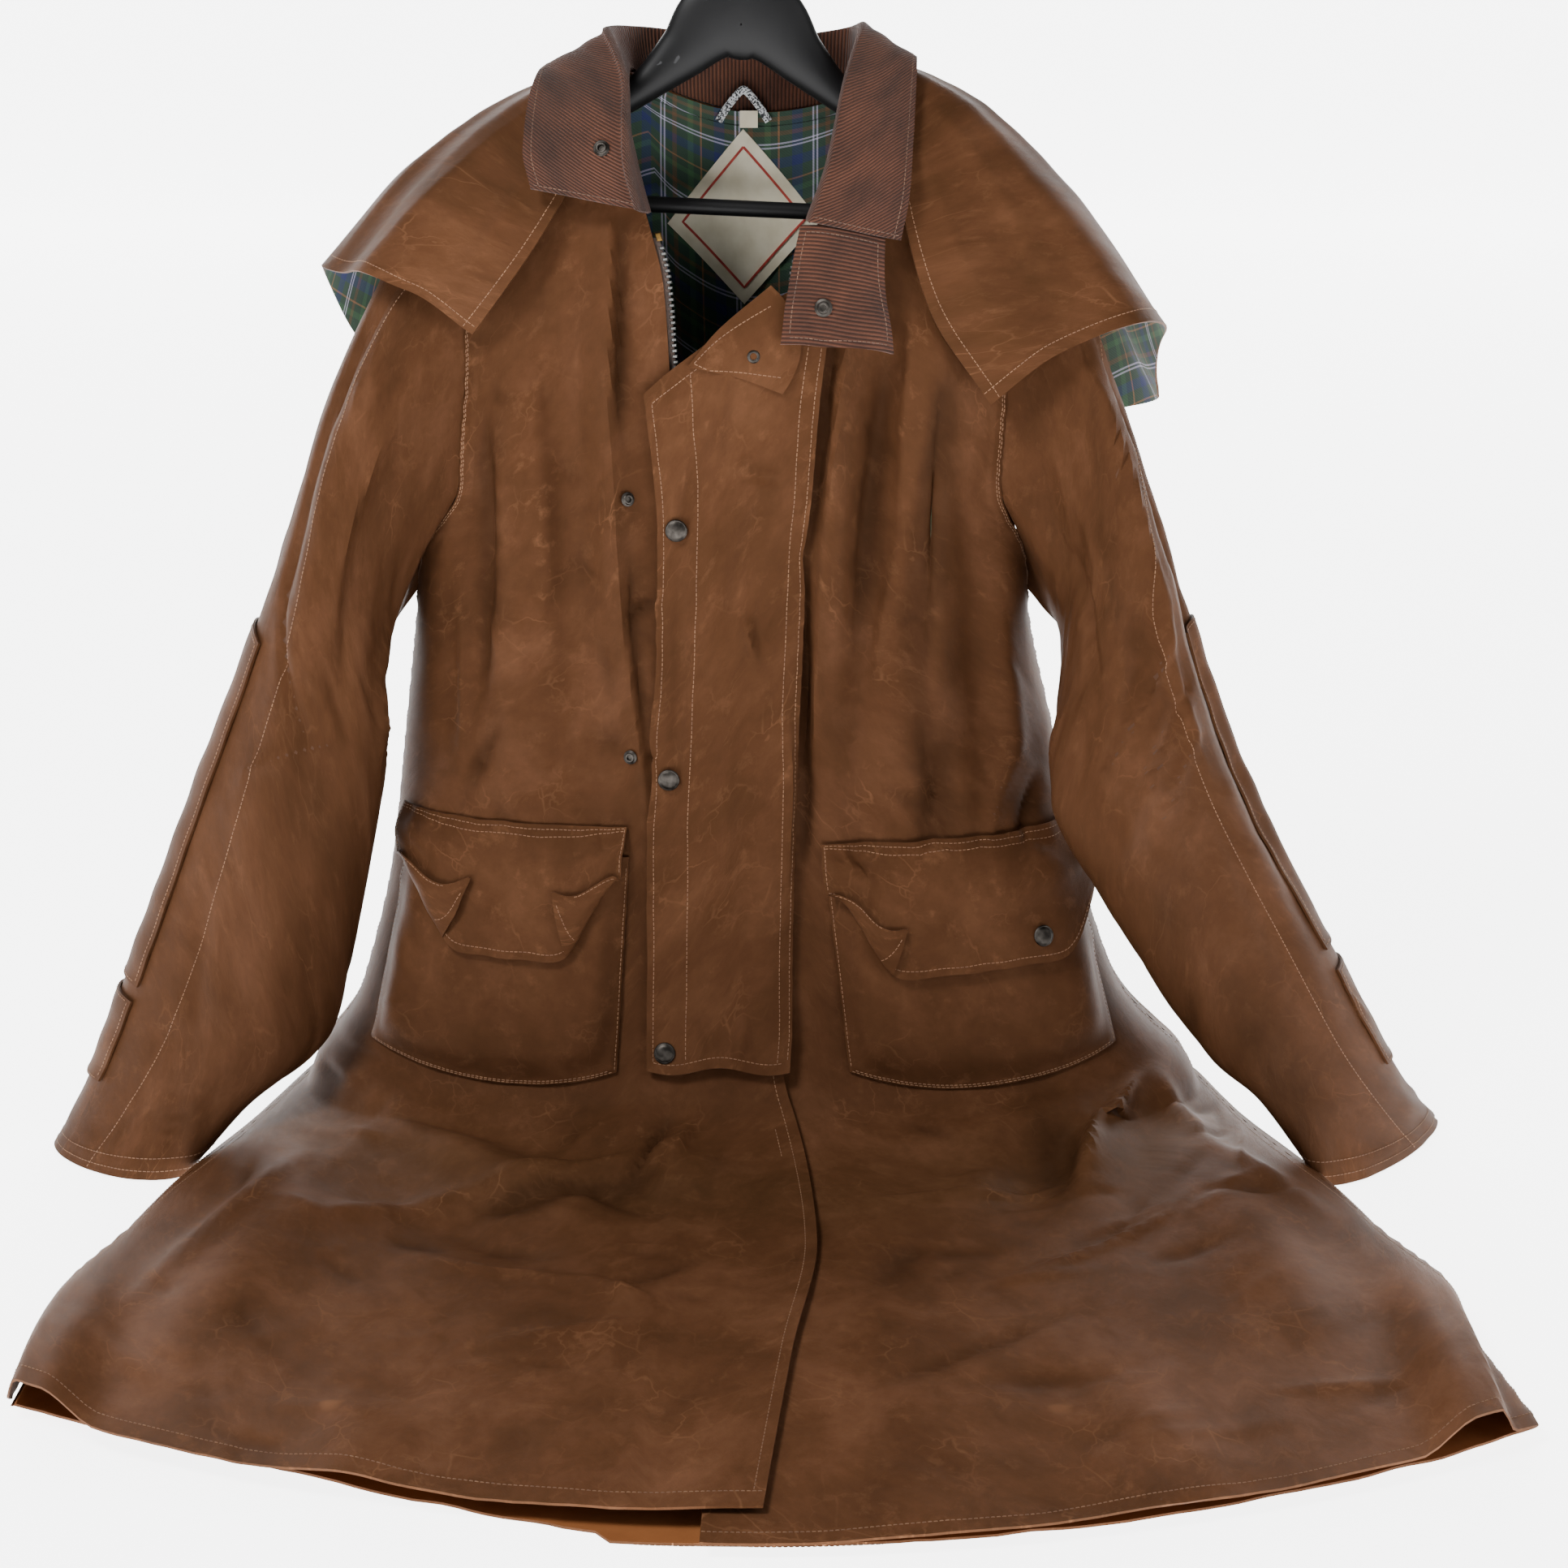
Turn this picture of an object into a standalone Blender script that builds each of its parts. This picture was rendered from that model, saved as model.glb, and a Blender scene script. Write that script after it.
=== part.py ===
"""A long waxed-cotton duster coat with a shoulder cape, hung on a hanger, its skirt lying forward on the floor.

Metres, +Z up. X runs to the right as the coat is seen from the front, and the front faces -Y.
Heights in the tables are above the floor that the skirt lies on. The world origin is the top of
the hanger's hook, HOOK_HEIGHT above that floor. "Right" and "left" are the wearer's.
"""

import math

import bpy
import numpy as np

# Driving dimensions
HOOK_HEIGHT = 0.985
CLOTH = 0.0020
CORDUROY = 0.0030
SEAM_GAP = 0.0005
UNDERARM_DOWN = 0.400
BACK_NECK_DROP = 0.048
BACK_NECK_HALF = 0.098


def table(columns, *rows):
    """Named columns of numbers, from one row for each section; each row starts with its own name."""
    values = np.array([row[1:] for row in rows], float)
    return {name: values[:, i] for i, name in enumerate(columns.split())}


def eased(stations, values, at):
    """Smooth interpolation through the stations that never overshoots a value."""
    at = np.clip(np.asarray(at, float), stations[0], stations[-1])
    step = np.diff(stations)
    slope = np.diff(values) / step
    tangent = np.zeros(len(stations))
    same = slope[:-1] * slope[1:] > 0
    mean = 2 * slope[:-1] * slope[1:] / np.where(same, slope[:-1] + slope[1:], 1.0)
    tangent[1:-1] = np.where(same, mean, 0.0)
    tangent[0], tangent[-1] = slope[0], slope[-1]
    i = np.clip(np.searchsorted(stations, at, side="right") - 1, 0, len(step) - 1)
    t = (at - stations[i]) / step[i]
    rise = t * t * (3 - 2 * t)
    return (
        values[i] + (values[i + 1] - values[i]) * rise
        + step[i] * (tangent[i] * t * (1 - t) ** 2 - tangent[i + 1] * t * t * (1 - t))
    )


def ramp(low, high, at):
    """0 below low, 1 above high, smooth between them."""
    t = np.clip((np.asarray(at, float) - low) / (high - low), 0, 1)
    return t * t * (3 - 2 * t)


def unit(vectors):
    return vectors / np.maximum(np.linalg.norm(vectors, axis=-1, keepdims=True), 1e-12)


# The body is a run of rings down the coat. Each ring joins a front and a back centre point.
# down: distance below the shoulder line. half_*: half widths. side: where the side seam lies
# between back (0) and front (1). square: how boxy the ring is. sag_*: how far the ring's sides
# run on ahead of its middle. arm: the ring angle at which the armhole cuts the ring, in degrees.
BODY = table(
    "down y_front z_front y_back z_back half_right half_left side square sag_right sag_left arm",
    ("shoulder", 0.000, -0.0015, 0.857, 0.0015, 0.857, 0.243, 0.220, 0.50, 2.4, 0.102, 0.130, 90),
    ("neck", 0.030, -0.040, 0.826, 0.038, 0.826, 0.245, 0.222, 0.50, 2.4, 0.094, 0.118, 74),
    ("yoke", 0.100, -0.082, 0.752, 0.062, 0.752, 0.246, 0.220, 0.50, 2.4, 0.066, 0.078, 66),
    ("chest", 0.200, -0.105, 0.645, 0.078, 0.645, 0.250, 0.214, 0.50, 2.4, 0.030, 0.034, 63),
    ("blade", 0.300, -0.114, 0.545, 0.086, 0.545, 0.258, 0.208, 0.50, 2.4, 0.010, 0.010, 64),
    ("underarm", 0.400, -0.120, 0.440, 0.090, 0.440, 0.272, 0.214, 0.50, 2.4, 0.0, 0.0, 90),
    ("waist", 0.520, -0.128, 0.318, 0.092, 0.318, 0.288, 0.240, 0.50, 2.5, 0.0, 0.0, 90),
    ("hip", 0.620, -0.140, 0.215, 0.090, 0.215, 0.302, 0.262, 0.50, 2.6, 0.0, 0.0, 90),
    ("thigh", 0.710, -0.158, 0.125, 0.084, 0.120, 0.326, 0.292, 0.50, 2.8, 0.0, 0.0, 90),
    ("turn", 0.780, -0.186, 0.066, 0.064, 0.045, 0.350, 0.335, 0.48, 3.0, -0.03, -0.02, 90),
    ("landing", 0.850, -0.245, 0.044, 0.000, 0.004, 0.378, 0.366, 0.45, 3.6, -0.08, -0.07, 90),
    ("calf", 0.950, -0.340, 0.041, -0.120, 0.000, 0.408, 0.392, 0.45, 4.5, -0.11, -0.11, 90),
    ("shin", 1.080, -0.465, 0.037, -0.290, 0.000, 0.462, 0.450, 0.45, 5.0, -0.11, -0.12, 90),
    ("ankle", 1.200, -0.585, 0.028, -0.470, 0.000, 0.490, 0.490, 0.45, 5.0, -0.11, -0.12, 90),
    ("hem", 1.310, -0.694, 0.016, -0.680, 0.000, 0.498, 0.518, 0.50, 5.0, -0.12, -0.125, 90),
)
HEM_DOWN = 1.310
RIGHT_HEM_DOWN = 1.284
BACK_RIGHT_HEM_DOWN = 1.290
RUN_STEP = 0.01
SHOULDER_HALF_GAP = 0.0016

# Where each front ends at the middle. The zip joins them from the chest to the thigh.
FRONT_EDGES = table(
    "down right left",
    ("shoulder", 0.000, -0.098, 0.086),
    ("neck_side", 0.040, -0.100, 0.086),
    ("neck_front", 0.110, -0.080, 0.046),
    ("zip_top", 0.150, -0.070, 0.030),
    ("open_chest", 0.250, -0.062, 0.030),
    ("zip_meets", 0.420, 0.004, 0.016),
    ("waist", 0.560, 0.008, 0.020),
    ("zip_end", 0.685, 0.008, 0.018),
    ("lap_starts", 0.745, 0.018, -0.010),
    ("lap", 0.850, 0.037, -0.014),
    ("calf", 0.980, 0.044, -0.022),
    ("shin", 1.120, 0.026, -0.026),
    ("hem", 1.310, 0.004, -0.032),
)

# Largest folds of the body: each runs from one point to another, as x and distance down.
# height is out from the cloth, or in where it is negative. face is 1 for the front, -1 for the back.
FOLDS = table(
    "face x_from down_from x_to down_to height width",
    ("right_front_pleat", 1, -0.118, 0.10, -0.100, 0.46, 0.012, 0.016),
    ("right_front_valley", 1, -0.150, 0.18, -0.140, 0.55, -0.010, 0.022),
    ("right_side_ridge", 1, -0.190, 0.22, -0.195, 0.52, 0.010, 0.022),
    ("right_armhole_valley", 1, -0.222, 0.30, -0.240, 0.50, -0.010, 0.018),
    ("left_front_ridge", 1, 0.070, 0.16, 0.052, 0.50, 0.009, 0.016),
    ("left_front_valley", 1, 0.098, 0.16, 0.082, 0.60, -0.016, 0.020),
    ("left_side_ridge", 1, 0.135, 0.16, 0.130, 0.52, 0.012, 0.018),
    ("left_side_valley", 1, 0.168, 0.30, 0.180, 0.56, -0.010, 0.018),
    ("between_pockets_left", 1, 0.034, 0.50, 0.030, 0.74, -0.008, 0.016),
    ("right_skirt_break", 1, -0.300, 0.84, -0.120, 0.93, 0.014, 0.030),
    ("right_skirt_dip", 1, -0.330, 0.93, -0.150, 1.01, -0.011, 0.030),
    ("middle_skirt_break", 1, -0.085, 0.82, -0.030, 0.90, 0.010, 0.026),
    ("middle_skirt_dip", 1, -0.120, 0.90, -0.060, 0.92, -0.012, 0.022),
    ("left_skirt_break", 1, 0.100, 0.83, 0.260, 0.82, 0.010, 0.026),
    ("left_skirt_fold", 1, 0.275, 0.83, 0.245, 0.95, 0.016, 0.026),
    ("left_skirt_dip", 1, 0.215, 0.86, 0.200, 0.95, -0.012, 0.026),
    ("left_long_fold", 1, 0.320, 0.86, 0.390, 1.18, 0.010, 0.030),
    ("right_long_fold", 1, -0.340, 0.96, -0.400, 1.20, 0.010, 0.034),
    ("hem_wave_right", 1, -0.250, 1.20, -0.260, 1.31, 0.008, 0.040),
    ("hem_wave_left", 1, 0.240, 1.18, 0.270, 1.31, 0.008, 0.045),
    ("back_fold_1", -1, -0.160, 0.20, -0.175, 0.74, 0.012, 0.022),
    ("back_fold_2", -1, -0.090, 0.30, -0.085, 0.76, -0.010, 0.024),
    ("back_fold_3", -1, -0.020, 0.28, -0.010, 0.74, 0.012, 0.024),
    ("back_fold_4", -1, 0.060, 0.30, 0.075, 0.76, -0.010, 0.024),
    ("back_fold_5", -1, 0.130, 0.22, 0.160, 0.74, 0.012, 0.022),
)


def fold_height(folds, face, x, down):
    """Sum of the soft ridges and troughs at a point, each tapering to nothing at its two ends."""
    total = np.zeros(np.broadcast(x, down).shape)
    for i in range(len(folds["height"])):
        start = (folds["x_from"][i], folds["down_from"][i])
        run = (folds["x_to"][i] - start[0], folds["down_to"][i] - start[1])
        along = ((x - start[0]) * run[0] + (down - start[1]) * run[1]) / (run[0] ** 2 + run[1] ** 2)
        held = np.clip(along, 0, 1)
        away = np.hypot(x - start[0] - held * run[0], down - start[1] - held * run[1])
        taper = 0.25 + 0.75 * np.sin(np.pi * held) ** 0.5
        bump = folds["height"][i] * taper * np.exp(-((away / folds["width"][i]) ** 2))
        total = total + np.where(folds["face"][i] * face > 0, bump, 0.0)
    return total


def ring_point(angle, down):
    """A point of the plain body. angle 0 is the middle of the front, 90 degrees the left side."""
    c = {name: eased(BODY["down"], BODY[name], down) for name in BODY if name not in ("down", "arm")}
    across = np.sin(angle)
    bow = (1 - np.abs(across) ** c["square"]).clip(0) ** (1 / c["square"])
    depth = np.where(np.cos(angle) >= 0, c["side"] + (1 - c["side"]) * bow, c["side"] * (1 - bow))
    half = np.where(across < 0, c["half_right"], c["half_left"])
    sag = np.where(across < 0, c["sag_right"], c["sag_left"]) * across**2
    ahead, behind = np.minimum(down + RUN_STEP, HEM_DOWN), np.minimum(down, HEM_DOWN - RUN_STEP)
    centre_y, centre_z = BODY["y_front"] + BODY["y_back"], BODY["z_front"] + BODY["z_back"]
    y_run = eased(BODY["down"], centre_y, ahead) - eased(BODY["down"], centre_y, behind)
    z_run = eased(BODY["down"], centre_z, ahead) - eased(BODY["down"], centre_z, behind)
    length = np.maximum(np.hypot(y_run, z_run), 1e-6)
    y = c["y_back"] + (c["y_front"] - c["y_back"]) * depth + sag * y_run / length
    z = c["z_back"] + (c["z_front"] - c["z_back"]) * depth + sag * z_run / length
    return np.stack(np.broadcast_arrays(half * across, y, z), axis=-1)


def outward(surface, angle, down, step=0.004):
    """The unit normal of a surface, pointing out of the coat."""
    low, high = np.maximum(down - step, 0.0), np.minimum(down + step, HEM_DOWN)
    around = surface(angle + step, down) - surface(angle - step, down)
    along = surface(angle, high) - surface(angle, low)
    return unit(np.cross(along, around))


def body(angle, down):
    """A point of the body with its large folds, which die out at the side seams and the hem's floor side."""
    plain = ring_point(angle, down)
    face = np.sign(np.cos(angle))
    strength = ramp(0.05, 0.45, np.abs(np.cos(angle))) * ramp(0.0, 0.08, down)
    height = fold_height(FOLDS, face, plain[..., 0], down) * strength
    return plain + outward(ring_point, angle, down) * height[..., None]


def half_width(x, down):
    right = eased(BODY["down"], BODY["half_right"], down)
    left = eased(BODY["down"], BODY["half_left"], down)
    return np.where(np.asarray(x) < 0, right, left)


def angle_at(x, down):
    """The ring angle of a point of the front at that x."""
    return np.arcsin(np.clip(x / half_width(x, down), -0.9995, 0.9995))


# Making objects


def clear_scene():
    for old in list(bpy.data.objects):
        bpy.data.objects.remove(old)


def material(name, colour, roughness, metallic=0.0):
    made = bpy.data.materials.new(name)
    made.use_nodes = True
    shader = made.node_tree.nodes["Principled BSDF"]
    shader.inputs["Base Color"].default_value = (*colour, 1.0)
    shader.inputs["Roughness"].default_value = roughness
    shader.inputs["Metallic"].default_value = metallic
    return made


def add_object(name, points, faces, finish, parent, smooth=True):
    mesh = bpy.data.meshes.new(name)
    mesh.from_pydata([tuple(map(float, p)) for p in points], [], [tuple(map(int, f)) for f in faces])
    mesh.validate()
    if smooth:
        mesh.shade_smooth()
        mesh.set_sharp_from_angle(angle=math.radians(50))
    made = bpy.data.objects.new(name, mesh)
    made.data.materials.append(finish)
    bpy.context.scene.collection.objects.link(made)
    made.parent = parent
    return made


def wall(name, outer, inner, finish, parent, tube=False):
    """A closed cloth wall between an outer and an inner grid of points. A tube's columns join up."""
    rows, columns = outer.shape[:2]
    count = rows * columns
    points = np.concatenate([outer.reshape(-1, 3), inner.reshape(-1, 3)])
    faces = []
    spans = columns if tube else columns - 1
    for r in range(rows - 1):
        for c in range(spans):
            n = (c + 1) % columns
            a, b = r * columns + c, r * columns + n
            d, e = (r + 1) * columns + c, (r + 1) * columns + n
            faces += [(a, d, e), (a, e, b)]
            faces += [(a + count, e + count, d + count), (a + count, b + count, e + count)]
    for r, turned in ((0, False), (rows - 1, True)):
        for c in range(spans):
            a, b = r * columns + c, r * columns + (c + 1) % columns
            rim = [(a, b, b + count), (a, b + count, a + count)]
            faces += [f[::-1] for f in rim] if turned else rim
    if not tube:
        for c, turned in ((0, True), (columns - 1, False)):
            for r in range(rows - 1):
                a, d = r * columns + c, (r + 1) * columns + c
                rim = [(a, d, d + count), (a, d + count, a + count)]
                faces += [f[::-1] for f in rim] if turned else rim
    return add_object(name, points, faces, finish, parent)


def grid_normals(points, tube=False):
    """Unit vertex normals of a grid whose rows run down and whose columns run to the right from outside."""
    a, d = points[:-1], points[1:]
    if tube:
        b, e = np.roll(a, -1, axis=1), np.roll(d, -1, axis=1)
    else:
        a, b, d, e = a[:, :-1], a[:, 1:], d[:, :-1], d[:, 1:]
    total = np.zeros(points.shape)
    last = slice(None) if tube else slice(None, -1)

    def add(facing, low, across):
        rows = slice(1, None) if low else slice(None, -1)
        if not across:
            total[rows, last] += facing
        elif tube:
            total[rows] += np.roll(facing, 1, axis=1)
        else:
            total[rows, 1:] += facing

    for corners in ((("a", a), ("d", d), ("e", e)), (("a", a), ("e", e), ("b", b))):
        for i in range(3):
            name, here = corners[i]
            to_next, to_last = corners[(i + 1) % 3][1] - here, corners[(i + 2) % 3][1] - here
            facing = unit(np.cross(to_next, to_last))
            open_angle = np.arccos(np.clip((unit(to_next) * unit(to_last)).sum(axis=-1, keepdims=True), -1, 1))
            add(facing * open_angle, name in "de", name in "be")
    return unit(total)


def sheet(name, points, thickness, finish, parent, tube=False):
    """A wall whose outer face is the grid, and whose inner face is the grid moved in by the thickness."""
    inner = points - grid_normals(points, tube) * thickness
    return wall(name, points, inner, finish, parent, tube)


def prism(name, outline, normal, thickness, finish, parent):
    """A flat plate from the outline of its outer face, counter-clockwise as seen from outside."""
    outline = np.array(outline, float)
    count = len(outline)
    points = np.concatenate([outline, outline - np.asarray(normal) * thickness])
    faces = [tuple(range(count)), tuple(range(2 * count - 1, count - 1, -1))]
    faces += [(i, i + count, (i + 1) % count + count, (i + 1) % count) for i in range(count)]
    return add_object(name, points, faces, finish, parent, smooth=False)


def swept(name, path, radii_in, radii_out, side, sides, finish, parent):
    """A bar along a path: elliptical, radii_in across the given side direction and radii_out along it."""
    path = np.array(path, float)
    forward = unit(np.gradient(path, axis=0))
    side = np.array(side, float)
    up = unit(np.cross(side, forward))
    turn = np.linspace(0, 2 * np.pi, sides, endpoint=False)
    radii_in = np.broadcast_to(radii_in, len(path))[:, None, None]
    radii_out = np.broadcast_to(radii_out, len(path))[:, None, None]
    ring = up[:, None] * radii_in * np.cos(turn)[None, :, None] + side * radii_out * np.sin(turn)[None, :, None]
    points = path[:, None] + ring
    faces = []
    for r in range(len(path) - 1):
        for c in range(sides):
            n = (c + 1) % sides
            faces.append((r * sides + c, r * sides + n, (r + 1) * sides + n, (r + 1) * sides + c))
    faces.append(tuple(range(sides - 1, -1, -1)))
    last = (len(path) - 1) * sides
    faces.append(tuple(range(last, last + sides)))
    return add_object(name, points.reshape(-1, 3), faces, finish, parent)


def button(name, centre, normal, radius, height, rings, finish, parent, sides=14):
    """A round fastening part lying on the cloth: rings of (radius share, height share) from its foot up."""
    normal = unit(np.array(normal, float))
    across = unit(np.cross(normal, (0.0, 0.0, 1.0)))
    up = np.cross(across, normal)
    turn = np.linspace(0, 2 * np.pi, sides, endpoint=False)
    spin = across[None] * np.cos(turn)[:, None] + up[None] * np.sin(turn)[:, None]
    points = [centre + spin * radius * share + normal * height * rise for share, rise in rings]
    faces = []
    for r in range(len(rings) - 1):
        for c in range(sides):
            n = (c + 1) % sides
            faces.append((r * sides + c, (r + 1) * sides + c, (r + 1) * sides + n, r * sides + n))
    faces.append(tuple(range(sides)))
    last = (len(rings) - 1) * sides
    faces.append(tuple(range(last + sides - 1, last - 1, -1)))
    return add_object(name, np.concatenate(points), faces, finish, parent)


def fuse(base, extra):
    """Join a second closed form onto the first, as one body."""
    joint = base.modifiers.new("fused", "BOOLEAN")
    joint.operation = "UNION"
    joint.solver = "EXACT"
    joint.object = extra
    extra.hide_render = True
    extra.display_type = "WIRE"


# Front and back panels

UPPER_ROWS = [0.0, 0.018, 0.04, 0.075, 0.11, 0.15, 0.19, 0.235, 0.28, 0.32, 0.355, 0.382, UNDERARM_DOWN]
LOWER_ROWS = [0.43, 0.475, 0.52, 0.565, 0.60, 0.64, 0.68, 0.70, 0.72, 0.745, 0.77, 0.79]
SKIRT_ROWS = [0.815, 0.84, 0.87, 0.905, 0.95, 1.00, 1.06, 1.12, 1.18, 1.24]

# x of the lines on which the placket and the pockets are sewn, down the fronts.
RIGHT_LINES = table(
    "down outer inner placket",
    ("shoulder", 0.000, -0.200, -0.150, -0.122),
    ("neck", 0.110, -0.182, -0.133, -0.104),
    ("chest", 0.235, -0.184, -0.122, -0.086),
    ("blade", 0.330, -0.196, -0.118, -0.078),
    ("underarm", 0.420, -0.226, -0.112, -0.080),
    ("waist", 0.565, -0.280, -0.104, -0.088),
    ("pocket_bottom", 0.785, -0.316, -0.113, -0.090),
    ("calf", 0.950, -0.330, -0.150, -0.070),
    ("hem", 1.310, -0.360, -0.200, -0.090),
)
LEFT_LINES = table(
    "down placket inner outer",
    ("shoulder", 0.000, 0.104, 0.132, 0.180),
    ("neck", 0.110, 0.072, 0.102, 0.150),
    ("chest", 0.235, 0.044, 0.074, 0.140),
    ("blade", 0.330, 0.036, 0.060, 0.140),
    ("underarm", 0.420, 0.030, 0.052, 0.168),
    ("waist", 0.565, 0.026, 0.050, 0.236),
    ("pocket_bottom", 0.785, 0.024, 0.068, 0.290),
    ("calf", 0.950, 0.050, 0.120, 0.310),
    ("hem", 1.310, 0.060, 0.170, 0.370),
)
# How many cloth cells lie between one line and the next, from the side seam to the middle.
SIDE_CELLS, POCKET_CELLS, STRIP_CELLS, PLACKET_CELLS, BACK_CELLS = 4, 6, 1, 3, 20
OVERLAP_LIFT, LAP_FROM, LAP_FULL = 0.0036, 0.682, 0.722


def seam_angle(down):
    """The ring angle at which a panel stops, half a seam gap short of the side seam."""
    length = np.hypot(
        eased(BODY["down"], BODY["y_front"] - BODY["y_back"], down),
        eased(BODY["down"], BODY["z_front"] - BODY["z_back"], down),
    )
    square = eased(BODY["down"], BODY["square"], down)
    bow = np.clip(SEAM_GAP / length, 0, 0.9)
    return np.arcsin((1 - bow**square) ** (1 / square))


def armhole_angle(down):
    """The ring angle at which a front is cut for the armhole, or its side seam below the underarm."""
    cut = np.radians(eased(BODY["down"], BODY["arm"], down))
    return np.minimum(cut, seam_angle(np.maximum(down, 0.02)))


def overlap(down):
    """How far the two fronts are parted in height where they lie over each other."""
    return ramp(LAP_FROM, LAP_FULL, down)


def shoulder_row(points, normal, face):
    """Part the shoulder seam: the top row of a panel stops just short of the shoulder line."""
    points[0, :, 1] = face * np.maximum(np.abs(points[0, :, 1]), SHOULDER_HALF_GAP)
    slope = np.array([0.0, face * 0.62, 0.78])
    normal[0] = slope


def front_grid(side, rows, hem):
    """Points, normals and x of a front. side is -1 for the wearer's right, 1 for the left."""
    rows = np.array(rows + [hem])
    edge = eased(FRONT_EDGES["down"], FRONT_EDGES["right" if side < 0 else "left"], rows)
    lines = RIGHT_LINES if side < 0 else LEFT_LINES
    marks = [eased(lines["down"], lines[name], rows) for name in ("outer", "inner", "placket")]
    stops = [side * armhole_angle(rows)]
    stops += [angle_at(x, rows) for x in marks]
    stops.append(angle_at(edge, rows))
    columns = [stops[0]]
    for start, end, cells in zip(stops[:-1], stops[1:], (SIDE_CELLS, POCKET_CELLS, STRIP_CELLS, PLACKET_CELLS)):
        columns += [start + (end - start) * (i + 1) / cells for i in range(cells)]
    if side > 0:
        columns = columns[::-1]
    angle = np.stack(columns, axis=1)
    down = np.broadcast_to(rows[:, None], angle.shape)
    points = body(angle, down)
    normal = outward(body, angle, down)
    near = 1 - ramp(0.02, 0.10, np.abs(points[..., 0] - 0.01))
    points = points + normal * (-side * OVERLAP_LIFT * overlap(down) * near)[..., None]
    shoulder_row(points, normal, -1)
    free = slice(1, None) if side < 0 else slice(None, -1)
    normal[1:, free] = grid_normals(points)[1:, free]
    normal[rows > UNDERARM_DOWN, 0 if side < 0 else -1] = (side, 0.0, 0.0)
    return {"points": points, "normal": normal, "down": rows, "x": half_width(points[..., 0], down) * np.sin(angle)}


def on_grid(panel, x, down, lift):
    """A point on the panel's own flat-faced cells at (x, down), moved out by lift, with its normal."""
    x, down, lift = (np.asarray(v, float) for v in np.broadcast_arrays(x, down, lift))
    rows = panel["down"]
    r = np.clip(np.searchsorted(rows, down, side="right") - 1, 0, len(rows) - 2)
    v = np.clip((down - rows[r]) / (rows[r + 1] - rows[r]), 0, 1)
    lines = panel["x"][r] * (1 - v)[..., None] + panel["x"][r + 1] * v[..., None]
    c = np.clip((lines <= x[..., None]).sum(-1) - 1, 0, lines.shape[-1] - 2)
    low = np.take_along_axis(lines, c[..., None], -1)[..., 0]
    high = np.take_along_axis(lines, c[..., None] + 1, -1)[..., 0]
    u = np.clip((x - low) / (high - low), 0, 1)
    made = []
    for key in ("points", "normal"):
        a, b = panel[key][r, c], panel[key][r, c + 1]
        d, e = panel[key][r + 1, c], panel[key][r + 1, c + 1]
        lower = a + (d - a) * v[..., None] + (e - d) * u[..., None]
        upper = a + (b - a) * u[..., None] + (e - b) * v[..., None]
        made.append(np.where((v >= u)[..., None], lower, upper))
    normal = unit(made[1])
    return made[0] + normal * lift[..., None], normal


def past_right(x, down):
    """0 on the right front, 1 on the left one, and the share of the way between them over the opening."""
    edge_right = eased(FRONT_EDGES["down"], FRONT_EDGES["right"], down)
    edge_left = eased(FRONT_EDGES["down"], FRONT_EDGES["left"], down)
    return np.clip((x - edge_right) / np.maximum(edge_left - edge_right, 1e-6), 0, 1)


def on_fronts(right, left, x, down, lift):
    """A point lifted from either front, or stretched over the opening between them, with its normal."""
    x, down, lift = np.broadcast_arrays(x, down, lift)
    edge_right = eased(FRONT_EDGES["down"], FRONT_EDGES["right"], down)
    edge_left = eased(FRONT_EDGES["down"], FRONT_EDGES["left"], down)
    share = past_right(x, down)[..., None]
    near, near_normal = on_grid(right, np.minimum(x, edge_right), down, lift)
    far, far_normal = on_grid(left, np.maximum(x, edge_left), down, lift)
    return near + (far - near) * share, unit(near_normal + (far_normal - near_normal) * share)


def back_grid(rows):
    """Points and normals of the back, its neck cut down in the middle."""
    share = np.linspace(-1, 1, BACK_CELLS + 1)
    spread = share * (0.75 + 0.25 * share**2)
    rows = np.array(rows + [HEM_DOWN])
    down = np.repeat(rows[:, None], len(share), axis=1)
    angle = np.pi + armhole_angle(down) * spread
    x = half_width(np.sin(angle), down) * np.sin(angle)
    neck = np.clip(1 - (x / BACK_NECK_HALF) ** 2, 0, 1) * BACK_NECK_DROP
    down = neck + down * (1 - neck * ramp(0.0, 0.3, 0.3 - down) / 0.3)
    down[-1] = BACK_RIGHT_HEM_DOWN + (HEM_DOWN - BACK_RIGHT_HEM_DOWN) * ramp(-0.06, 0.03, x[-1])
    points = body(angle, np.minimum(down, HEM_DOWN))
    normal = outward(body, angle, down)
    points[0, :, 1] = np.maximum(points[0, :, 1], SHOULDER_HALF_GAP)
    sides = np.abs(x[0]) > BACK_NECK_HALF
    normal[0, sides] = np.array([0.0, 0.62, 0.78])
    below = rows > UNDERARM_DOWN
    normal[1:, 1:-1] = grid_normals(points)[1:, 1:-1]
    normal[below, 0] = (1.0, 0.0, 0.0)
    normal[below, -1] = (-1.0, 0.0, 0.0)
    return {"points": points, "normal": normal, "down": down, "x": x}


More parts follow.
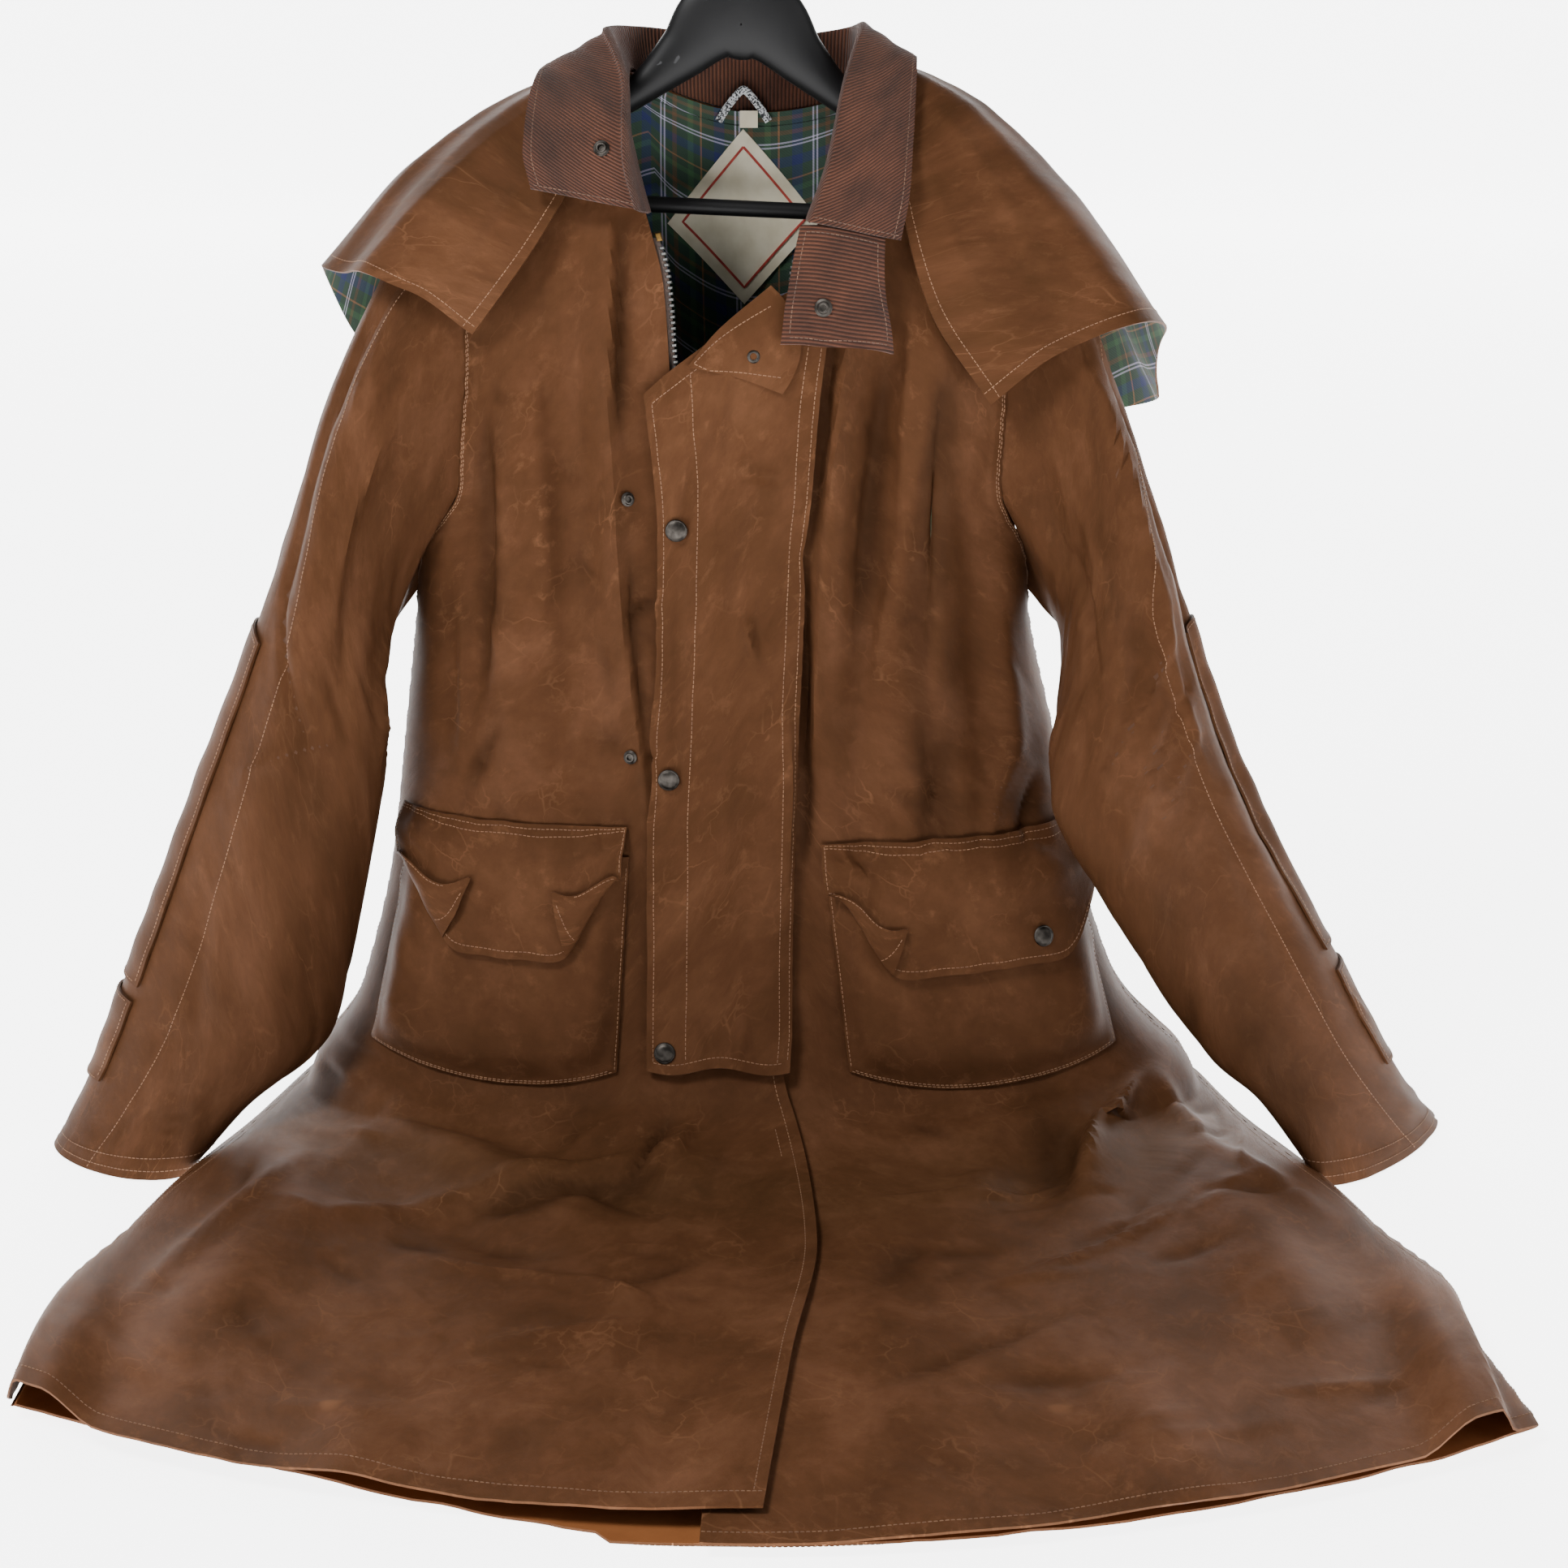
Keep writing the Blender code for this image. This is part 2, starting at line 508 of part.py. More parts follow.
# Sleeves: rings from the armhole to the cuff. The outer and the inner point of each flattened ring,
# and its half depth across.
RIGHT_SLEEVE = table(
    "x_out y_out z_out x_in y_in z_in depth twist",
    ("head", -0.285, -0.010, 0.705, -0.293, -0.030, 0.412, 0.078, 6),
    ("biceps", -0.337, -0.040, 0.600, -0.296, -0.072, 0.380, 0.068, 24),
    ("above_elbow", -0.371, -0.062, 0.480, -0.290, -0.094, 0.344, 0.060, 30),
    ("elbow", -0.415, -0.076, 0.374, -0.294, -0.104, 0.300, 0.056, 32),
    ("below_elbow", -0.449, -0.088, 0.294, -0.308, -0.112, 0.236, 0.053, 32),
    ("forearm", -0.485, -0.098, 0.204, -0.324, -0.122, 0.162, 0.050, 32),
    ("lower", -0.512, -0.104, 0.140, -0.338, -0.130, 0.104, 0.049, 32),
    ("wrist", -0.536, -0.108, 0.080, -0.362, -0.144, 0.082, 0.046, 32),
    ("cuff_top", -0.556, -0.112, 0.036, -0.400, -0.158, 0.062, 0.042, 32),
    ("cuff", -0.576, -0.118, 0.002, -0.452, -0.168, 0.002, 0.040, 32),
)
LEFT_SLEEVE = table(
    "x_out y_out z_out x_in y_in z_in depth twist",
    ("head", 0.256, -0.012, 0.690, 0.238, -0.034, 0.4155, 0.074, -6),
    ("biceps", 0.292, -0.046, 0.585, 0.2365, -0.081, 0.372, 0.062, 41.5),
    ("above_elbow", 0.326, -0.070, 0.473, 0.225, -0.122, 0.345, 0.050, 66.5),
    ("elbow", 0.352, -0.082, 0.392, 0.224, -0.168, 0.304, 0.044, 64.5),
    ("below_elbow", 0.378, -0.092, 0.325, 0.241, -0.166, 0.268, 0.044, 64.5),
    ("forearm", 0.408, -0.100, 0.262, 0.272, -0.162, 0.222, 0.044, 64.5),
    ("lower", 0.464, -0.108, 0.161, 0.318, -0.162, 0.146, 0.046, 64.5),
    ("wrist", 0.500, -0.110, 0.095, 0.356, -0.172, 0.096, 0.044, 64.5),
    ("cuff_top", 0.532, -0.098, 0.040, 0.400, -0.182, 0.066, 0.040, 64.5),
    ("cuff", 0.564, -0.076, 0.002, 0.442, -0.187, 0.002, 0.038, 64.5),
)
# Largest creases of the sleeves, by ring number and the angle round the ring in degrees.
SLEEVE_FOLDS = table(
    "side ring_from turn_from ring_to turn_to height width",
    ("right_front_ridge", -1, 1.0, 60, 5.0, 75, 0.008, 0.28),
    ("right_front_trough", -1, 1.6, 105, 4.5, 115, -0.009, 0.30),
    ("right_forearm_ridge", -1, 4.0, 120, 8.0, 100, 0.007, 0.30),
    ("right_back_trough", -1, 2.0, 250, 7.0, 260, -0.008, 0.35),
    ("left_long_ridge", 1, 1.2, 42, 7.0, 50, 0.009, 0.26),
    ("left_long_trough", 1, 1.6, 18, 6.0, 22, -0.010, 0.22),
    ("left_elbow_crease", 1, 3.2, 70, 4.2, 130, -0.009, 0.24),
    ("left_elbow_ridge", 1, 4.0, 75, 5.2, 125, 0.008, 0.24),
    ("left_back_trough", 1, 2.0, 250, 7.0, 255, -0.008, 0.35),
)


def armhole_loop(side):
    """The armhole seam all round: points, normals and directions along it, from the shoulder by the front."""
    downs = np.array(UPPER_ROWS)
    front = armhole_angle(downs)
    downs_round = np.concatenate([downs, downs[-2:0:-1]])
    angles = np.concatenate([front, np.pi - front[-2:0:-1]])
    angles[0] = np.pi / 2
    angles[len(downs) - 1] = np.pi / 2
    points = body(side * angles, downs_round)
    points[0] = (points[0, 0] + side * SHOULDER_HALF_GAP, 0.0, points[0, 2])
    normal = outward(body, side * angles, downs_round)
    run = unit(np.roll(points, -1, axis=0) - np.roll(points, 1, axis=0))
    away = unit(np.cross(run, normal))
    inward = points.mean(axis=0) - points
    away = np.where((away * inward).sum(axis=-1, keepdims=True) < 0, -away, away)
    away[0] = (side, 0.0, 0.0)
    return points, away


def sleeve_grids(side):
    """Outer and inner points of a sleeve, one row to a ring, columns running to the right in front."""
    rings = RIGHT_SLEEVE if side < 0 else LEFT_SLEEVE
    seam, away = armhole_loop(side)
    centre = seam.mean(axis=0)
    turn = np.arctan2(-(seam[:, 1] - centre[1]) / 0.09, (seam[:, 2] - centre[2]) / 0.16)
    turn = np.unwrap(turn)
    turn = turn - turn[0]
    outs = np.stack([rings["x_out"], rings["y_out"], rings["z_out"]], axis=1)
    ins = np.stack([rings["x_in"], rings["y_in"], rings["z_in"]], axis=1)
    middle, half = (outs + ins) / 2, (outs - ins) / 2
    turned = (turn + np.radians(rings["twist"])[:, None])[..., None]
    depth = np.array([0, -1, 0]) * rings["depth"][:, None, None]
    lower = middle[:, None] + half[:, None] * np.cos(turned) + depth * np.sin(turned)
    first = seam + away * SEAM_GAP
    points = np.concatenate([first[None], lower])
    if side > 0:
        points, first, away, turn = points[:, ::-1], first[::-1], away[::-1], turn[::-1]
    facing = grid_normals(points, tube=True)
    ring = np.arange(len(points))[:, None]
    bump = np.zeros(points.shape[:2])
    twist = np.concatenate([[0.0], rings["twist"]])[:, None]
    for i in range(len(SLEEVE_FOLDS["side"])):
        fold = {name: SLEEVE_FOLDS[name][i] for name in SLEEVE_FOLDS}
        if fold["side"] != side:
            continue
        along = np.clip((ring - fold["ring_from"]) / (fold["ring_to"] - fold["ring_from"]), 0, 1)
        held = fold["turn_from"] + (fold["turn_to"] - fold["turn_from"]) * along
        off = (np.degrees(turn)[None, :] + twist - held + 180) % 360 - 180
        short = np.minimum(ring - fold["ring_from"], fold["ring_to"] - ring)
        fade = ramp(-1.0, 0.6, short)
        bump = bump + fold["height"] * fade * np.exp(-((np.radians(off) / fold["width"]) ** 2))
    bump[0] = 0.0
    points = points + facing * bump[..., None]
    points[..., 2] = np.maximum(points[..., 2], 0.0005)
    facing = grid_normals(points, tube=True)
    inner = points - facing * CLOTH
    toward = np.maximum((facing[0] * away).sum(axis=-1, keepdims=True), 0)
    inner[0] = first - unit(facing[0] - toward * away) * CLOTH
    inner[..., 2] = np.maximum(inner[..., 2], 0.0005)
    return points, inner, np.degrees(turn) + rings["twist"][-1]


# Cape: from its left front edge round the back to its right front edge, four points from neck to hem.
CAPE = table(
    "at neck_x neck_y neck_z upper_x upper_y upper_z lower_x lower_y lower_z hem_x hem_y hem_z",
    ("left_front_edge", 0.00, 0.098, -0.048, 0.822, 0.106, -0.086, 0.757, 0.126, -0.104, 0.680, 0.176, -0.092, 0.603),
    ("left_front", 0.08, 0.100, -0.032, 0.834, 0.135, -0.064, 0.785, 0.172, -0.088, 0.715, 0.222, -0.098, 0.640),
    ("left_tip", 0.16, 0.103, -0.012, 0.850, 0.160, -0.026, 0.818, 0.228, -0.060, 0.738, 0.280, -0.084, 0.660),
    ("left_shoulder", 0.22, 0.103, 0.006, 0.851, 0.165, 0.008, 0.818, 0.240, 0.004, 0.748, 0.318, 0.000, 0.640),
    ("left_wing", 0.29, 0.098, 0.024, 0.846, 0.155, 0.040, 0.805, 0.228, 0.060, 0.730, 0.322, 0.056, 0.580),
    ("left_blade", 0.38, 0.074, 0.044, 0.828, 0.112, 0.080, 0.760, 0.165, 0.104, 0.672, 0.205, 0.118, 0.548),
    ("back", 0.50, 0.000, 0.054, 0.812, 0.000, 0.090, 0.735, 0.000, 0.112, 0.640, 0.000, 0.128, 0.535),
    ("right_blade", 0.62, -0.086, 0.044, 0.828, -0.128, 0.080, 0.760, -0.188, 0.104, 0.672, -0.235, 0.118, 0.560),
    ("right_wing", 0.71, -0.108, 0.024, 0.846, -0.170, 0.040, 0.808, -0.248, 0.060, 0.742, -0.326, 0.060, 0.632),
    ("right_shoulder", 0.78, -0.114, 0.006, 0.851, -0.182, 0.008, 0.822, -0.262, 0.004, 0.772, -0.338, 0.004, 0.692),
    ("right_tip", 0.84, -0.114, -0.012, 0.850, -0.180, -0.026, 0.820, -0.252, -0.044, 0.766, -0.314, -0.044, 0.698),
    ("right_front", 0.92, -0.112, -0.032, 0.836, -0.168, -0.062, 0.787, -0.216, -0.082, 0.735, -0.264, -0.082, 0.688),
    ("right_front_edge", 1.00, -0.112, -0.048, 0.822, -0.142, -0.084, 0.757, -0.178, -0.098, 0.702, -0.214, -0.086, 0.655),
)
CAPE_COLUMNS, CAPE_ROWS = 33, 9
CAPE_WAVES, CAPE_WAVE_DEPTH = 7, 0.007

# Collar: from its left tip round the back to its right tip. seam is its foot on the neck,
# fold its crease and edge the free edge of its leaf.
COLLAR = table(
    "at seam_x seam_y seam_z fold_x fold_y fold_z edge_x edge_y edge_z",
    ("left_tip", 0.00, 0.042, -0.092, 0.746, 0.036, -0.103, 0.743, 0.106, -0.106, 0.727),
    ("left_low", 0.10, 0.060, -0.072, 0.780, 0.050, -0.092, 0.780, 0.112, -0.100, 0.757),
    ("left_mid", 0.20, 0.076, -0.044, 0.818, 0.064, -0.058, 0.838, 0.116, -0.070, 0.800),
    ("left_side", 0.32, 0.084, -0.006, 0.841, 0.076, -0.010, 0.872, 0.120, -0.014, 0.852),
    ("left_back", 0.42, 0.066, 0.034, 0.8206, 0.070, 0.040, 0.868, 0.104, 0.078, 0.818),
    ("back", 0.51, 0.000, 0.0484, 0.8062, 0.000, 0.052, 0.858, 0.000, 0.094, 0.790),
    ("right_back", 0.60, -0.078, 0.034, 0.8285, -0.084, 0.040, 0.868, -0.120, 0.078, 0.818),
    ("right_side", 0.70, -0.096, -0.006, 0.844, -0.110, -0.010, 0.872, -0.162, -0.014, 0.845),
    ("right_mid", 0.81, -0.096, -0.044, 0.818, -0.094, -0.062, 0.836, -0.170, -0.064, 0.818),
    ("right_low", 0.91, -0.088, -0.072, 0.780, -0.092, -0.094, 0.788, -0.172, -0.088, 0.790),
    ("right_tip", 1.00, -0.078, -0.092, 0.746, -0.084, -0.104, 0.748, -0.166, -0.098, 0.764),
)
COLLAR_COLUMNS = 31
COLLAR_FOLD = 0.0095


def across_table(rows, names, at):
    """Points of a table's named column triple at shares along it."""
    return np.stack([eased(rows["at"], rows[names + axis], at) for axis in ("_x", "_y", "_z")], axis=-1)


def cape_grid(columns=CAPE_COLUMNS, rows=CAPE_ROWS):
    """The cape's outer points."""
    at = np.linspace(0, 1, columns)
    knots = [across_table(CAPE, name, at) for name in ("neck", "upper", "lower", "hem")]
    stations = np.array([0.0, 0.34, 0.68, 1.0])
    shares = np.linspace(0, 1, rows)
    grid = np.zeros((rows, columns, 3))
    for c in range(columns):
        for axis in range(3):
            grid[:, c, axis] = eased(stations, np.array([knot[c, axis] for knot in knots]), shares)
    wave = np.sin(at * np.pi * 2 * CAPE_WAVES) * ramp(0.0, 0.12, at) * ramp(0.0, 0.12, 1 - at)
    swell = CAPE_WAVE_DEPTH * wave[None, :] * ramp(0.35, 1.0, shares)[:, None]
    return grid + grid_normals(grid) * swell[..., None]


def collar_grid(columns=COLLAR_COLUMNS):
    """The collar's outer points: up the stand from the neck seam, over the fold and down the leaf."""
    at = np.linspace(0, 1, columns)
    seam, fold, edge = (across_table(COLLAR, name, at) for name in ("seam", "fold", "edge"))
    leaf = unit(edge - fold)
    stand = unit(fold - seam)
    out = unit(leaf - (leaf * stand).sum(axis=-1, keepdims=True) * stand)
    far = fold + out * COLLAR_FOLD
    top = fold + out * COLLAR_FOLD * 0.5 + stand * COLLAR_FOLD * 0.4
    rows = [seam, (seam + fold) / 2, fold, top, far]
    for share in (0.35, 0.7, 1.0):
        rows.append(far + (edge - far) * share)
    return np.stack(rows, axis=0)


def patch_wall(name, panel, x_grid, down_grid, lift, thickness, finish, parent):
    """A closed wall lying on a panel: the outer face is lifted by lift, the inner one by less."""
    outer = on_grid(panel, x_grid, down_grid, lift)[0]
    inner = on_grid(panel, x_grid, down_grid, np.broadcast_to(lift, np.shape(x_grid)) - thickness)[0]
    return wall(name, outer, inner, finish, parent)


# Pockets and flaps: x of the two ends, and the distance down, of each edge.
POCKETS = table(
    "side top_from top_to top_down foot_from foot_to foot_down sag",
    ("pocket_right", -1, -0.279, -0.101, 0.582, -0.312, -0.112, 0.752, 0.022),
    ("pocket_left", 1, 0.053, 0.250, 0.594, 0.072, 0.286, 0.750, 0.022),
)
FLAPS = table(
    "side top_from top_to top_down top_lift foot_from foot_to foot_down cut_from cut_to sag",
    ("flap_right", -1, -0.283, -0.102, 0.560, 0.0030, -0.278, -0.106, 0.655, 0.040, 0.040, 0.006),
    ("flap_left", 1, 0.050, 0.252, 0.572, 0.0046, 0.054, 0.256, 0.668, 0.045, 0.012, 0.004),
)
POCKET_DEPTH, POCKET_MOUTH = 0.020, 0.010
FLAP_LIFT = 0.0058
POCKET_ROOT = 0.0029
POCKET_THICK, FLAP_THICK = 0.0022, 0.0020


def named_row(rows, index):
    return {name: values[index] for name, values in rows.items()}


def pocket_grid(panel, row):
    """x, distance down and lift of a bellows pocket that stands off the cloth most at its foot."""
    across = np.array([0.0, 0.035, 0.11, 0.25, 0.42, 0.58, 0.75, 0.89, 0.965, 1.0])
    drop = np.array([0.0, 0.2, 0.42, 0.64, 0.84, 0.96, 1.0])
    u, v = np.meshgrid(across, drop)
    x_from = row["top_from"] + (row["foot_from"] - row["top_from"]) * v
    x_to = row["top_to"] + (row["foot_to"] - row["top_to"]) * v
    down = row["top_down"] + (row["foot_down"] - row["top_down"]) * v
    down = down + row["sag"] * v**2 * (1 - (2 * u - 1) ** 2)
    rim = np.minimum(ramp(-0.01, 0.10, u), ramp(-0.01, 0.10, 1 - u))
    foot = ramp(-0.01, 0.14, 1 - v)
    stand = POCKET_MOUTH + (POCKET_DEPTH - POCKET_MOUTH) * np.sin(np.pi * np.clip(v * 0.75, 0, 1))
    lift = POCKET_ROOT + (stand - POCKET_ROOT) * np.minimum(rim, foot)
    return x_from + (x_to - x_from) * u, down, lift


def pocket_lift(row, x, down):
    """Height of the pocket's front above the cloth at a point, for what lies on it."""
    v = np.clip((down - row["top_down"]) / (row["foot_down"] - row["top_down"]), 0, 1)
    x_from = row["top_from"] + (row["foot_from"] - row["top_from"]) * v
    x_to = row["top_to"] + (row["foot_to"] - row["top_to"]) * v
    u = np.clip((x - x_from) / (x_to - x_from), 0, 1)
    stand = POCKET_MOUTH + (POCKET_DEPTH - POCKET_MOUTH) * np.sin(np.pi * np.clip(v * 0.75, 0, 1))
    over = ramp(row["top_down"] - 0.016, row["top_down"], down)
    edge = np.minimum(ramp(-0.06, 0.05, u), ramp(-0.06, 0.05, 1 - u))
    return POCKET_ROOT + (stand - POCKET_ROOT) * over * (0.35 + 0.65 * edge)


def flap_grid(row, pocket):
    """x, distance down and lift of a pocket flap whose lower corners are turned up."""
    across = np.array([0.0, 0.035, 0.11, 0.25, 0.42, 0.58, 0.75, 0.89, 0.965, 1.0])
    drop = np.array([0.0, 0.14, 0.34, 0.56, 0.78, 1.0])
    u, v = np.meshgrid(across, drop)
    wide = row["foot_to"] - row["foot_from"]
    cut_from, cut_to = row["cut_from"] / wide, row["cut_to"] / wide
    reach = 1 - 0.62 * (ramp(-0.2, 1, 1 - u / max(cut_from, 0.01)) + ramp(-0.2, 1, 1 - (1 - u) / max(cut_to, 0.01)))
    reach = np.maximum(reach, 0.3)
    x_from = row["top_from"] + (row["foot_from"] - row["top_from"]) * v
    x_to = row["top_to"] + (row["foot_to"] - row["top_to"]) * v
    x = x_from + (x_to - x_from) * u
    sag = row["sag"] * np.sin(np.pi * u) * v
    down = row["top_down"] + (row["foot_down"] - row["top_down"]) * v * reach + sag
    lift = row["top_lift"] + pocket_lift(pocket, x, down) - POCKET_ROOT + FLAP_LIFT * ramp(-0.02, 0.3, v)
    return x, down, lift


PLACKET_TOP = table(
    "share down lift",
    ("free_edge", 0.0, 0.228, 0.0062),
    ("middle", 0.55, 0.176, 0.0085),
    ("seam", 1.0, 0.140, 0.0062),
)
PLACKET_FOOT = 0.752
PLACKET_THICK = 0.0030
PLACKET_ON_RIGHT, PLACKET_ON_LEFT = 0.0012, 0.0022
PLACKET_SHARES = (0.0, 0.3, 0.6, 0.76, 0.9, 1.0)
CORNER_THICK = 0.0021
# Outline of the placket's turned-down top corner, as x, distance down and lift.
TURNED_CORNER = table(
    "x down lift",
    ("fold_low", -0.0510, 0.209, 0.0126),
    ("fold_mid", -0.0285, 0.183, 0.0132),
    ("fold_high", 0.0105, 0.154, 0.0134),
    ("strip_high", 0.0314, 0.186, 0.0132),
    ("strip_low", 0.0182, 0.229, 0.0132),
    ("hem_mid", -0.0107, 0.218, 0.0132),
    ("hem_low", -0.0360, 0.212, 0.0132),
)

ZIP_TAPE_IN, ZIP_TAPE_EDGE, ZIP_TAPE_OUT, TAPE_THICK, TAPE_BEHIND = 0.009, 0.0008, 0.0052, 0.0012, 0.0018
ZIP_FROM, ZIP_TO = 0.118, 0.680

SNAP_CAP = [(0.80, 0.0), (1.0, 0.25), (0.94, 0.62), (0.66, 0.90), (0.24, 1.0)]
SNAP_SOCKET = [(1.0, 0.0), (1.0, 0.45), (0.72, 0.8), (0.56, 1.0), (0.40, 1.0), (0.32, 0.35)]
SNAPS = table(
    "side x down lift radius height cap",
    ("snap_placket_1", -1, -0.0610, 0.331, 0.0088, 0.0085, 0.0032, 1),
    ("snap_placket_2", -1, -0.0690, 0.520, 0.0087, 0.0085, 0.0032, 1),
    ("snap_placket_3", -1, -0.0730, 0.735, 0.0089, 0.0085, 0.0032, 1),
    ("snap_stud_1", -1, -0.0985, 0.308, 0.0015, 0.0055, 0.0026, 0),
    ("snap_stud_2", -1, -0.0985, 0.505, 0.0008, 0.0055, 0.0026, 0),
    ("snap_corner", 1, -0.0030, 0.202, 0.0136, 0.0070, 0.0024, 0),
    ("snap_tab", 1, 0.0510, 0.168, 0.0221, 0.0066, 0.0024, 0),
    ("snap_flap_left", 1, 0.2140, 0.652, 0.0251, 0.0085, 0.0032, 1),
)
SNAP_NAMES = ["snap_placket_1", "snap_placket_2", "snap_placket_3", "snap_stud_1", "snap_stud_2"]
SNAP_NAMES += ["snap_corner", "snap_tab", "snap_flap_left"]
COLLAR_SNAP_NEAR = (-0.112, 0.791)
COLLAR_SNAP = {"lift": 0.0008, "radius": 0.0060, "height": 0.0022}

# Elbow patches and cuff tabs: the sleeve rings and turns (degrees round from the top) they cover.
SLEEVE_PATCHES = table(
    "side ring_from ring_to turn_from turn_to lift",
    ("elbow_patch_right", -1, 3.5, 6.9, -86, 40, 0.0030),
    ("cuff_tab_right", -1, 7.1, 8.4, -70, 40, 0.0030),
    ("elbow_patch_left", 1, 3.5, 6.9, -86, 30, 0.0027),
    ("cuff_tab_left", 1, 7.1, 8.4, -70, 30, 0.0025),
)
PATCH_NAMES = ["elbow_patch_right", "cuff_tab_right", "elbow_patch_left", "cuff_tab_left"]

# Hanger: half the body, from the middle to the tip, as x from its middle and heights of its edges.
HANGER_MIDDLE = -0.012
HANGER = table(
    "x top high deep",
    ("middle", 0.000, 0.9195, 0.0355, 0.0085),
    ("hub", 0.022, 0.905, 0.0300, 0.0090),
    ("shoulder", 0.045, 0.872, 0.0200, 0.0095),
    ("neck", 0.085, 0.0, 0.0115, 0.0105),
    ("arm", 0.130, 0.0, 0.0110, 0.0130),
    ("arm_end", 0.175, 0.0, 0.0105, 0.0140),
    ("tip", 0.196, 0.0, 0.0090, 0.0120),
)
HANGER_ARM_FROM = 0.080
HANGER_BAR = table(
    "x z",
    ("bend", 0.160, 0.738),
    ("rise", 0.176, 0.742),
    ("root", 0.186, 0.752),
)
HANGER_BAR_RADIUS = 0.0062
HANGER_TILT = math.radians(2.6)
REST_GAP, SHOULDER_UP, SHOULDER_SLOPE = 0.0012, 0.78, 0.80
HOOK_WIRE, HOOK_RADIUS, HOOK_FOOT = 0.0020, 0.021, 0.9198
HOOK_STEM, HOOK_NECK_X, HOOK_NECK_Z = 0.012, 0.003, 0.941
HOOK_FROM, HOOK_TO = math.radians(-60), math.radians(205)

LINING_ROWS, LINING_FROM, LINING_TO, LINING_THICK = 10, 5, 16, 0.0012
LABEL_MIDDLE, LABEL_HALF, LABEL_DEPTH, LABEL_THICK = (-0.012, 0.125), (0.061, 0.066), 0.0046, 0.0010
HANG_LOOP = ((-0.031, 0.800), (-0.024, 0.811), (-0.014, 0.8225), (-0.009, 0.8225), (0.001, 0.811), (0.008, 0.800))
LOOP_Y, LOOP_HALF_WIDE, LOOP_HALF_THICK = 0.0414, 0.0030, 0.0012
SIZE_TAB_Y = 0.0423
SIZE_TAB = ((-0.0145, 0.808), (-0.0145, 0.795), (-0.0005, 0.795), (-0.0005, 0.808))
TAB = {
    "top_from": 0.031, "top_to": 0.092, "top_down": 0.115,
    "foot_from": 0.016, "foot_to": 0.088, "foot_down": 0.194,
    "lift_top": 0.0182, "lift_more": 0.0058, "thick": 0.0034,
}
PATCH_THICK = 0.0020


def tilted(x, z):
    """A point of the hanger, which hangs a little askew."""
    return (HANGER_MIDDLE + x * math.cos(HANGER_TILT), 0.0, z - x * math.sin(HANGER_TILT))


def arm_centre(x, high, deep):
    """Height of the hanger's arm at x from its middle, so that both shoulders of the coat rest on it."""
    heights = []
    for way in (-1, 1):
        at = HANGER_MIDDLE + way * x
        half = half_width(at, 0.0)
        sag = BODY["sag_right" if way < 0 else "sag_left"][0]
        inside = BODY["z_front"][0] - sag * (at / half) ** 2 - CLOTH / SHOULDER_UP - REST_GAP
        heights.append(inside + way * x * math.sin(HANGER_TILT))
    bow = (1 - (x / half) ** BODY["square"][0]) ** (1 / BODY["square"][0])
    return min(heights) - math.hypot(high, SHOULDER_SLOPE / bow * deep)


def between_rings(grid, ring):
    """A row of a sleeve's grid at a ring number that may be a fraction."""
    low = min(int(ring), len(grid) - 2)
    return grid[low] + (grid[low + 1] - grid[low]) * (ring - low)


def strap(name, path, half_wide, half_thick, finish, parent):
    """A flat strap through (x, z) points, facing the front."""
    points = np.array([(x, LOOP_Y, z) for x, z in path])
    return swept(name, points, half_wide, half_thick, (0, 1, 0), 4, finish, parent)


def turned_plate(name, outline, middle, thickness, finish, parent):
    """A thin plate through an outline on the cloth, fanned from its middle."""
    outline = np.array(outline)
    count = len(outline)
    normal = unit(np.mean(np.cross(outline - middle, np.roll(outline, -1, axis=0) - middle), axis=0))
    if normal[1] > 0:
        outline, normal = outline[::-1], -normal
    points = np.concatenate([outline, [middle], outline - normal * thickness, [middle - normal * thickness]])
    faces = []
    for i in range(count):
        n = (i + 1) % count
        faces += [(i, n, count), (i + count + 1, 2 * count + 1, n + count + 1)]
        faces.append((i, i + count + 1, n + count + 1, n))
    return add_object(name, points, faces, finish, parent, smooth=False)


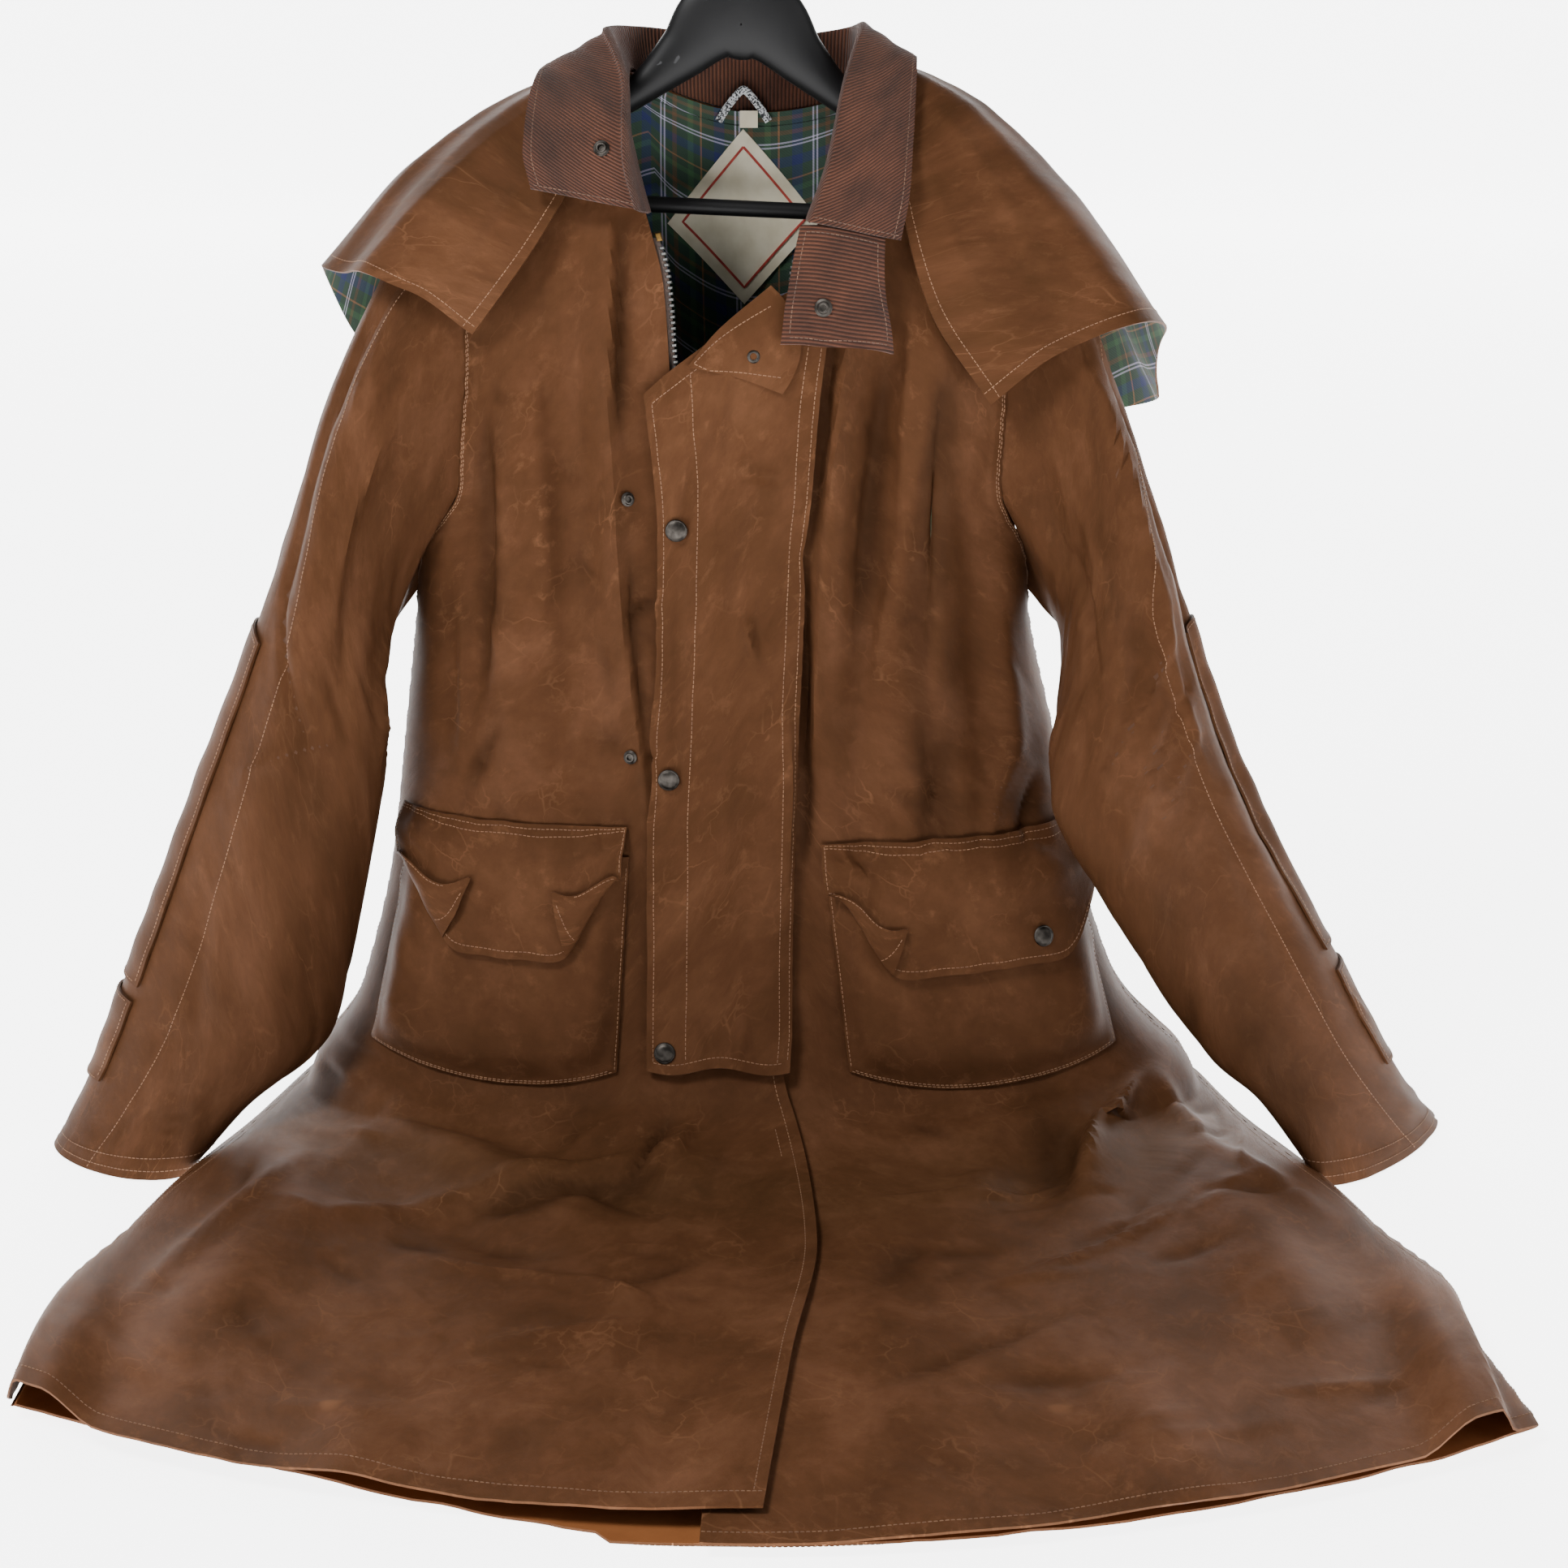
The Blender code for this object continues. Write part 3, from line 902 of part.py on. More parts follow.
def build():
    clear_scene()
    cloth = material("waxed_cotton", (0.19, 0.085, 0.036), 0.55)
    cloth_lay = material("waxed_cotton_trim", (0.17, 0.078, 0.034), 0.55)
    cord = material("corduroy", (0.10, 0.040, 0.024), 0.85)
    plaid = material("plaid_lining", (0.03, 0.05, 0.05), 0.9)
    cream = material("woven_label", (0.75, 0.68, 0.52), 0.8)
    speckled = material("speckled_cord", (0.30, 0.30, 0.32), 0.85)
    tape = material("zip_tape", (0.06, 0.035, 0.022), 0.85)
    dark_metal = material("gunmetal", (0.08, 0.075, 0.07), 0.35, 1.0)
    plastic = material("black_plastic", (0.012, 0.012, 0.013), 0.4)
    wire = material("hook_steel", (0.55, 0.55, 0.56), 0.3, 1.0)

    root = bpy.data.objects.new("duster_coat", None)
    bpy.context.scene.collection.objects.link(root)
    root.location = (-HANGER_MIDDLE, 0, -HOOK_HEIGHT)

    # Panels
    rows = UPPER_ROWS + LOWER_ROWS + SKIRT_ROWS
    front_right = front_grid(-1, rows, RIGHT_HEM_DOWN)
    front_left = front_grid(1, rows, HEM_DOWN)
    back = back_grid(rows)
    for name, panel in (("front_right", front_right), ("front_left", front_left), ("back", back)):
        wall(name, panel["points"], panel["points"] - panel["normal"] * CLOTH, cloth, root)

    # Sleeves
    sleeves = {}
    for side, name in ((-1, "sleeve_right"), (1, "sleeve_left")):
        outer, inner, turn = sleeve_grids(side)
        sleeves[side] = (outer, turn)
        wall(name, outer, inner, cloth, root, tube=True)

    # Cape and collar
    sheet("cape", cape_grid(), CLOTH, cloth_lay, root)
    collar = collar_grid()
    sheet("collar", collar, CORDUROY, cord, root)

    # Pockets and flaps
    for i, (panel, side) in enumerate(((front_right, "right"), (front_left, "left"))):
        pocket = named_row(POCKETS, i)
        x, down, lift = pocket_grid(panel, pocket)
        patch_wall("pocket_" + side, panel, x, down, lift, POCKET_THICK, cloth_lay, root)
        x, down, lift = flap_grid(named_row(FLAPS, i), pocket)
        patch_wall("flap_" + side, panel, x, down, lift, FLAP_THICK, cloth_lay, root)

    # Storm placket, sewn to the left front and lying over the right one
    rows_down = [d for d in rows if 0.27 < d < PLACKET_FOOT] + [PLACKET_FOOT]
    outer_rows, inner_rows = [], []
    for down in [None] + rows_down:
        outer_row, inner_row = [], []
        for share in PLACKET_SHARES:
            top = eased(PLACKET_TOP["share"], PLACKET_TOP["down"], share)
            at = top if down is None else max(down, top + 0.01)
            free = eased(RIGHT_LINES["down"], RIGHT_LINES["placket"], at) + 0.002
            seam = eased(LEFT_LINES["down"], LEFT_LINES["placket"], at)
            x = free + (seam - free) * share
            lift = eased(PLACKET_TOP["share"], PLACKET_TOP["lift"], share)
            on_left = PLACKET_ON_LEFT * (1 - ramp(0.20, 0.32, at)) + 2 * OVERLAP_LIFT * overlap(at)
            lift = lift + PLACKET_ON_RIGHT + (on_left - PLACKET_ON_RIGHT) * past_right(x, at)
            outer_row.append(on_fronts(front_right, front_left, x, at, lift)[0])
            inner_row.append(on_fronts(front_right, front_left, x, at, lift - PLACKET_THICK)[0])
        outer_rows.append(outer_row)
        inner_rows.append(inner_row)
    wall("placket", np.array(outer_rows), np.array(inner_rows), cloth_lay, root)

    # Zip tapes, sewn inside the fronts' edges
    for side, name, panel in ((-1, "zip_tape_right", front_right), (1, "zip_tape_left", front_left)):
        downs = np.array([ZIP_FROM] + [d for d in rows if ZIP_FROM < d < ZIP_TO] + [ZIP_TO])
        edge = eased(FRONT_EDGES["down"], FRONT_EDGES["right" if side < 0 else "left"], downs)
        reaches = (ZIP_TAPE_IN, ZIP_TAPE_EDGE)
        held = [on_grid(panel, edge + side * reach, downs, -CLOTH - TAPE_BEHIND) for reach in reaches]
        lip = held[1][0] + unit(held[1][0] - held[0][0]) * ZIP_TAPE_OUT
        outer = np.stack([held[0][0], held[1][0], lip], axis=1)
        normals = np.stack([held[0][1], held[1][1], held[1][1]], axis=1)
        if side > 0:
            outer, normals = outer[:, ::-1], normals[:, ::-1]
        wall(name, outer, outer - normals * TAPE_THICK, tape, root)

    # Lining of the upper back, with the label, the size tab and the hanging loop on it
    part_of = (slice(1, LINING_ROWS), slice(LINING_FROM, LINING_TO))
    facing = back["normal"][part_of]
    lining = back["points"][part_of] - facing * (CLOTH + SEAM_GAP)
    wall("lining_back", lining, lining - facing * LINING_THICK, plaid, root)
    u, v = np.meshgrid(np.linspace(0, 1, 6), np.linspace(0, 1, 6))
    x = LABEL_MIDDLE[0] + (v - u) * LABEL_HALF[0]
    down = LABEL_MIDDLE[1] + (u + v - 1) * LABEL_HALF[1]
    angle = np.pi - angle_at(x, down)
    label = body(angle, down) - outward(body, angle, down) * LABEL_DEPTH
    facing = grid_normals(label)
    wall("label", label, label - facing * LABEL_THICK, cream, root)
    strap("hang_loop", HANG_LOOP, LOOP_HALF_WIDE, LOOP_HALF_THICK, speckled, root)
    corners = [(x, SIZE_TAB_Y, z) for x, z in SIZE_TAB]
    prism("size_tab", corners, (0, -1, 0), LABEL_THICK, cream, root)

    # Throat tab, hanging out from under the left leaf of the collar
    u, v = np.meshgrid(np.linspace(0, 1, 4), np.linspace(0, 1, 6))
    x = (TAB["top_from"] + (TAB["foot_from"] - TAB["top_from"]) * v) * (1 - u)
    x = x + (TAB["top_to"] + (TAB["foot_to"] - TAB["top_to"]) * v) * u
    down = TAB["top_down"] + (TAB["foot_down"] - TAB["top_down"]) * v
    lift = TAB["lift_top"] + TAB["lift_more"] * v
    outer = on_fronts(front_right, front_left, x, down, lift)[0]
    inner = on_fronts(front_right, front_left, x, down, lift - TAB["thick"])[0]
    wall("collar_tab", outer, inner, cord, root)

    # Elbow patches and cuff tabs
    for i, name in enumerate(PATCH_NAMES):
        row = named_row(SLEEVE_PATCHES, i)
        side = int(row["side"])
        grid, turn = sleeves[side]
        turned = (turn + 180) % 360 - 180
        order = [c for c in np.argsort(turned) if row["turn_from"] <= turned[c] <= row["turn_to"]]
        if side > 0:
            order = order[::-1]
        first, last = row["ring_from"], row["ring_to"]
        stops = [first] + [r for r in range(int(np.ceil(first + 0.01)), int(np.floor(last)) + 1)] + [last]
        facing = grid_normals(grid, tube=True)
        base = np.array([between_rings(grid, r)[order] for r in stops])
        normal = unit(np.array([between_rings(facing, r)[order] for r in stops]))
        outer = base + normal * row["lift"]
        wall(name, outer, outer - normal * PATCH_THICK, cloth_lay, root)

    # Placket's top corner, turned down to show its inner side
    outline = on_fronts(front_right, front_left, TURNED_CORNER["x"], TURNED_CORNER["down"], TURNED_CORNER["lift"])[0]
    middle = np.mean(outline, axis=0)
    turned_plate("placket_corner", outline, middle, CORNER_THICK, cloth_lay, root)

    # Snaps
    for i, name in enumerate(SNAP_NAMES):
        row = named_row(SNAPS, i)
        centre, normal = on_fronts(front_right, front_left, row["x"], row["down"], row["lift"])
        rings = SNAP_CAP if row["cap"] else SNAP_SOCKET
        button(name, centre, normal, row["radius"], row["height"], rings, dark_metal, root)

    leaf = collar[4:]
    cells = (leaf[:-1, :-1] + leaf[:-1, 1:] + leaf[1:, :-1] + leaf[1:, 1:]) / 4
    away = np.hypot(cells[..., 0] - COLLAR_SNAP_NEAR[0], cells[..., 2] - COLLAR_SNAP_NEAR[1])
    r, c = np.unravel_index(np.argmin(away), away.shape)
    normal = unit(np.cross(leaf[r + 1, c] - leaf[r, c + 1], leaf[r + 1, c + 1] - leaf[r, c]))
    foot = cells[r, c] + normal * COLLAR_SNAP["lift"]
    button("snap_collar", foot, normal, COLLAR_SNAP["radius"], COLLAR_SNAP["height"], SNAP_SOCKET, dark_metal, root)

    # Hanger: a broad body, a trouser bar joined to it, and a wire hook
    high, deep = HANGER["high"], HANGER["deep"]
    rise = np.array([
        arm_centre(x, h, d) if x > HANGER_ARM_FROM else top - h
        for x, top, h, d in zip(HANGER["x"], HANGER["top"], high, deep)
    ])
    reach = np.concatenate([-HANGER["x"][:0:-1], HANGER["x"]])
    rise, high, deep = (np.concatenate([v[:0:-1], v]) for v in (rise, high, deep))
    path = [tilted(x, z) for x, z in zip(reach, rise)]
    base = swept("hanger_body", path, high, deep, (0, 1, 0), 12, plastic, root)
    half = HANGER_BAR["x"]
    bar_x = np.concatenate([-half[::-1], half])
    bar_z = np.concatenate([HANGER_BAR["z"][::-1], HANGER_BAR["z"]])
    bar = [tilted(x, z) for x, z in zip(bar_x, bar_z)]
    fuse(base, swept("hanger_bar_cutter", bar, HANGER_BAR_RADIUS, HANGER_BAR_RADIUS, (0, 1, 0), 10, plastic, root))
    turn = np.linspace(HOOK_FROM, HOOK_TO, 15)
    centre_z = HOOK_HEIGHT + HOOK_WIRE - HOOK_RADIUS
    hook = [(HANGER_MIDDLE, 0, HOOK_FOOT), (HANGER_MIDDLE, 0, HOOK_FOOT + HOOK_STEM)]
    hook.append((HANGER_MIDDLE + HOOK_NECK_X, 0, HOOK_NECK_Z))
    hook += [(HANGER_MIDDLE + HOOK_RADIUS * math.cos(a), 0, centre_z + HOOK_RADIUS * math.sin(a)) for a in turn]
    swept("hanger_hook", hook, HOOK_WIRE, HOOK_WIRE, (0, 1, 0), 10, wire, root)


build()
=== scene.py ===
"""A long waxed-cotton duster coat with a shoulder cape, on its hanger, dressed for the render.

Metres, +Z up, the world origin at the top of the hanger's hook. The tables give heights above the floor that
the skirt lies on, so SHIFT takes their points to the world. "Right" and "left" are the wearer's.
"""

import math

import bpy
import mathutils
import numpy as np
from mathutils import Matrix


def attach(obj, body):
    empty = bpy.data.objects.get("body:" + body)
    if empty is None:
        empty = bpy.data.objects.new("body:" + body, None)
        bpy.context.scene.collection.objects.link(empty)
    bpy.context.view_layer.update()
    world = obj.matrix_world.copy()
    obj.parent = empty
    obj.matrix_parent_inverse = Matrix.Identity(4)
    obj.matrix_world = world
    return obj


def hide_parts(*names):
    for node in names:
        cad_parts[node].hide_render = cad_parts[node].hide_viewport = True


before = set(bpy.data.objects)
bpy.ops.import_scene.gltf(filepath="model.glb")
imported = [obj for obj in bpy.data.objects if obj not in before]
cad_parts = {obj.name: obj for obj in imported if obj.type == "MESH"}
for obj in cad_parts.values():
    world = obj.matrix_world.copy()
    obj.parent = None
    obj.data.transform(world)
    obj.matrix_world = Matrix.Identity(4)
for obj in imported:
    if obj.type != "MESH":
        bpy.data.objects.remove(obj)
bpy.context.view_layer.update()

# Driving dimensions
HOOK_HEIGHT = 0.985
CLOTH = 0.0020
CORDUROY = 0.0030
SEAM_GAP = 0.0005
UNDERARM_DOWN = 0.400
BACK_NECK_DROP = 0.048
BACK_NECK_HALF = 0.098
SHIFT = np.array([0.012, 0.0, -0.985])
CELL = 0.0050
BACK_CELL = 0.0060
LINED_TO = 0.46
LAST_ROW_GAP = 0.002
SLEEVE_ROWS = 150
CAPE_FINE = (60, 170)
COLLAR_FINE = (48, 210)
WALE = 0.0030
PLAID_PITCH = 0.062
TOOTH_PITCH = 0.0040
TOOTH_SIZE, STOP_SIZE = (0.0040, 0.0021, 0.0026), (0.0044, 0.0060, 0.0030)
STITCH_PITCH, STITCH_LONG, STITCH_WIDE, STITCH_HIGH = 0.0036, 0.0026, 0.00034, 0.00030
STITCH_RAISED = 0.0001
CREASE_DEPTH, SLEEVE_FOLD_DEPTH, SLEEVE_CREASE_DEPTH = 2.1, 1.0, 1.7
HEM_BLEND, HEM_ROLL, HEM_STITCH_UP, LAP_STITCH_FROM = 0.15, 0.022, 0.012, 0.745
CAMERA_PLACE, CAMERA_DOWN, CAMERA_LENS = (0.032, -2.10, -0.005), 18.7, 61.5
LIGHT_TOWARD = (0.0, -0.1, -0.5)
FLOOR_HALF, FLOOR_FRONT, FLOOR_BACK, FLOOR_BEND, WALL_TOP = 9.0, -8.0, 6.0, 2.0, 7.0


def table(columns, *rows):
    """Named columns of numbers, from one row for each section; each row starts with its own name."""
    values = np.array([row[1:] for row in rows], float)
    made = {column: values[:, i] for i, column in enumerate(columns.split())}
    return {"name": [row[0] for row in rows], **made}


def eased(stations, values, at):
    """Smooth interpolation through the stations that never overshoots a value."""
    at = np.clip(np.asarray(at, float), stations[0], stations[-1])
    step = np.diff(stations)
    slope = np.diff(values) / step
    tangent = np.zeros(len(stations))
    same = slope[:-1] * slope[1:] > 0
    mean = 2 * slope[:-1] * slope[1:] / np.where(same, slope[:-1] + slope[1:], 1.0)
    tangent[1:-1] = np.where(same, mean, 0.0)
    tangent[0], tangent[-1] = slope[0], slope[-1]
    i = np.clip(np.searchsorted(stations, at, side="right") - 1, 0, len(step) - 1)
    t = (at - stations[i]) / step[i]
    rise = t * t * (3 - 2 * t)
    return (
        values[i] + (values[i + 1] - values[i]) * rise
        + step[i] * (tangent[i] * t * (1 - t) ** 2 - tangent[i + 1] * t * t * (1 - t))
    )


def ramp(low, high, at):
    """0 below low, 1 above high, smooth between them."""
    t = np.clip((np.asarray(at, float) - low) / (high - low), 0, 1)
    return t * t * (3 - 2 * t)


def unit(vectors):
    return vectors / np.maximum(np.linalg.norm(vectors, axis=-1, keepdims=True), 1e-12)


# The body is a run of rings down the coat. Each ring joins a front and a back centre point.
# down: distance below the shoulder line. half_*: half widths. side: where the side seam lies
# between back (0) and front (1). square: how boxy the ring is. sag_*: how far the ring's sides
# run on ahead of its middle. arm: the ring angle at which the armhole cuts the ring, in degrees.
BODY = table(
    "down y_front z_front y_back z_back half_right half_left side square sag_right sag_left arm",
    ("shoulder", 0.000, -0.0015, 0.857, 0.0015, 0.857, 0.243, 0.220, 0.50, 2.4, 0.102, 0.130, 90),
    ("neck", 0.030, -0.040, 0.826, 0.038, 0.826, 0.245, 0.222, 0.50, 2.4, 0.094, 0.118, 74),
    ("yoke", 0.100, -0.082, 0.752, 0.062, 0.752, 0.246, 0.220, 0.50, 2.4, 0.066, 0.078, 66),
    ("chest", 0.200, -0.105, 0.645, 0.078, 0.645, 0.250, 0.214, 0.50, 2.4, 0.030, 0.034, 63),
    ("blade", 0.300, -0.114, 0.545, 0.086, 0.545, 0.258, 0.208, 0.50, 2.4, 0.010, 0.010, 64),
    ("underarm", 0.400, -0.120, 0.440, 0.090, 0.440, 0.272, 0.214, 0.50, 2.4, 0.0, 0.0, 90),
    ("waist", 0.520, -0.128, 0.318, 0.092, 0.318, 0.288, 0.240, 0.50, 2.5, 0.0, 0.0, 90),
    ("hip", 0.620, -0.140, 0.215, 0.090, 0.215, 0.302, 0.262, 0.50, 2.6, 0.0, 0.0, 90),
    ("thigh", 0.710, -0.158, 0.125, 0.084, 0.120, 0.326, 0.292, 0.50, 2.8, 0.0, 0.0, 90),
    ("turn", 0.780, -0.186, 0.066, 0.064, 0.045, 0.350, 0.335, 0.48, 3.0, -0.03, -0.02, 90),
    ("landing", 0.850, -0.245, 0.044, 0.000, 0.004, 0.378, 0.366, 0.45, 3.6, -0.08, -0.07, 90),
    ("calf", 0.950, -0.340, 0.041, -0.120, 0.000, 0.408, 0.392, 0.45, 4.5, -0.11, -0.11, 90),
    ("shin", 1.080, -0.465, 0.037, -0.290, 0.000, 0.462, 0.450, 0.45, 5.0, -0.11, -0.12, 90),
    ("ankle", 1.200, -0.585, 0.028, -0.470, 0.000, 0.490, 0.490, 0.45, 5.0, -0.11, -0.12, 90),
    ("hem", 1.310, -0.694, 0.016, -0.680, 0.000, 0.498, 0.518, 0.50, 5.0, -0.12, -0.125, 90),
)
HEM_DOWN = 1.310
RIGHT_HEM_DOWN = 1.284
BACK_RIGHT_HEM_DOWN = 1.290
RUN_STEP = 0.01
SHOULDER_HALF_GAP = 0.0016

# Where each front ends at the middle. The zip joins them from the chest to the thigh.
FRONT_EDGES = table(
    "down right left",
    ("shoulder", 0.000, -0.098, 0.086),
    ("neck_side", 0.040, -0.100, 0.086),
    ("neck_front", 0.110, -0.080, 0.046),
    ("zip_top", 0.150, -0.070, 0.030),
    ("open_chest", 0.250, -0.062, 0.030),
    ("zip_meets", 0.420, 0.004, 0.016),
    ("waist", 0.560, 0.008, 0.020),
    ("zip_end", 0.685, 0.008, 0.018),
    ("lap_starts", 0.745, 0.018, -0.010),
    ("lap", 0.850, 0.037, -0.014),
    ("calf", 0.980, 0.044, -0.022),
    ("shin", 1.120, 0.026, -0.026),
    ("hem", 1.310, 0.004, -0.032),
)

# Largest folds of the body: each runs from one point to another, as x and distance down.
# height is out from the cloth, or in where it is negative. face is 1 for the front, -1 for the back.
FOLDS = table(
    "face x_from down_from x_to down_to height width",
    ("right_front_pleat", 1, -0.118, 0.10, -0.100, 0.46, 0.012, 0.016),
    ("right_front_valley", 1, -0.150, 0.18, -0.140, 0.55, -0.010, 0.022),
    ("right_side_ridge", 1, -0.190, 0.22, -0.195, 0.52, 0.010, 0.022),
    ("right_armhole_valley", 1, -0.222, 0.30, -0.240, 0.50, -0.010, 0.018),
    ("left_front_ridge", 1, 0.070, 0.16, 0.052, 0.50, 0.009, 0.016),
    ("left_front_valley", 1, 0.098, 0.16, 0.082, 0.60, -0.016, 0.020),
    ("left_side_ridge", 1, 0.135, 0.16, 0.130, 0.52, 0.012, 0.018),
    ("left_side_valley", 1, 0.168, 0.30, 0.180, 0.56, -0.010, 0.018),
    ("between_pockets_left", 1, 0.034, 0.50, 0.030, 0.74, -0.008, 0.016),
    ("right_skirt_break", 1, -0.300, 0.84, -0.120, 0.93, 0.014, 0.030),
    ("right_skirt_dip", 1, -0.330, 0.93, -0.150, 1.01, -0.011, 0.030),
    ("middle_skirt_break", 1, -0.085, 0.82, -0.030, 0.90, 0.010, 0.026),
    ("middle_skirt_dip", 1, -0.120, 0.90, -0.060, 0.92, -0.012, 0.022),
    ("left_skirt_break", 1, 0.100, 0.83, 0.260, 0.82, 0.010, 0.026),
    ("left_skirt_fold", 1, 0.275, 0.83, 0.245, 0.95, 0.016, 0.026),
    ("left_skirt_dip", 1, 0.215, 0.86, 0.200, 0.95, -0.012, 0.026),
    ("left_long_fold", 1, 0.320, 0.86, 0.390, 1.18, 0.010, 0.030),
    ("right_long_fold", 1, -0.340, 0.96, -0.400, 1.20, 0.010, 0.034),
    ("hem_wave_right", 1, -0.250, 1.20, -0.260, 1.31, 0.008, 0.040),
    ("hem_wave_left", 1, 0.240, 1.18, 0.270, 1.31, 0.008, 0.045),
    ("back_fold_1", -1, -0.160, 0.20, -0.175, 0.74, 0.012, 0.022),
    ("back_fold_2", -1, -0.090, 0.30, -0.085, 0.76, -0.010, 0.024),
    ("back_fold_3", -1, -0.020, 0.28, -0.010, 0.74, 0.012, 0.024),
    ("back_fold_4", -1, 0.060, 0.30, 0.075, 0.76, -0.010, 0.024),
    ("back_fold_5", -1, 0.130, 0.22, 0.160, 0.74, 0.012, 0.022),
)


def fold_height(folds, face, x, down):
    """Sum of the soft ridges and troughs at a point, each tapering to nothing at its two ends."""
    total = np.zeros(np.broadcast(x, down).shape)
    for i in range(len(folds["height"])):
        start = (folds["x_from"][i], folds["down_from"][i])
        run = (folds["x_to"][i] - start[0], folds["down_to"][i] - start[1])
        along = ((x - start[0]) * run[0] + (down - start[1]) * run[1]) / (run[0] ** 2 + run[1] ** 2)
        held = np.clip(along, 0, 1)
        away = np.hypot(x - start[0] - held * run[0], down - start[1] - held * run[1])
        taper = 0.25 + 0.75 * np.sin(np.pi * held) ** 0.5
        bump = folds["height"][i] * taper * np.exp(-((away / folds["width"][i]) ** 2))
        total = total + np.where(folds["face"][i] * face > 0, bump, 0.0)
    return total


def ring_point(angle, down):
    """A point of the plain body. angle 0 is the middle of the front, 90 degrees the left side."""
    c = {name: eased(BODY["down"], BODY[name], down) for name in BODY if name not in ("name", "down", "arm")}
    across = np.sin(angle)
    bow = (1 - np.abs(across) ** c["square"]).clip(0) ** (1 / c["square"])
    depth = np.where(np.cos(angle) >= 0, c["side"] + (1 - c["side"]) * bow, c["side"] * (1 - bow))
    half = np.where(across < 0, c["half_right"], c["half_left"])
    sag = np.where(across < 0, c["sag_right"], c["sag_left"]) * across**2
    ahead, behind = np.minimum(down + RUN_STEP, HEM_DOWN), np.minimum(down, HEM_DOWN - RUN_STEP)
    centre_y, centre_z = BODY["y_front"] + BODY["y_back"], BODY["z_front"] + BODY["z_back"]
    y_run = eased(BODY["down"], centre_y, ahead) - eased(BODY["down"], centre_y, behind)
    z_run = eased(BODY["down"], centre_z, ahead) - eased(BODY["down"], centre_z, behind)
    length = np.maximum(np.hypot(y_run, z_run), 1e-6)
    y = c["y_back"] + (c["y_front"] - c["y_back"]) * depth + sag * y_run / length
    z = c["z_back"] + (c["z_front"] - c["z_back"]) * depth + sag * z_run / length
    return np.stack(np.broadcast_arrays(half * across, y, z), axis=-1)


def outward(surface, angle, down, step=0.004):
    """The unit normal of a surface, pointing out of the coat."""
    low, high = np.maximum(down - step, 0.0), np.minimum(down + step, HEM_DOWN)
    around = surface(angle + step, down) - surface(angle - step, down)
    along = surface(angle, high) - surface(angle, low)
    return unit(np.cross(along, around))


def body(angle, down):
    """A point of the body with its large folds, which die out at the side seams and the hem's floor side."""
    plain = ring_point(angle, down)
    face = np.sign(np.cos(angle))
    strength = ramp(0.05, 0.45, np.abs(np.cos(angle))) * ramp(0.0, 0.08, down)
    height = fold_height(FOLDS, face, plain[..., 0], down) * strength
    return plain + outward(ring_point, angle, down) * height[..., None]


def half_width(x, down):
    right = eased(BODY["down"], BODY["half_right"], down)
    left = eased(BODY["down"], BODY["half_left"], down)
    return np.where(np.asarray(x) < 0, right, left)


def angle_at(x, down):
    """The ring angle of a point of the front at that x."""
    return np.arcsin(np.clip(x / half_width(x, down), -0.9995, 0.9995))


def grid_normals(points, tube=False):
    """Unit vertex normals of a grid whose rows run down and whose columns run to the right from outside."""
    a, d = points[:-1], points[1:]
    if tube:
        b, e = np.roll(a, -1, axis=1), np.roll(d, -1, axis=1)
    else:
        a, b, d, e = a[:, :-1], a[:, 1:], d[:, :-1], d[:, 1:]
    total = np.zeros(points.shape)
    last = slice(None) if tube else slice(None, -1)

    def add(facing, low, across):
        rows = slice(1, None) if low else slice(None, -1)
        if not across:
            total[rows, last] += facing
        elif tube:
            total[rows] += np.roll(facing, 1, axis=1)
        else:
            total[rows, 1:] += facing

    for corners in ((("a", a), ("d", d), ("e", e)), (("a", a), ("e", e), ("b", b))):
        for i in range(3):
            name, here = corners[i]
            to_next, to_last = corners[(i + 1) % 3][1] - here, corners[(i + 2) % 3][1] - here
            facing = unit(np.cross(to_next, to_last))
            cosine = (unit(to_next) * unit(to_last)).sum(axis=-1, keepdims=True)
            open_angle = np.arccos(np.clip(cosine, -1, 1))
            add(facing * open_angle, name in "de", name in "be")
    return unit(total)


# Front and back panels

UPPER_ROWS = list(np.linspace(0.0, UNDERARM_DOWN, 41))

# x of the lines on which the placket and the pockets are sewn, down the fronts.
RIGHT_LINES = table(
    "down outer inner placket",
    ("shoulder", 0.000, -0.200, -0.150, -0.122),
    ("neck", 0.110, -0.182, -0.133, -0.104),
    ("chest", 0.235, -0.184, -0.122, -0.086),
    ("blade", 0.330, -0.196, -0.118, -0.078),
    ("underarm", 0.420, -0.226, -0.112, -0.080),
    ("waist", 0.565, -0.280, -0.104, -0.088),
    ("pocket_bottom", 0.785, -0.316, -0.113, -0.090),
    ("calf", 0.950, -0.330, -0.150, -0.070),
    ("hem", 1.310, -0.360, -0.200, -0.090),
)
LEFT_LINES = table(
    "down placket inner outer",
    ("shoulder", 0.000, 0.104, 0.132, 0.180),
    ("neck", 0.110, 0.072, 0.102, 0.150),
    ("chest", 0.235, 0.044, 0.074, 0.140),
    ("blade", 0.330, 0.036, 0.060, 0.140),
    ("underarm", 0.420, 0.030, 0.052, 0.168),
    ("waist", 0.565, 0.026, 0.050, 0.236),
    ("pocket_bottom", 0.785, 0.024, 0.068, 0.290),
    ("calf", 0.950, 0.050, 0.120, 0.310),
    ("hem", 1.310, 0.060, 0.170, 0.370),
)
# How many cloth cells lie between one line and the next, from the side seam to the middle.
SIDE_CELLS, POCKET_CELLS, STRIP_CELLS, PLACKET_CELLS, BACK_CELLS = 24, 34, 9, 26, 120
OVERLAP_LIFT, LAP_FROM, LAP_FULL = 0.0036, 0.682, 0.722


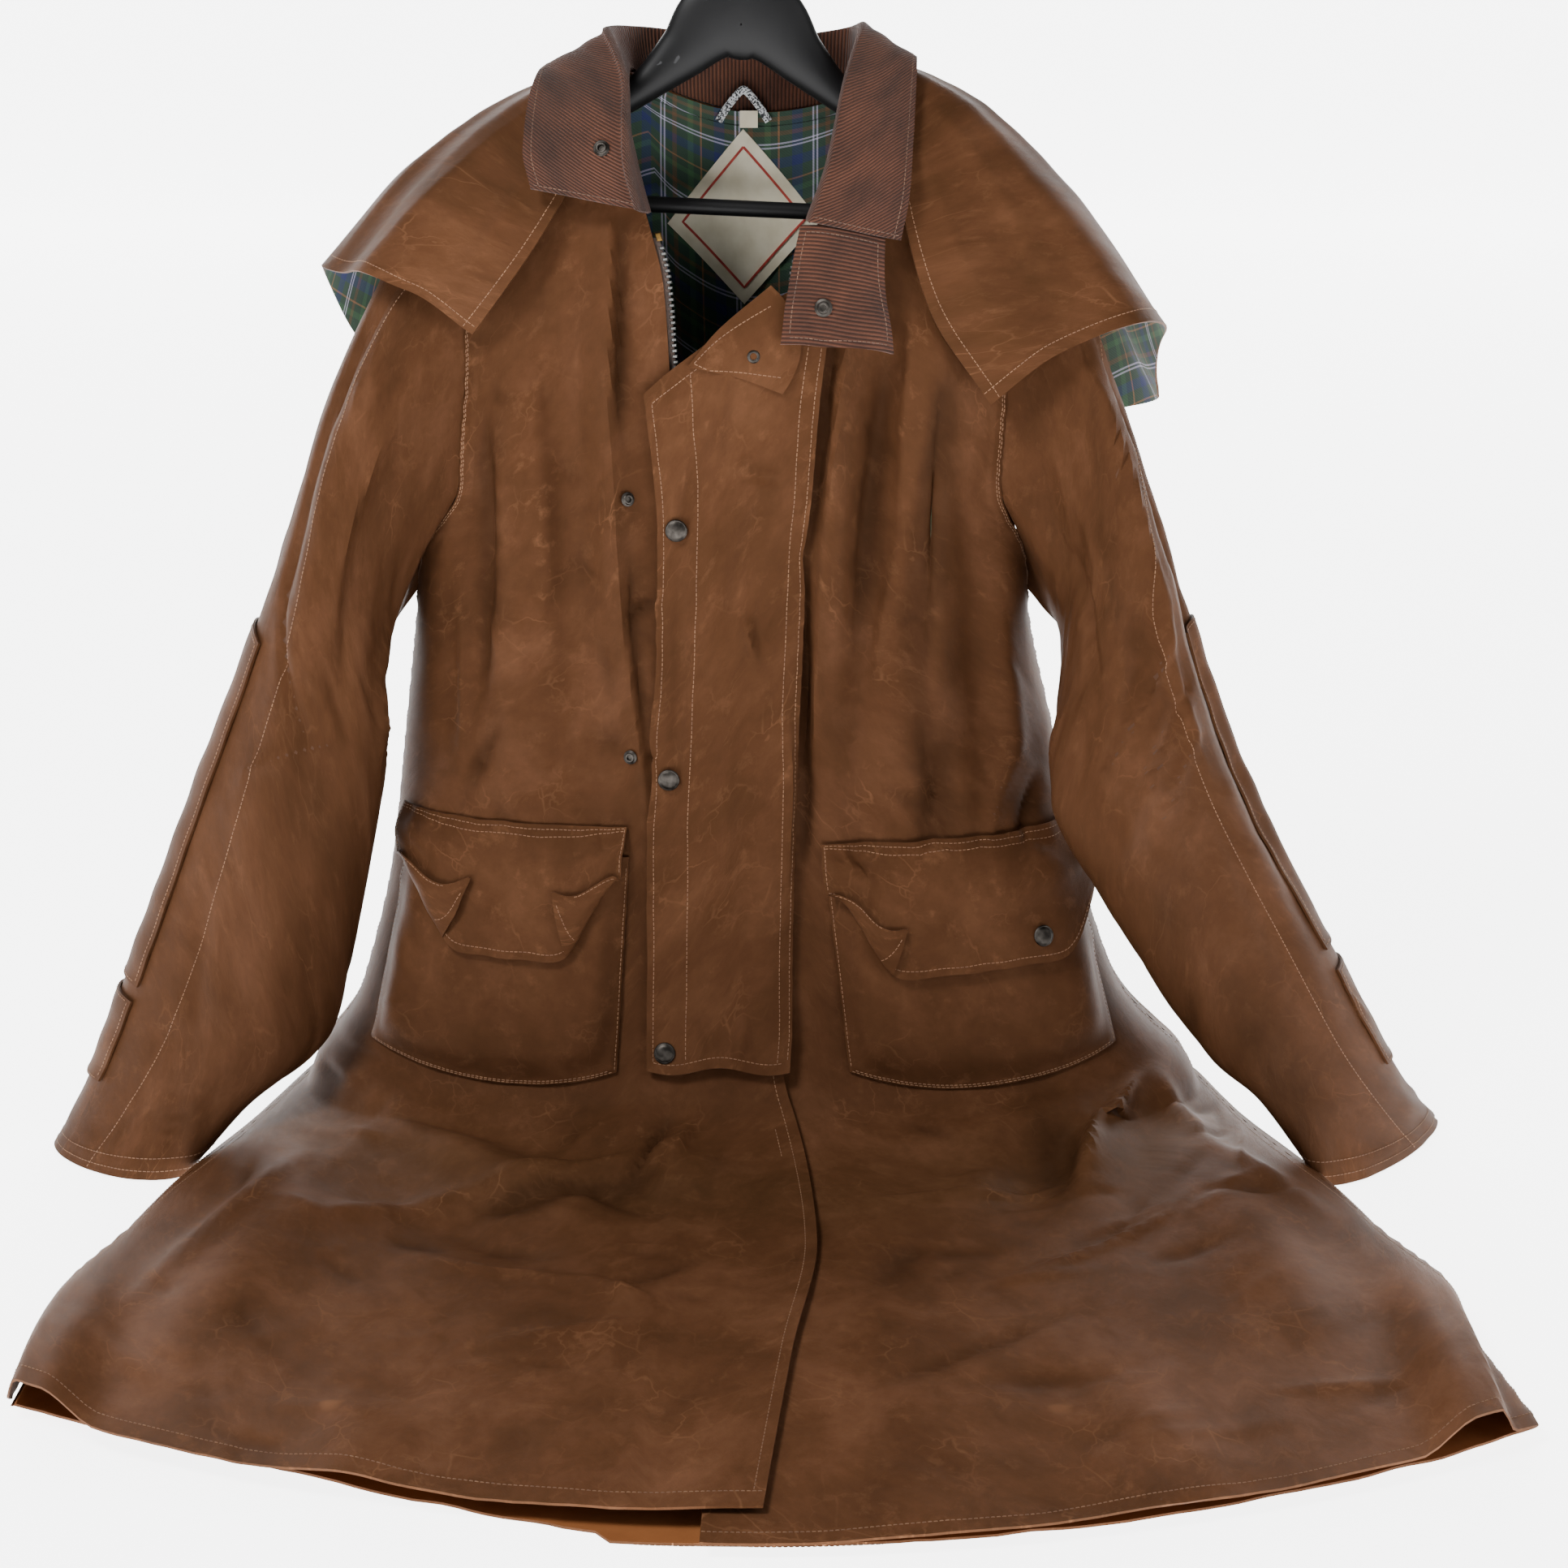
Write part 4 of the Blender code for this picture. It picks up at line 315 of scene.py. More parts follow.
def seam_angle(down):
    """The ring angle at which a panel stops, half a seam gap short of the side seam."""
    length = np.hypot(
        eased(BODY["down"], BODY["y_front"] - BODY["y_back"], down),
        eased(BODY["down"], BODY["z_front"] - BODY["z_back"], down),
    )
    square = eased(BODY["down"], BODY["square"], down)
    bow = np.clip(SEAM_GAP / length, 0, 0.9)
    return np.arcsin((1 - bow**square) ** (1 / square))


def armhole_angle(down):
    """The ring angle at which a front is cut for the armhole, or its side seam below the underarm."""
    cut = np.radians(eased(BODY["down"], BODY["arm"], down))
    return np.minimum(cut, seam_angle(np.maximum(down, 0.02)))


def overlap(down):
    """How far the two fronts are parted in height where they lie over each other."""
    return ramp(LAP_FROM, LAP_FULL, down)


def shoulder_row(points, normal, face):
    """Part the shoulder seam: the top row of a panel stops just short of the shoulder line."""
    points[0, :, 1] = face * np.maximum(np.abs(points[0, :, 1]), SHOULDER_HALF_GAP)
    slope = np.array([0.0, face * 0.62, 0.78])
    normal[0] = slope


def front_angles(side, rows):
    """The ring angle of each column of a front, from the side seam by the sewing lines to the free edge."""
    edge = eased(FRONT_EDGES["down"], FRONT_EDGES["right" if side < 0 else "left"], rows)
    lines = RIGHT_LINES if side < 0 else LEFT_LINES
    stops = [side * armhole_angle(rows)]
    names = ("outer", "inner", "placket")
    stops += [angle_at(eased(lines["down"], lines[name], rows), rows) for name in names]
    stops.append(angle_at(edge, rows))
    columns = [stops[0]]
    counts = (SIDE_CELLS, POCKET_CELLS, STRIP_CELLS, PLACKET_CELLS)
    for start, end, cells in zip(stops[:-1], stops[1:], counts):
        columns += [start + (end - start) * (i + 1) / cells for i in range(cells)]
    return np.stack(columns if side < 0 else columns[::-1], axis=1)


def front_creases(side, x, down):
    """Height of a front's folded and crumpled cloth at a point, before it fades at seams."""
    raised = CREASE_DEPTH * crossing(CREASES, side, x, down)
    for row in STREWN:
        if row[0] == side:
            raised = raised + crossing(scattered(*row[1:]), 1, x, down)
    return raised + 0.0011 * ripple(x, down, 0.085, 7 + side) + 0.0005 * ripple(x, down, 0.033, 17 + side)


def front_grid(side, rows, hem):
    """Points, normals and x of a front. side is -1 for the wearer's right, 1 for the left."""
    rows = np.array(rows + [hem])
    angle = front_angles(side, rows)
    down = np.broadcast_to(rows[:, None], angle.shape)
    points = body(angle, down)
    base = outward(body, angle, down)
    normal = base.copy()
    near = 1 - ramp(0.02, 0.10, np.abs(points[..., 0] - 0.01))
    x = half_width(points[..., 0], down) * np.sin(angle)
    fade = ramp(0.0, 0.30, np.cos(angle)) * ramp(0.0, 0.06, down) * (1 - 0.85 * near * overlap(down))
    raised = front_creases(side, x, down) * fade
    rolled = ramp(1.10, 1.26, down) * ramp(0.430, 0.468, np.abs(x)) * (1 - ramp(0.484, 0.500, np.abs(x)))
    cells = np.linalg.norm(np.diff(points, axis=1), axis=-1)
    if side > 0:
        cells = cells[:, ::-1]
    in_from = np.concatenate([np.zeros((len(rows), 1)), np.cumsum(cells, axis=1)], axis=1)
    if side > 0:
        in_from = in_from[:, ::-1]
    strip = 0.0011 * (1 - ramp(0.010, 0.013, in_from)) * (down < UNDERARM_DOWN + 0.01)
    near_seam = np.exp(-((in_from / 0.014) ** 2))
    pucker = 0.0006 * np.sin(down * 2 * np.pi / 0.016 + 1.7 * np.sin(down * 70)) * near_seam
    points = points + normal * (raised + rolled * HEM_ROLL + strip + pucker)[..., None]
    points = points + normal * (-side * OVERLAP_LIFT * overlap(down) * near)[..., None]
    points[..., 2] = np.maximum(points[..., 2], 0.0016)
    free_from = cells.sum(axis=1, keepdims=True) - in_from
    wear = 0.32 + 75 * raised.clip(0) + 0.25 * strip / 0.0011 + 0.25 * ramp(0.95, 1.2, down)
    wear = wear + 0.45 * np.exp(-free_from / 0.006) + 0.45 * np.exp(-(hem - down) / 0.008)
    wear = wear + 0.2 * ripple(x, down, 0.16, 27 + side)
    shoulder_row(points, normal, -1)
    free = slice(1, None) if side < 0 else slice(None, -1)
    normal[1:, free] = grid_normals(points)[1:, free]
    normal[rows > UNDERARM_DOWN, 0 if side < 0 else -1] = (side, 0.0, 0.0)
    # tint is painted shade and light for the wax colour.
    return {
        "points": points, "normal": normal, "base": base, "down": rows, "x": x,
        "wear": wear, "tint": painted_shade_and_light(down, raised),
    }


def on_grid(panel, x, down, lift):
    """A point on the panel's own flat-faced cells at (x, down), moved out by lift, with its normal."""
    x, down, lift = (np.asarray(v, float) for v in np.broadcast_arrays(x, down, lift))
    rows = panel["down"]
    r = np.clip(np.searchsorted(rows, down, side="right") - 1, 0, len(rows) - 2)
    v = np.clip((down - rows[r]) / (rows[r + 1] - rows[r]), 0, 1)
    lines = panel["x"][r] * (1 - v)[..., None] + panel["x"][r + 1] * v[..., None]
    c = np.clip((lines <= x[..., None]).sum(-1) - 1, 0, lines.shape[-1] - 2)
    low = np.take_along_axis(lines, c[..., None], -1)[..., 0]
    high = np.take_along_axis(lines, c[..., None] + 1, -1)[..., 0]
    u = np.clip((x - low) / (high - low), 0, 1)
    made = []
    for key in ("points", "normal"):
        a, b = panel[key][r, c], panel[key][r, c + 1]
        d, e = panel[key][r + 1, c], panel[key][r + 1, c + 1]
        lower = a + (d - a) * v[..., None] + (e - d) * u[..., None]
        upper = a + (b - a) * u[..., None] + (e - b) * v[..., None]
        made.append(np.where((v >= u)[..., None], lower, upper))
    normal = unit(made[1])
    return made[0] + normal * lift[..., None], normal


def past_right(x, down):
    """0 on the right front, 1 on the left one, and the share of the way between them over the opening."""
    edge_right = eased(FRONT_EDGES["down"], FRONT_EDGES["right"], down)
    edge_left = eased(FRONT_EDGES["down"], FRONT_EDGES["left"], down)
    return np.clip((x - edge_right) / np.maximum(edge_left - edge_right, 1e-6), 0, 1)


def on_fronts(right, left, x, down, lift):
    """A point lifted from either front, or stretched over the opening between them, with its normal."""
    x, down, lift = np.broadcast_arrays(x, down, lift)
    edge_right = eased(FRONT_EDGES["down"], FRONT_EDGES["right"], down)
    edge_left = eased(FRONT_EDGES["down"], FRONT_EDGES["left"], down)
    share = past_right(x, down)[..., None]
    near, near_normal = on_grid(right, np.minimum(x, edge_right), down, lift)
    far, far_normal = on_grid(left, np.maximum(x, edge_left), down, lift)
    return near + (far - near) * share, unit(near_normal + (far_normal - near_normal) * share)


def back_grid(rows):
    """Points and normals of the back, its neck cut down in the middle."""
    share = np.linspace(-1, 1, BACK_CELLS + 1)
    spread = share * (0.75 + 0.25 * share**2)
    rows = np.array(rows + [HEM_DOWN])
    down = np.repeat(rows[:, None], len(share), axis=1)
    angle = np.pi + armhole_angle(down) * spread
    x = half_width(np.sin(angle), down) * np.sin(angle)
    neck = np.clip(1 - (x / BACK_NECK_HALF) ** 2, 0, 1) * BACK_NECK_DROP
    down = neck + down * (1 - neck * ramp(0.0, 0.3, 0.3 - down) / 0.3)
    hem = BACK_RIGHT_HEM_DOWN + (HEM_DOWN - BACK_RIGHT_HEM_DOWN) * ramp(-0.36, 0.03, x[-1])
    low = HEM_DOWN - HEM_BLEND
    down = np.where(down > low, low + (down - low) * (hem - low) / HEM_BLEND, down)
    points = body(angle, np.minimum(down, HEM_DOWN))
    base = outward(body, angle, np.minimum(down, HEM_DOWN))
    normal = base.copy()
    raised = CREASE_DEPTH * crossing(BACK_CREASES, 1, x, down)
    raised = raised + 0.0018 * ripple(x, down, 0.09, 33) + 0.0007 * ripple(x, down, 0.035, 34)
    raised = raised + crossing(scattered(221, 40, -0.24, 0.24, 0.30, 0.80, 1.4, 0.0034, 0.070), 1, x, down)
    raised = raised * ramp(0.0, 0.30, np.abs(np.cos(angle))) * ramp(0.10, 0.30, down)
    points = points + normal * raised[..., None]
    points[..., 2] = np.maximum(points[..., 2], 0.0004)
    points[0, :, 1] = np.maximum(points[0, :, 1], SHOULDER_HALF_GAP)
    sides = np.abs(x[0]) > BACK_NECK_HALF
    normal[0, sides] = np.array([0.0, 0.62, 0.78])
    below = rows > UNDERARM_DOWN
    normal[1:, 1:-1] = grid_normals(points)[1:, 1:-1]
    normal[below, 0] = (1.0, 0.0, 0.0)
    normal[below, -1] = (-1.0, 0.0, 0.0)
    wear = 0.32 + 70 * raised.clip(0) + 0.45 * np.exp(-(HEM_DOWN - down) / 0.008)
    # tint is painted shade and light for the wax colour.
    return {
        "points": points, "normal": normal, "base": base, "share": share,
        "wear": wear, "tint": painted_shade_and_light(down, raised),
    }


# Sleeves: rings from the armhole to the cuff. The outer and the inner point of each flattened ring,
# and its half depth across.
RIGHT_SLEEVE = table(
    "x_out y_out z_out x_in y_in z_in depth twist",
    ("head", -0.285, -0.010, 0.705, -0.293, -0.030, 0.412, 0.078, 6),
    ("biceps", -0.337, -0.040, 0.600, -0.296, -0.072, 0.380, 0.068, 24),
    ("above_elbow", -0.371, -0.062, 0.480, -0.290, -0.094, 0.344, 0.060, 30),
    ("elbow", -0.415, -0.076, 0.374, -0.294, -0.104, 0.300, 0.056, 32),
    ("below_elbow", -0.449, -0.088, 0.294, -0.308, -0.112, 0.236, 0.053, 32),
    ("forearm", -0.485, -0.098, 0.204, -0.324, -0.122, 0.162, 0.050, 32),
    ("lower", -0.512, -0.104, 0.140, -0.338, -0.130, 0.104, 0.049, 32),
    ("wrist", -0.536, -0.108, 0.080, -0.362, -0.144, 0.082, 0.046, 32),
    ("cuff_top", -0.556, -0.112, 0.036, -0.400, -0.158, 0.062, 0.042, 32),
    ("cuff", -0.576, -0.118, 0.002, -0.452, -0.168, 0.002, 0.040, 32),
)
LEFT_SLEEVE = table(
    "x_out y_out z_out x_in y_in z_in depth twist",
    ("head", 0.256, -0.012, 0.690, 0.238, -0.034, 0.4155, 0.074, -6),
    ("biceps", 0.292, -0.046, 0.585, 0.2365, -0.081, 0.372, 0.062, 41.5),
    ("above_elbow", 0.326, -0.070, 0.473, 0.225, -0.122, 0.345, 0.050, 66.5),
    ("elbow", 0.352, -0.082, 0.392, 0.224, -0.168, 0.304, 0.044, 64.5),
    ("below_elbow", 0.378, -0.092, 0.325, 0.241, -0.166, 0.268, 0.044, 64.5),
    ("forearm", 0.408, -0.100, 0.262, 0.272, -0.162, 0.222, 0.044, 64.5),
    ("lower", 0.464, -0.108, 0.161, 0.318, -0.162, 0.146, 0.046, 64.5),
    ("wrist", 0.500, -0.110, 0.095, 0.356, -0.172, 0.096, 0.044, 64.5),
    ("cuff_top", 0.532, -0.098, 0.040, 0.400, -0.182, 0.066, 0.040, 64.5),
    ("cuff", 0.564, -0.076, 0.002, 0.442, -0.187, 0.002, 0.038, 64.5),
)
# Largest creases of the sleeves, by ring number and the angle round the ring in degrees.
SLEEVE_FOLDS = table(
    "side ring_from turn_from ring_to turn_to height width",
    ("right_front_ridge", -1, 1.0, 60, 5.0, 75, 0.008, 0.28),
    ("right_front_trough", -1, 1.6, 105, 4.5, 115, -0.009, 0.30),
    ("right_forearm_ridge", -1, 4.0, 120, 8.0, 100, 0.007, 0.30),
    ("right_back_trough", -1, 2.0, 250, 7.0, 260, -0.008, 0.35),
    ("left_long_ridge", 1, 1.2, 42, 7.0, 50, 0.009, 0.26),
    ("left_long_trough", 1, 1.6, 18, 6.0, 22, -0.010, 0.22),
    ("left_elbow_crease", 1, 3.2, 70, 4.2, 130, -0.009, 0.24),
    ("left_elbow_ridge", 1, 4.0, 75, 5.2, 125, 0.008, 0.24),
    ("left_back_trough", 1, 2.0, 250, 7.0, 255, -0.008, 0.35),
)


def armhole_loop(side):
    """The armhole seam all round, from the shoulder by the front: its points, and the directions across it
    into the armhole.
    """
    downs = np.array(UPPER_ROWS)
    front = armhole_angle(downs)
    downs_round = np.concatenate([downs, downs[-2:0:-1]])
    angles = np.concatenate([front, np.pi - front[-2:0:-1]])
    angles[0] = np.pi / 2
    angles[len(downs) - 1] = np.pi / 2
    points = body(side * angles, downs_round)
    points[0] = (points[0, 0] + side * SHOULDER_HALF_GAP, 0.0, points[0, 2])
    normal = outward(body, side * angles, downs_round)
    run = unit(np.roll(points, -1, axis=0) - np.roll(points, 1, axis=0))
    away = unit(np.cross(run, normal))
    inward = points.mean(axis=0) - points
    away = np.where((away * inward).sum(axis=-1, keepdims=True) < 0, -away, away)
    away[0] = (side, 0.0, 0.0)
    return points, away


def seam_turns(seam):
    """The turn of each point of an armhole seam round the sleeve, always going on the same way."""
    centre = seam.mean(axis=0)
    turn = np.unwrap(np.arctan2(-(seam[:, 1] - centre[1]) / 0.09, (seam[:, 2] - centre[2]) / 0.16))
    turn = turn - turn[0]
    way = np.sign(turn[-1])
    step = np.maximum(np.diff(way * turn), 1.4 / len(turn))
    turn = np.concatenate([[0.0], np.cumsum(step)])
    return way * turn * 2 * np.pi * (1 - 1 / len(turn)) / turn[-1]


def sleeve_bumps(folds, side, depth, ring, degrees):
    """Height of a table's folds over a sleeve, at each ring number and each turn in degrees."""
    bump = 0.0
    for i in range(len(folds["side"])):
        fold = named_row(folds, i)
        if fold["side"] != side:
            continue
        along = np.clip((ring - fold["ring_from"]) / (fold["ring_to"] - fold["ring_from"]), 0, 1)
        held = fold["turn_from"] + (fold["turn_to"] - fold["turn_from"]) * along
        off = (degrees - held + 180) % 360 - 180
        fade = ramp(-1.0, 0.6, np.minimum(ring - fold["ring_from"], fold["ring_to"] - ring))
        bump = bump + depth * fold["height"] * fade * np.exp(-((np.radians(off) / fold["width"]) ** 2))
    return bump


def sleeve_grids(side):
    """Outer and inner points of a sleeve, rows from the armhole to the cuff, and the turn of each column."""
    rings = RIGHT_SLEEVE if side < 0 else LEFT_SLEEVE
    seam, away = armhole_loop(side)
    turn = seam_turns(seam)
    outs = np.stack([rings["x_out"], rings["y_out"], rings["z_out"]], axis=1)
    ins = np.stack([rings["x_in"], rings["y_in"], rings["z_in"]], axis=1)
    middle, half = (outs + ins) / 2, (outs - ins) / 2
    turned = (turn + np.radians(rings["twist"])[:, None])[..., None]
    depth = np.array([0, -1, 0]) * rings["depth"][:, None, None]
    lower = middle[:, None] + half[:, None] * np.cos(turned) + depth * np.sin(turned)
    first = seam + away * SEAM_GAP
    coarse = np.concatenate([first[None], lower])
    ring = np.linspace(0, len(coarse) - 1, SLEEVE_ROWS)
    low = np.minimum(ring.astype(int), len(coarse) - 2)
    t = (ring - low)[:, None, None]
    points = coarse[low] * (1 - t) + coarse[low + 1] * t
    for _ in range(60):
        points[1:-1] = (points[:-2] + 2 * points[1:-1] + points[2:]) / 4
    if side > 0:
        points, turn = points[:, ::-1], turn[::-1]
    base = grid_normals(points, tube=True)
    twist = np.interp(ring, np.arange(len(coarse)), np.concatenate([[0.0], rings["twist"]]))[:, None]
    ring = ring[:, None]
    degrees = np.degrees(turn)[None, :] + twist
    bump = sleeve_bumps(SLEEVE_FOLDS, side, SLEEVE_FOLD_DEPTH, ring, degrees)
    bump = bump + sleeve_bumps(SLEEVE_CREASES, side, SLEEVE_CREASE_DEPTH, ring, degrees)
    u, v = spread(points)
    share = (u - u[:, :1]) / (u[:, -1:] - u[:, :1])
    strewn = scattered(121 + side, 64, u.min(), u.max(), 0.10, v.max() - 0.02, 0.5, 0.0030, 0.05)
    small = 0.0014 * ripple(u, v, 0.07, 101 + side) + 0.0007 * ripple(u, v, 0.03, 111 + side)
    bump = bump + (small + crossing(strewn, 1, u, v)) * ramp(0, 0.08, share) * ramp(0, 0.08, 1 - share)
    patched = ramp(3.2, 3.5, ring) * (1 - ramp(8.4, 8.6, ring))
    bump = bump * (1 - 0.35 * patched) * ramp(0.0, 0.5, ring) - 0.0004 * (1 - ramp(9.6, 9.75, ring))
    points = points + base * bump[..., None]
    points[..., 2] = np.maximum(points[..., 2], 0.0005)
    inner = points - base * 0.0010
    inner[..., 2] = np.maximum(inner[..., 2], 0.0003)
    return points, inner, np.degrees(turn) + rings["twist"][-1]


# Cape: lines from its left front edge round the back to its right front edge, from the neck to the hem.
CAPE_NECK = table(
    "at x y z",
    ("left_front_edge", 0.00, 0.098, -0.048, 0.822),
    ("left_front", 0.08, 0.100, -0.032, 0.834),
    ("left_tip", 0.16, 0.103, -0.012, 0.850),
    ("left_shoulder", 0.22, 0.103, 0.006, 0.851),
    ("left_wing", 0.29, 0.098, 0.024, 0.846),
    ("left_blade", 0.38, 0.074, 0.044, 0.828),
    ("back", 0.50, 0.000, 0.054, 0.812),
    ("right_blade", 0.62, -0.086, 0.044, 0.828),
    ("right_wing", 0.71, -0.108, 0.024, 0.846),
    ("right_shoulder", 0.78, -0.114, 0.006, 0.851),
    ("right_tip", 0.84, -0.114, -0.012, 0.850),
    ("right_front", 0.92, -0.112, -0.032, 0.836),
    ("right_front_edge", 1.00, -0.112, -0.048, 0.822),
)
CAPE_UPPER = table(
    "at x y z",
    ("left_front_edge", 0.00, 0.106, -0.086, 0.757),
    ("left_front", 0.08, 0.135, -0.064, 0.785),
    ("left_tip", 0.16, 0.160, -0.026, 0.818),
    ("left_shoulder", 0.22, 0.165, 0.008, 0.818),
    ("left_wing", 0.29, 0.155, 0.040, 0.805),
    ("left_blade", 0.38, 0.112, 0.080, 0.760),
    ("back", 0.50, 0.000, 0.090, 0.735),
    ("right_blade", 0.62, -0.128, 0.080, 0.760),
    ("right_wing", 0.71, -0.170, 0.040, 0.808),
    ("right_shoulder", 0.78, -0.182, 0.008, 0.822),
    ("right_tip", 0.84, -0.180, -0.026, 0.820),
    ("right_front", 0.92, -0.168, -0.062, 0.787),
    ("right_front_edge", 1.00, -0.142, -0.084, 0.757),
)
CAPE_LOWER = table(
    "at x y z",
    ("left_front_edge", 0.00, 0.126, -0.104, 0.680),
    ("left_front", 0.08, 0.172, -0.088, 0.715),
    ("left_tip", 0.16, 0.228, -0.060, 0.738),
    ("left_shoulder", 0.22, 0.240, 0.004, 0.748),
    ("left_wing", 0.29, 0.228, 0.060, 0.730),
    ("left_blade", 0.38, 0.165, 0.104, 0.672),
    ("back", 0.50, 0.000, 0.112, 0.640),
    ("right_blade", 0.62, -0.188, 0.104, 0.672),
    ("right_wing", 0.71, -0.248, 0.060, 0.742),
    ("right_shoulder", 0.78, -0.262, 0.004, 0.772),
    ("right_tip", 0.84, -0.252, -0.044, 0.766),
    ("right_front", 0.92, -0.216, -0.082, 0.735),
    ("right_front_edge", 1.00, -0.178, -0.098, 0.702),
)
CAPE_HEM = table(
    "at x y z",
    ("left_front_edge", 0.00, 0.176, -0.092, 0.603),
    ("left_front", 0.08, 0.222, -0.098, 0.640),
    ("left_tip", 0.16, 0.280, -0.084, 0.660),
    ("left_shoulder", 0.22, 0.318, 0.000, 0.640),
    ("left_wing", 0.29, 0.322, 0.056, 0.580),
    ("left_blade", 0.38, 0.205, 0.118, 0.548),
    ("back", 0.50, 0.000, 0.128, 0.535),
    ("right_blade", 0.62, -0.235, 0.118, 0.560),
    ("right_wing", 0.71, -0.326, 0.060, 0.632),
    ("right_shoulder", 0.78, -0.338, 0.004, 0.692),
    ("right_tip", 0.84, -0.314, -0.044, 0.698),
    ("right_front", 0.92, -0.264, -0.082, 0.688),
    ("right_front_edge", 1.00, -0.214, -0.086, 0.655),
)
CAPE_LINES = ((0.0, CAPE_NECK), (0.34, CAPE_UPPER), (0.68, CAPE_LOWER), (1.0, CAPE_HEM))
CAPE_WAVES, CAPE_WAVE_DEPTH = 7, 0.007

# Collar: from its left tip round the back to its right tip. seam is its foot on the neck,
# fold its crease and edge the free edge of its leaf.
COLLAR = table(
    "at seam_x seam_y seam_z fold_x fold_y fold_z edge_x edge_y edge_z",
    ("left_tip", 0.00, 0.042, -0.092, 0.746, 0.036, -0.103, 0.743, 0.106, -0.106, 0.727),
    ("left_low", 0.10, 0.060, -0.072, 0.780, 0.050, -0.092, 0.780, 0.112, -0.100, 0.757),
    ("left_mid", 0.20, 0.076, -0.044, 0.818, 0.064, -0.058, 0.838, 0.116, -0.070, 0.800),
    ("left_side", 0.32, 0.084, -0.006, 0.841, 0.076, -0.010, 0.872, 0.120, -0.014, 0.852),
    ("left_back", 0.42, 0.066, 0.034, 0.8206, 0.070, 0.040, 0.868, 0.104, 0.078, 0.818),
    ("back", 0.51, 0.000, 0.0484, 0.8062, 0.000, 0.052, 0.858, 0.000, 0.094, 0.790),
    ("right_back", 0.60, -0.078, 0.034, 0.8285, -0.084, 0.040, 0.868, -0.120, 0.078, 0.818),
    ("right_side", 0.70, -0.096, -0.006, 0.844, -0.110, -0.010, 0.872, -0.162, -0.014, 0.845),
    ("right_mid", 0.81, -0.096, -0.044, 0.818, -0.094, -0.062, 0.836, -0.170, -0.064, 0.818),
    ("right_low", 0.91, -0.088, -0.072, 0.780, -0.092, -0.094, 0.788, -0.172, -0.088, 0.790),
    ("right_tip", 1.00, -0.078, -0.092, 0.746, -0.084, -0.104, 0.748, -0.166, -0.098, 0.764),
)
COLLAR_FOLD = 0.0095


def across_table(rows, name, at):
    """Points of a table's x, y and z at shares along it. name is what stands before each axis."""
    return np.stack([eased(rows["at"], rows[name + axis], at) for axis in "xyz"], axis=-1)


def cape_grid(columns, rows):
    """The cape's outer points."""
    at = np.linspace(0, 1, columns)
    knots = [across_table(line, "", at) for _, line in CAPE_LINES]
    stations = np.array([share for share, _ in CAPE_LINES])
    shares = np.linspace(0, 1, rows)
    grid = np.zeros((rows, columns, 3))
    for c in range(columns):
        for axis in range(3):
            grid[:, c, axis] = eased(stations, np.array([knot[c, axis] for knot in knots]), shares)
    wave = np.sin(at * np.pi * 2 * CAPE_WAVES) * ramp(0.0, 0.12, at) * ramp(0.0, 0.12, 1 - at)
    swell = CAPE_WAVE_DEPTH * wave[None, :] * ramp(0.35, 1.0, shares)[:, None]
    return grid + grid_normals(grid) * swell[..., None]


def collar_grid(columns):
    """The collar's outer points: up the stand from the neck seam, over the fold and down the leaf."""
    at = np.linspace(0, 1, columns)
    seam, fold, edge = (across_table(COLLAR, name, at) for name in ("seam_", "fold_", "edge_"))
    leaf = unit(edge - fold)
    stand = unit(fold - seam)
    out = unit(leaf - (leaf * stand).sum(axis=-1, keepdims=True) * stand)
    far = fold + out * COLLAR_FOLD
    top = fold + out * COLLAR_FOLD * 0.5 + stand * COLLAR_FOLD * 0.4
    rows = [seam, (seam + fold) / 2, fold, top, far]
    for share in (0.35, 0.7, 1.0):
        rows.append(far + (edge - far) * share)
    return np.stack(rows, axis=0)


# Pockets and flaps: x of the two ends, and the distance down, of each edge.
POCKETS = table(
    "top_from top_to top_down foot_from foot_to foot_down sag",
    ("pocket_right", -0.279, -0.101, 0.582, -0.312, -0.112, 0.752, 0.022),
    ("pocket_left", 0.053, 0.250, 0.594, 0.072, 0.286, 0.750, 0.022),
)
FLAPS = table(
    "top_from top_to top_down top_lift foot_from foot_to foot_down cut_from cut_to sag",
    ("flap_right", -0.283, -0.102, 0.560, 0.0030, -0.278, -0.106, 0.655, 0.040, 0.040, 0.006),
    ("flap_left", 0.050, 0.252, 0.572, 0.0046, 0.054, 0.256, 0.668, 0.045, 0.012, 0.004),
)
POCKET_DEPTH, POCKET_MOUTH = 0.020, 0.010
POCKET_SHARES = (0.0, 0.035, 0.11, 0.25, 0.42, 0.58, 0.75, 0.89, 0.965, 1.0)
FLAP_LIFT = 0.0058
POCKET_ROOT = 0.0029
POCKET_THICK, FLAP_THICK = 0.0022, 0.0020


def named_row(rows, index):
    """One row of a table, by its column names."""
    return {name: values[index] for name, values in rows.items()}


def between(row, name, v):
    """A row's value between its top and its foot, at shares of the way down."""
    return row["top_" + name] + (row["foot_" + name] - row["top_" + name]) * v


def pocket_stand(v):
    """How far a pocket's front stands off the cloth, at shares of the way down it."""
    return POCKET_MOUTH + (POCKET_DEPTH - POCKET_MOUTH) * np.sin(np.pi * np.clip(v * 0.75, 0, 1))


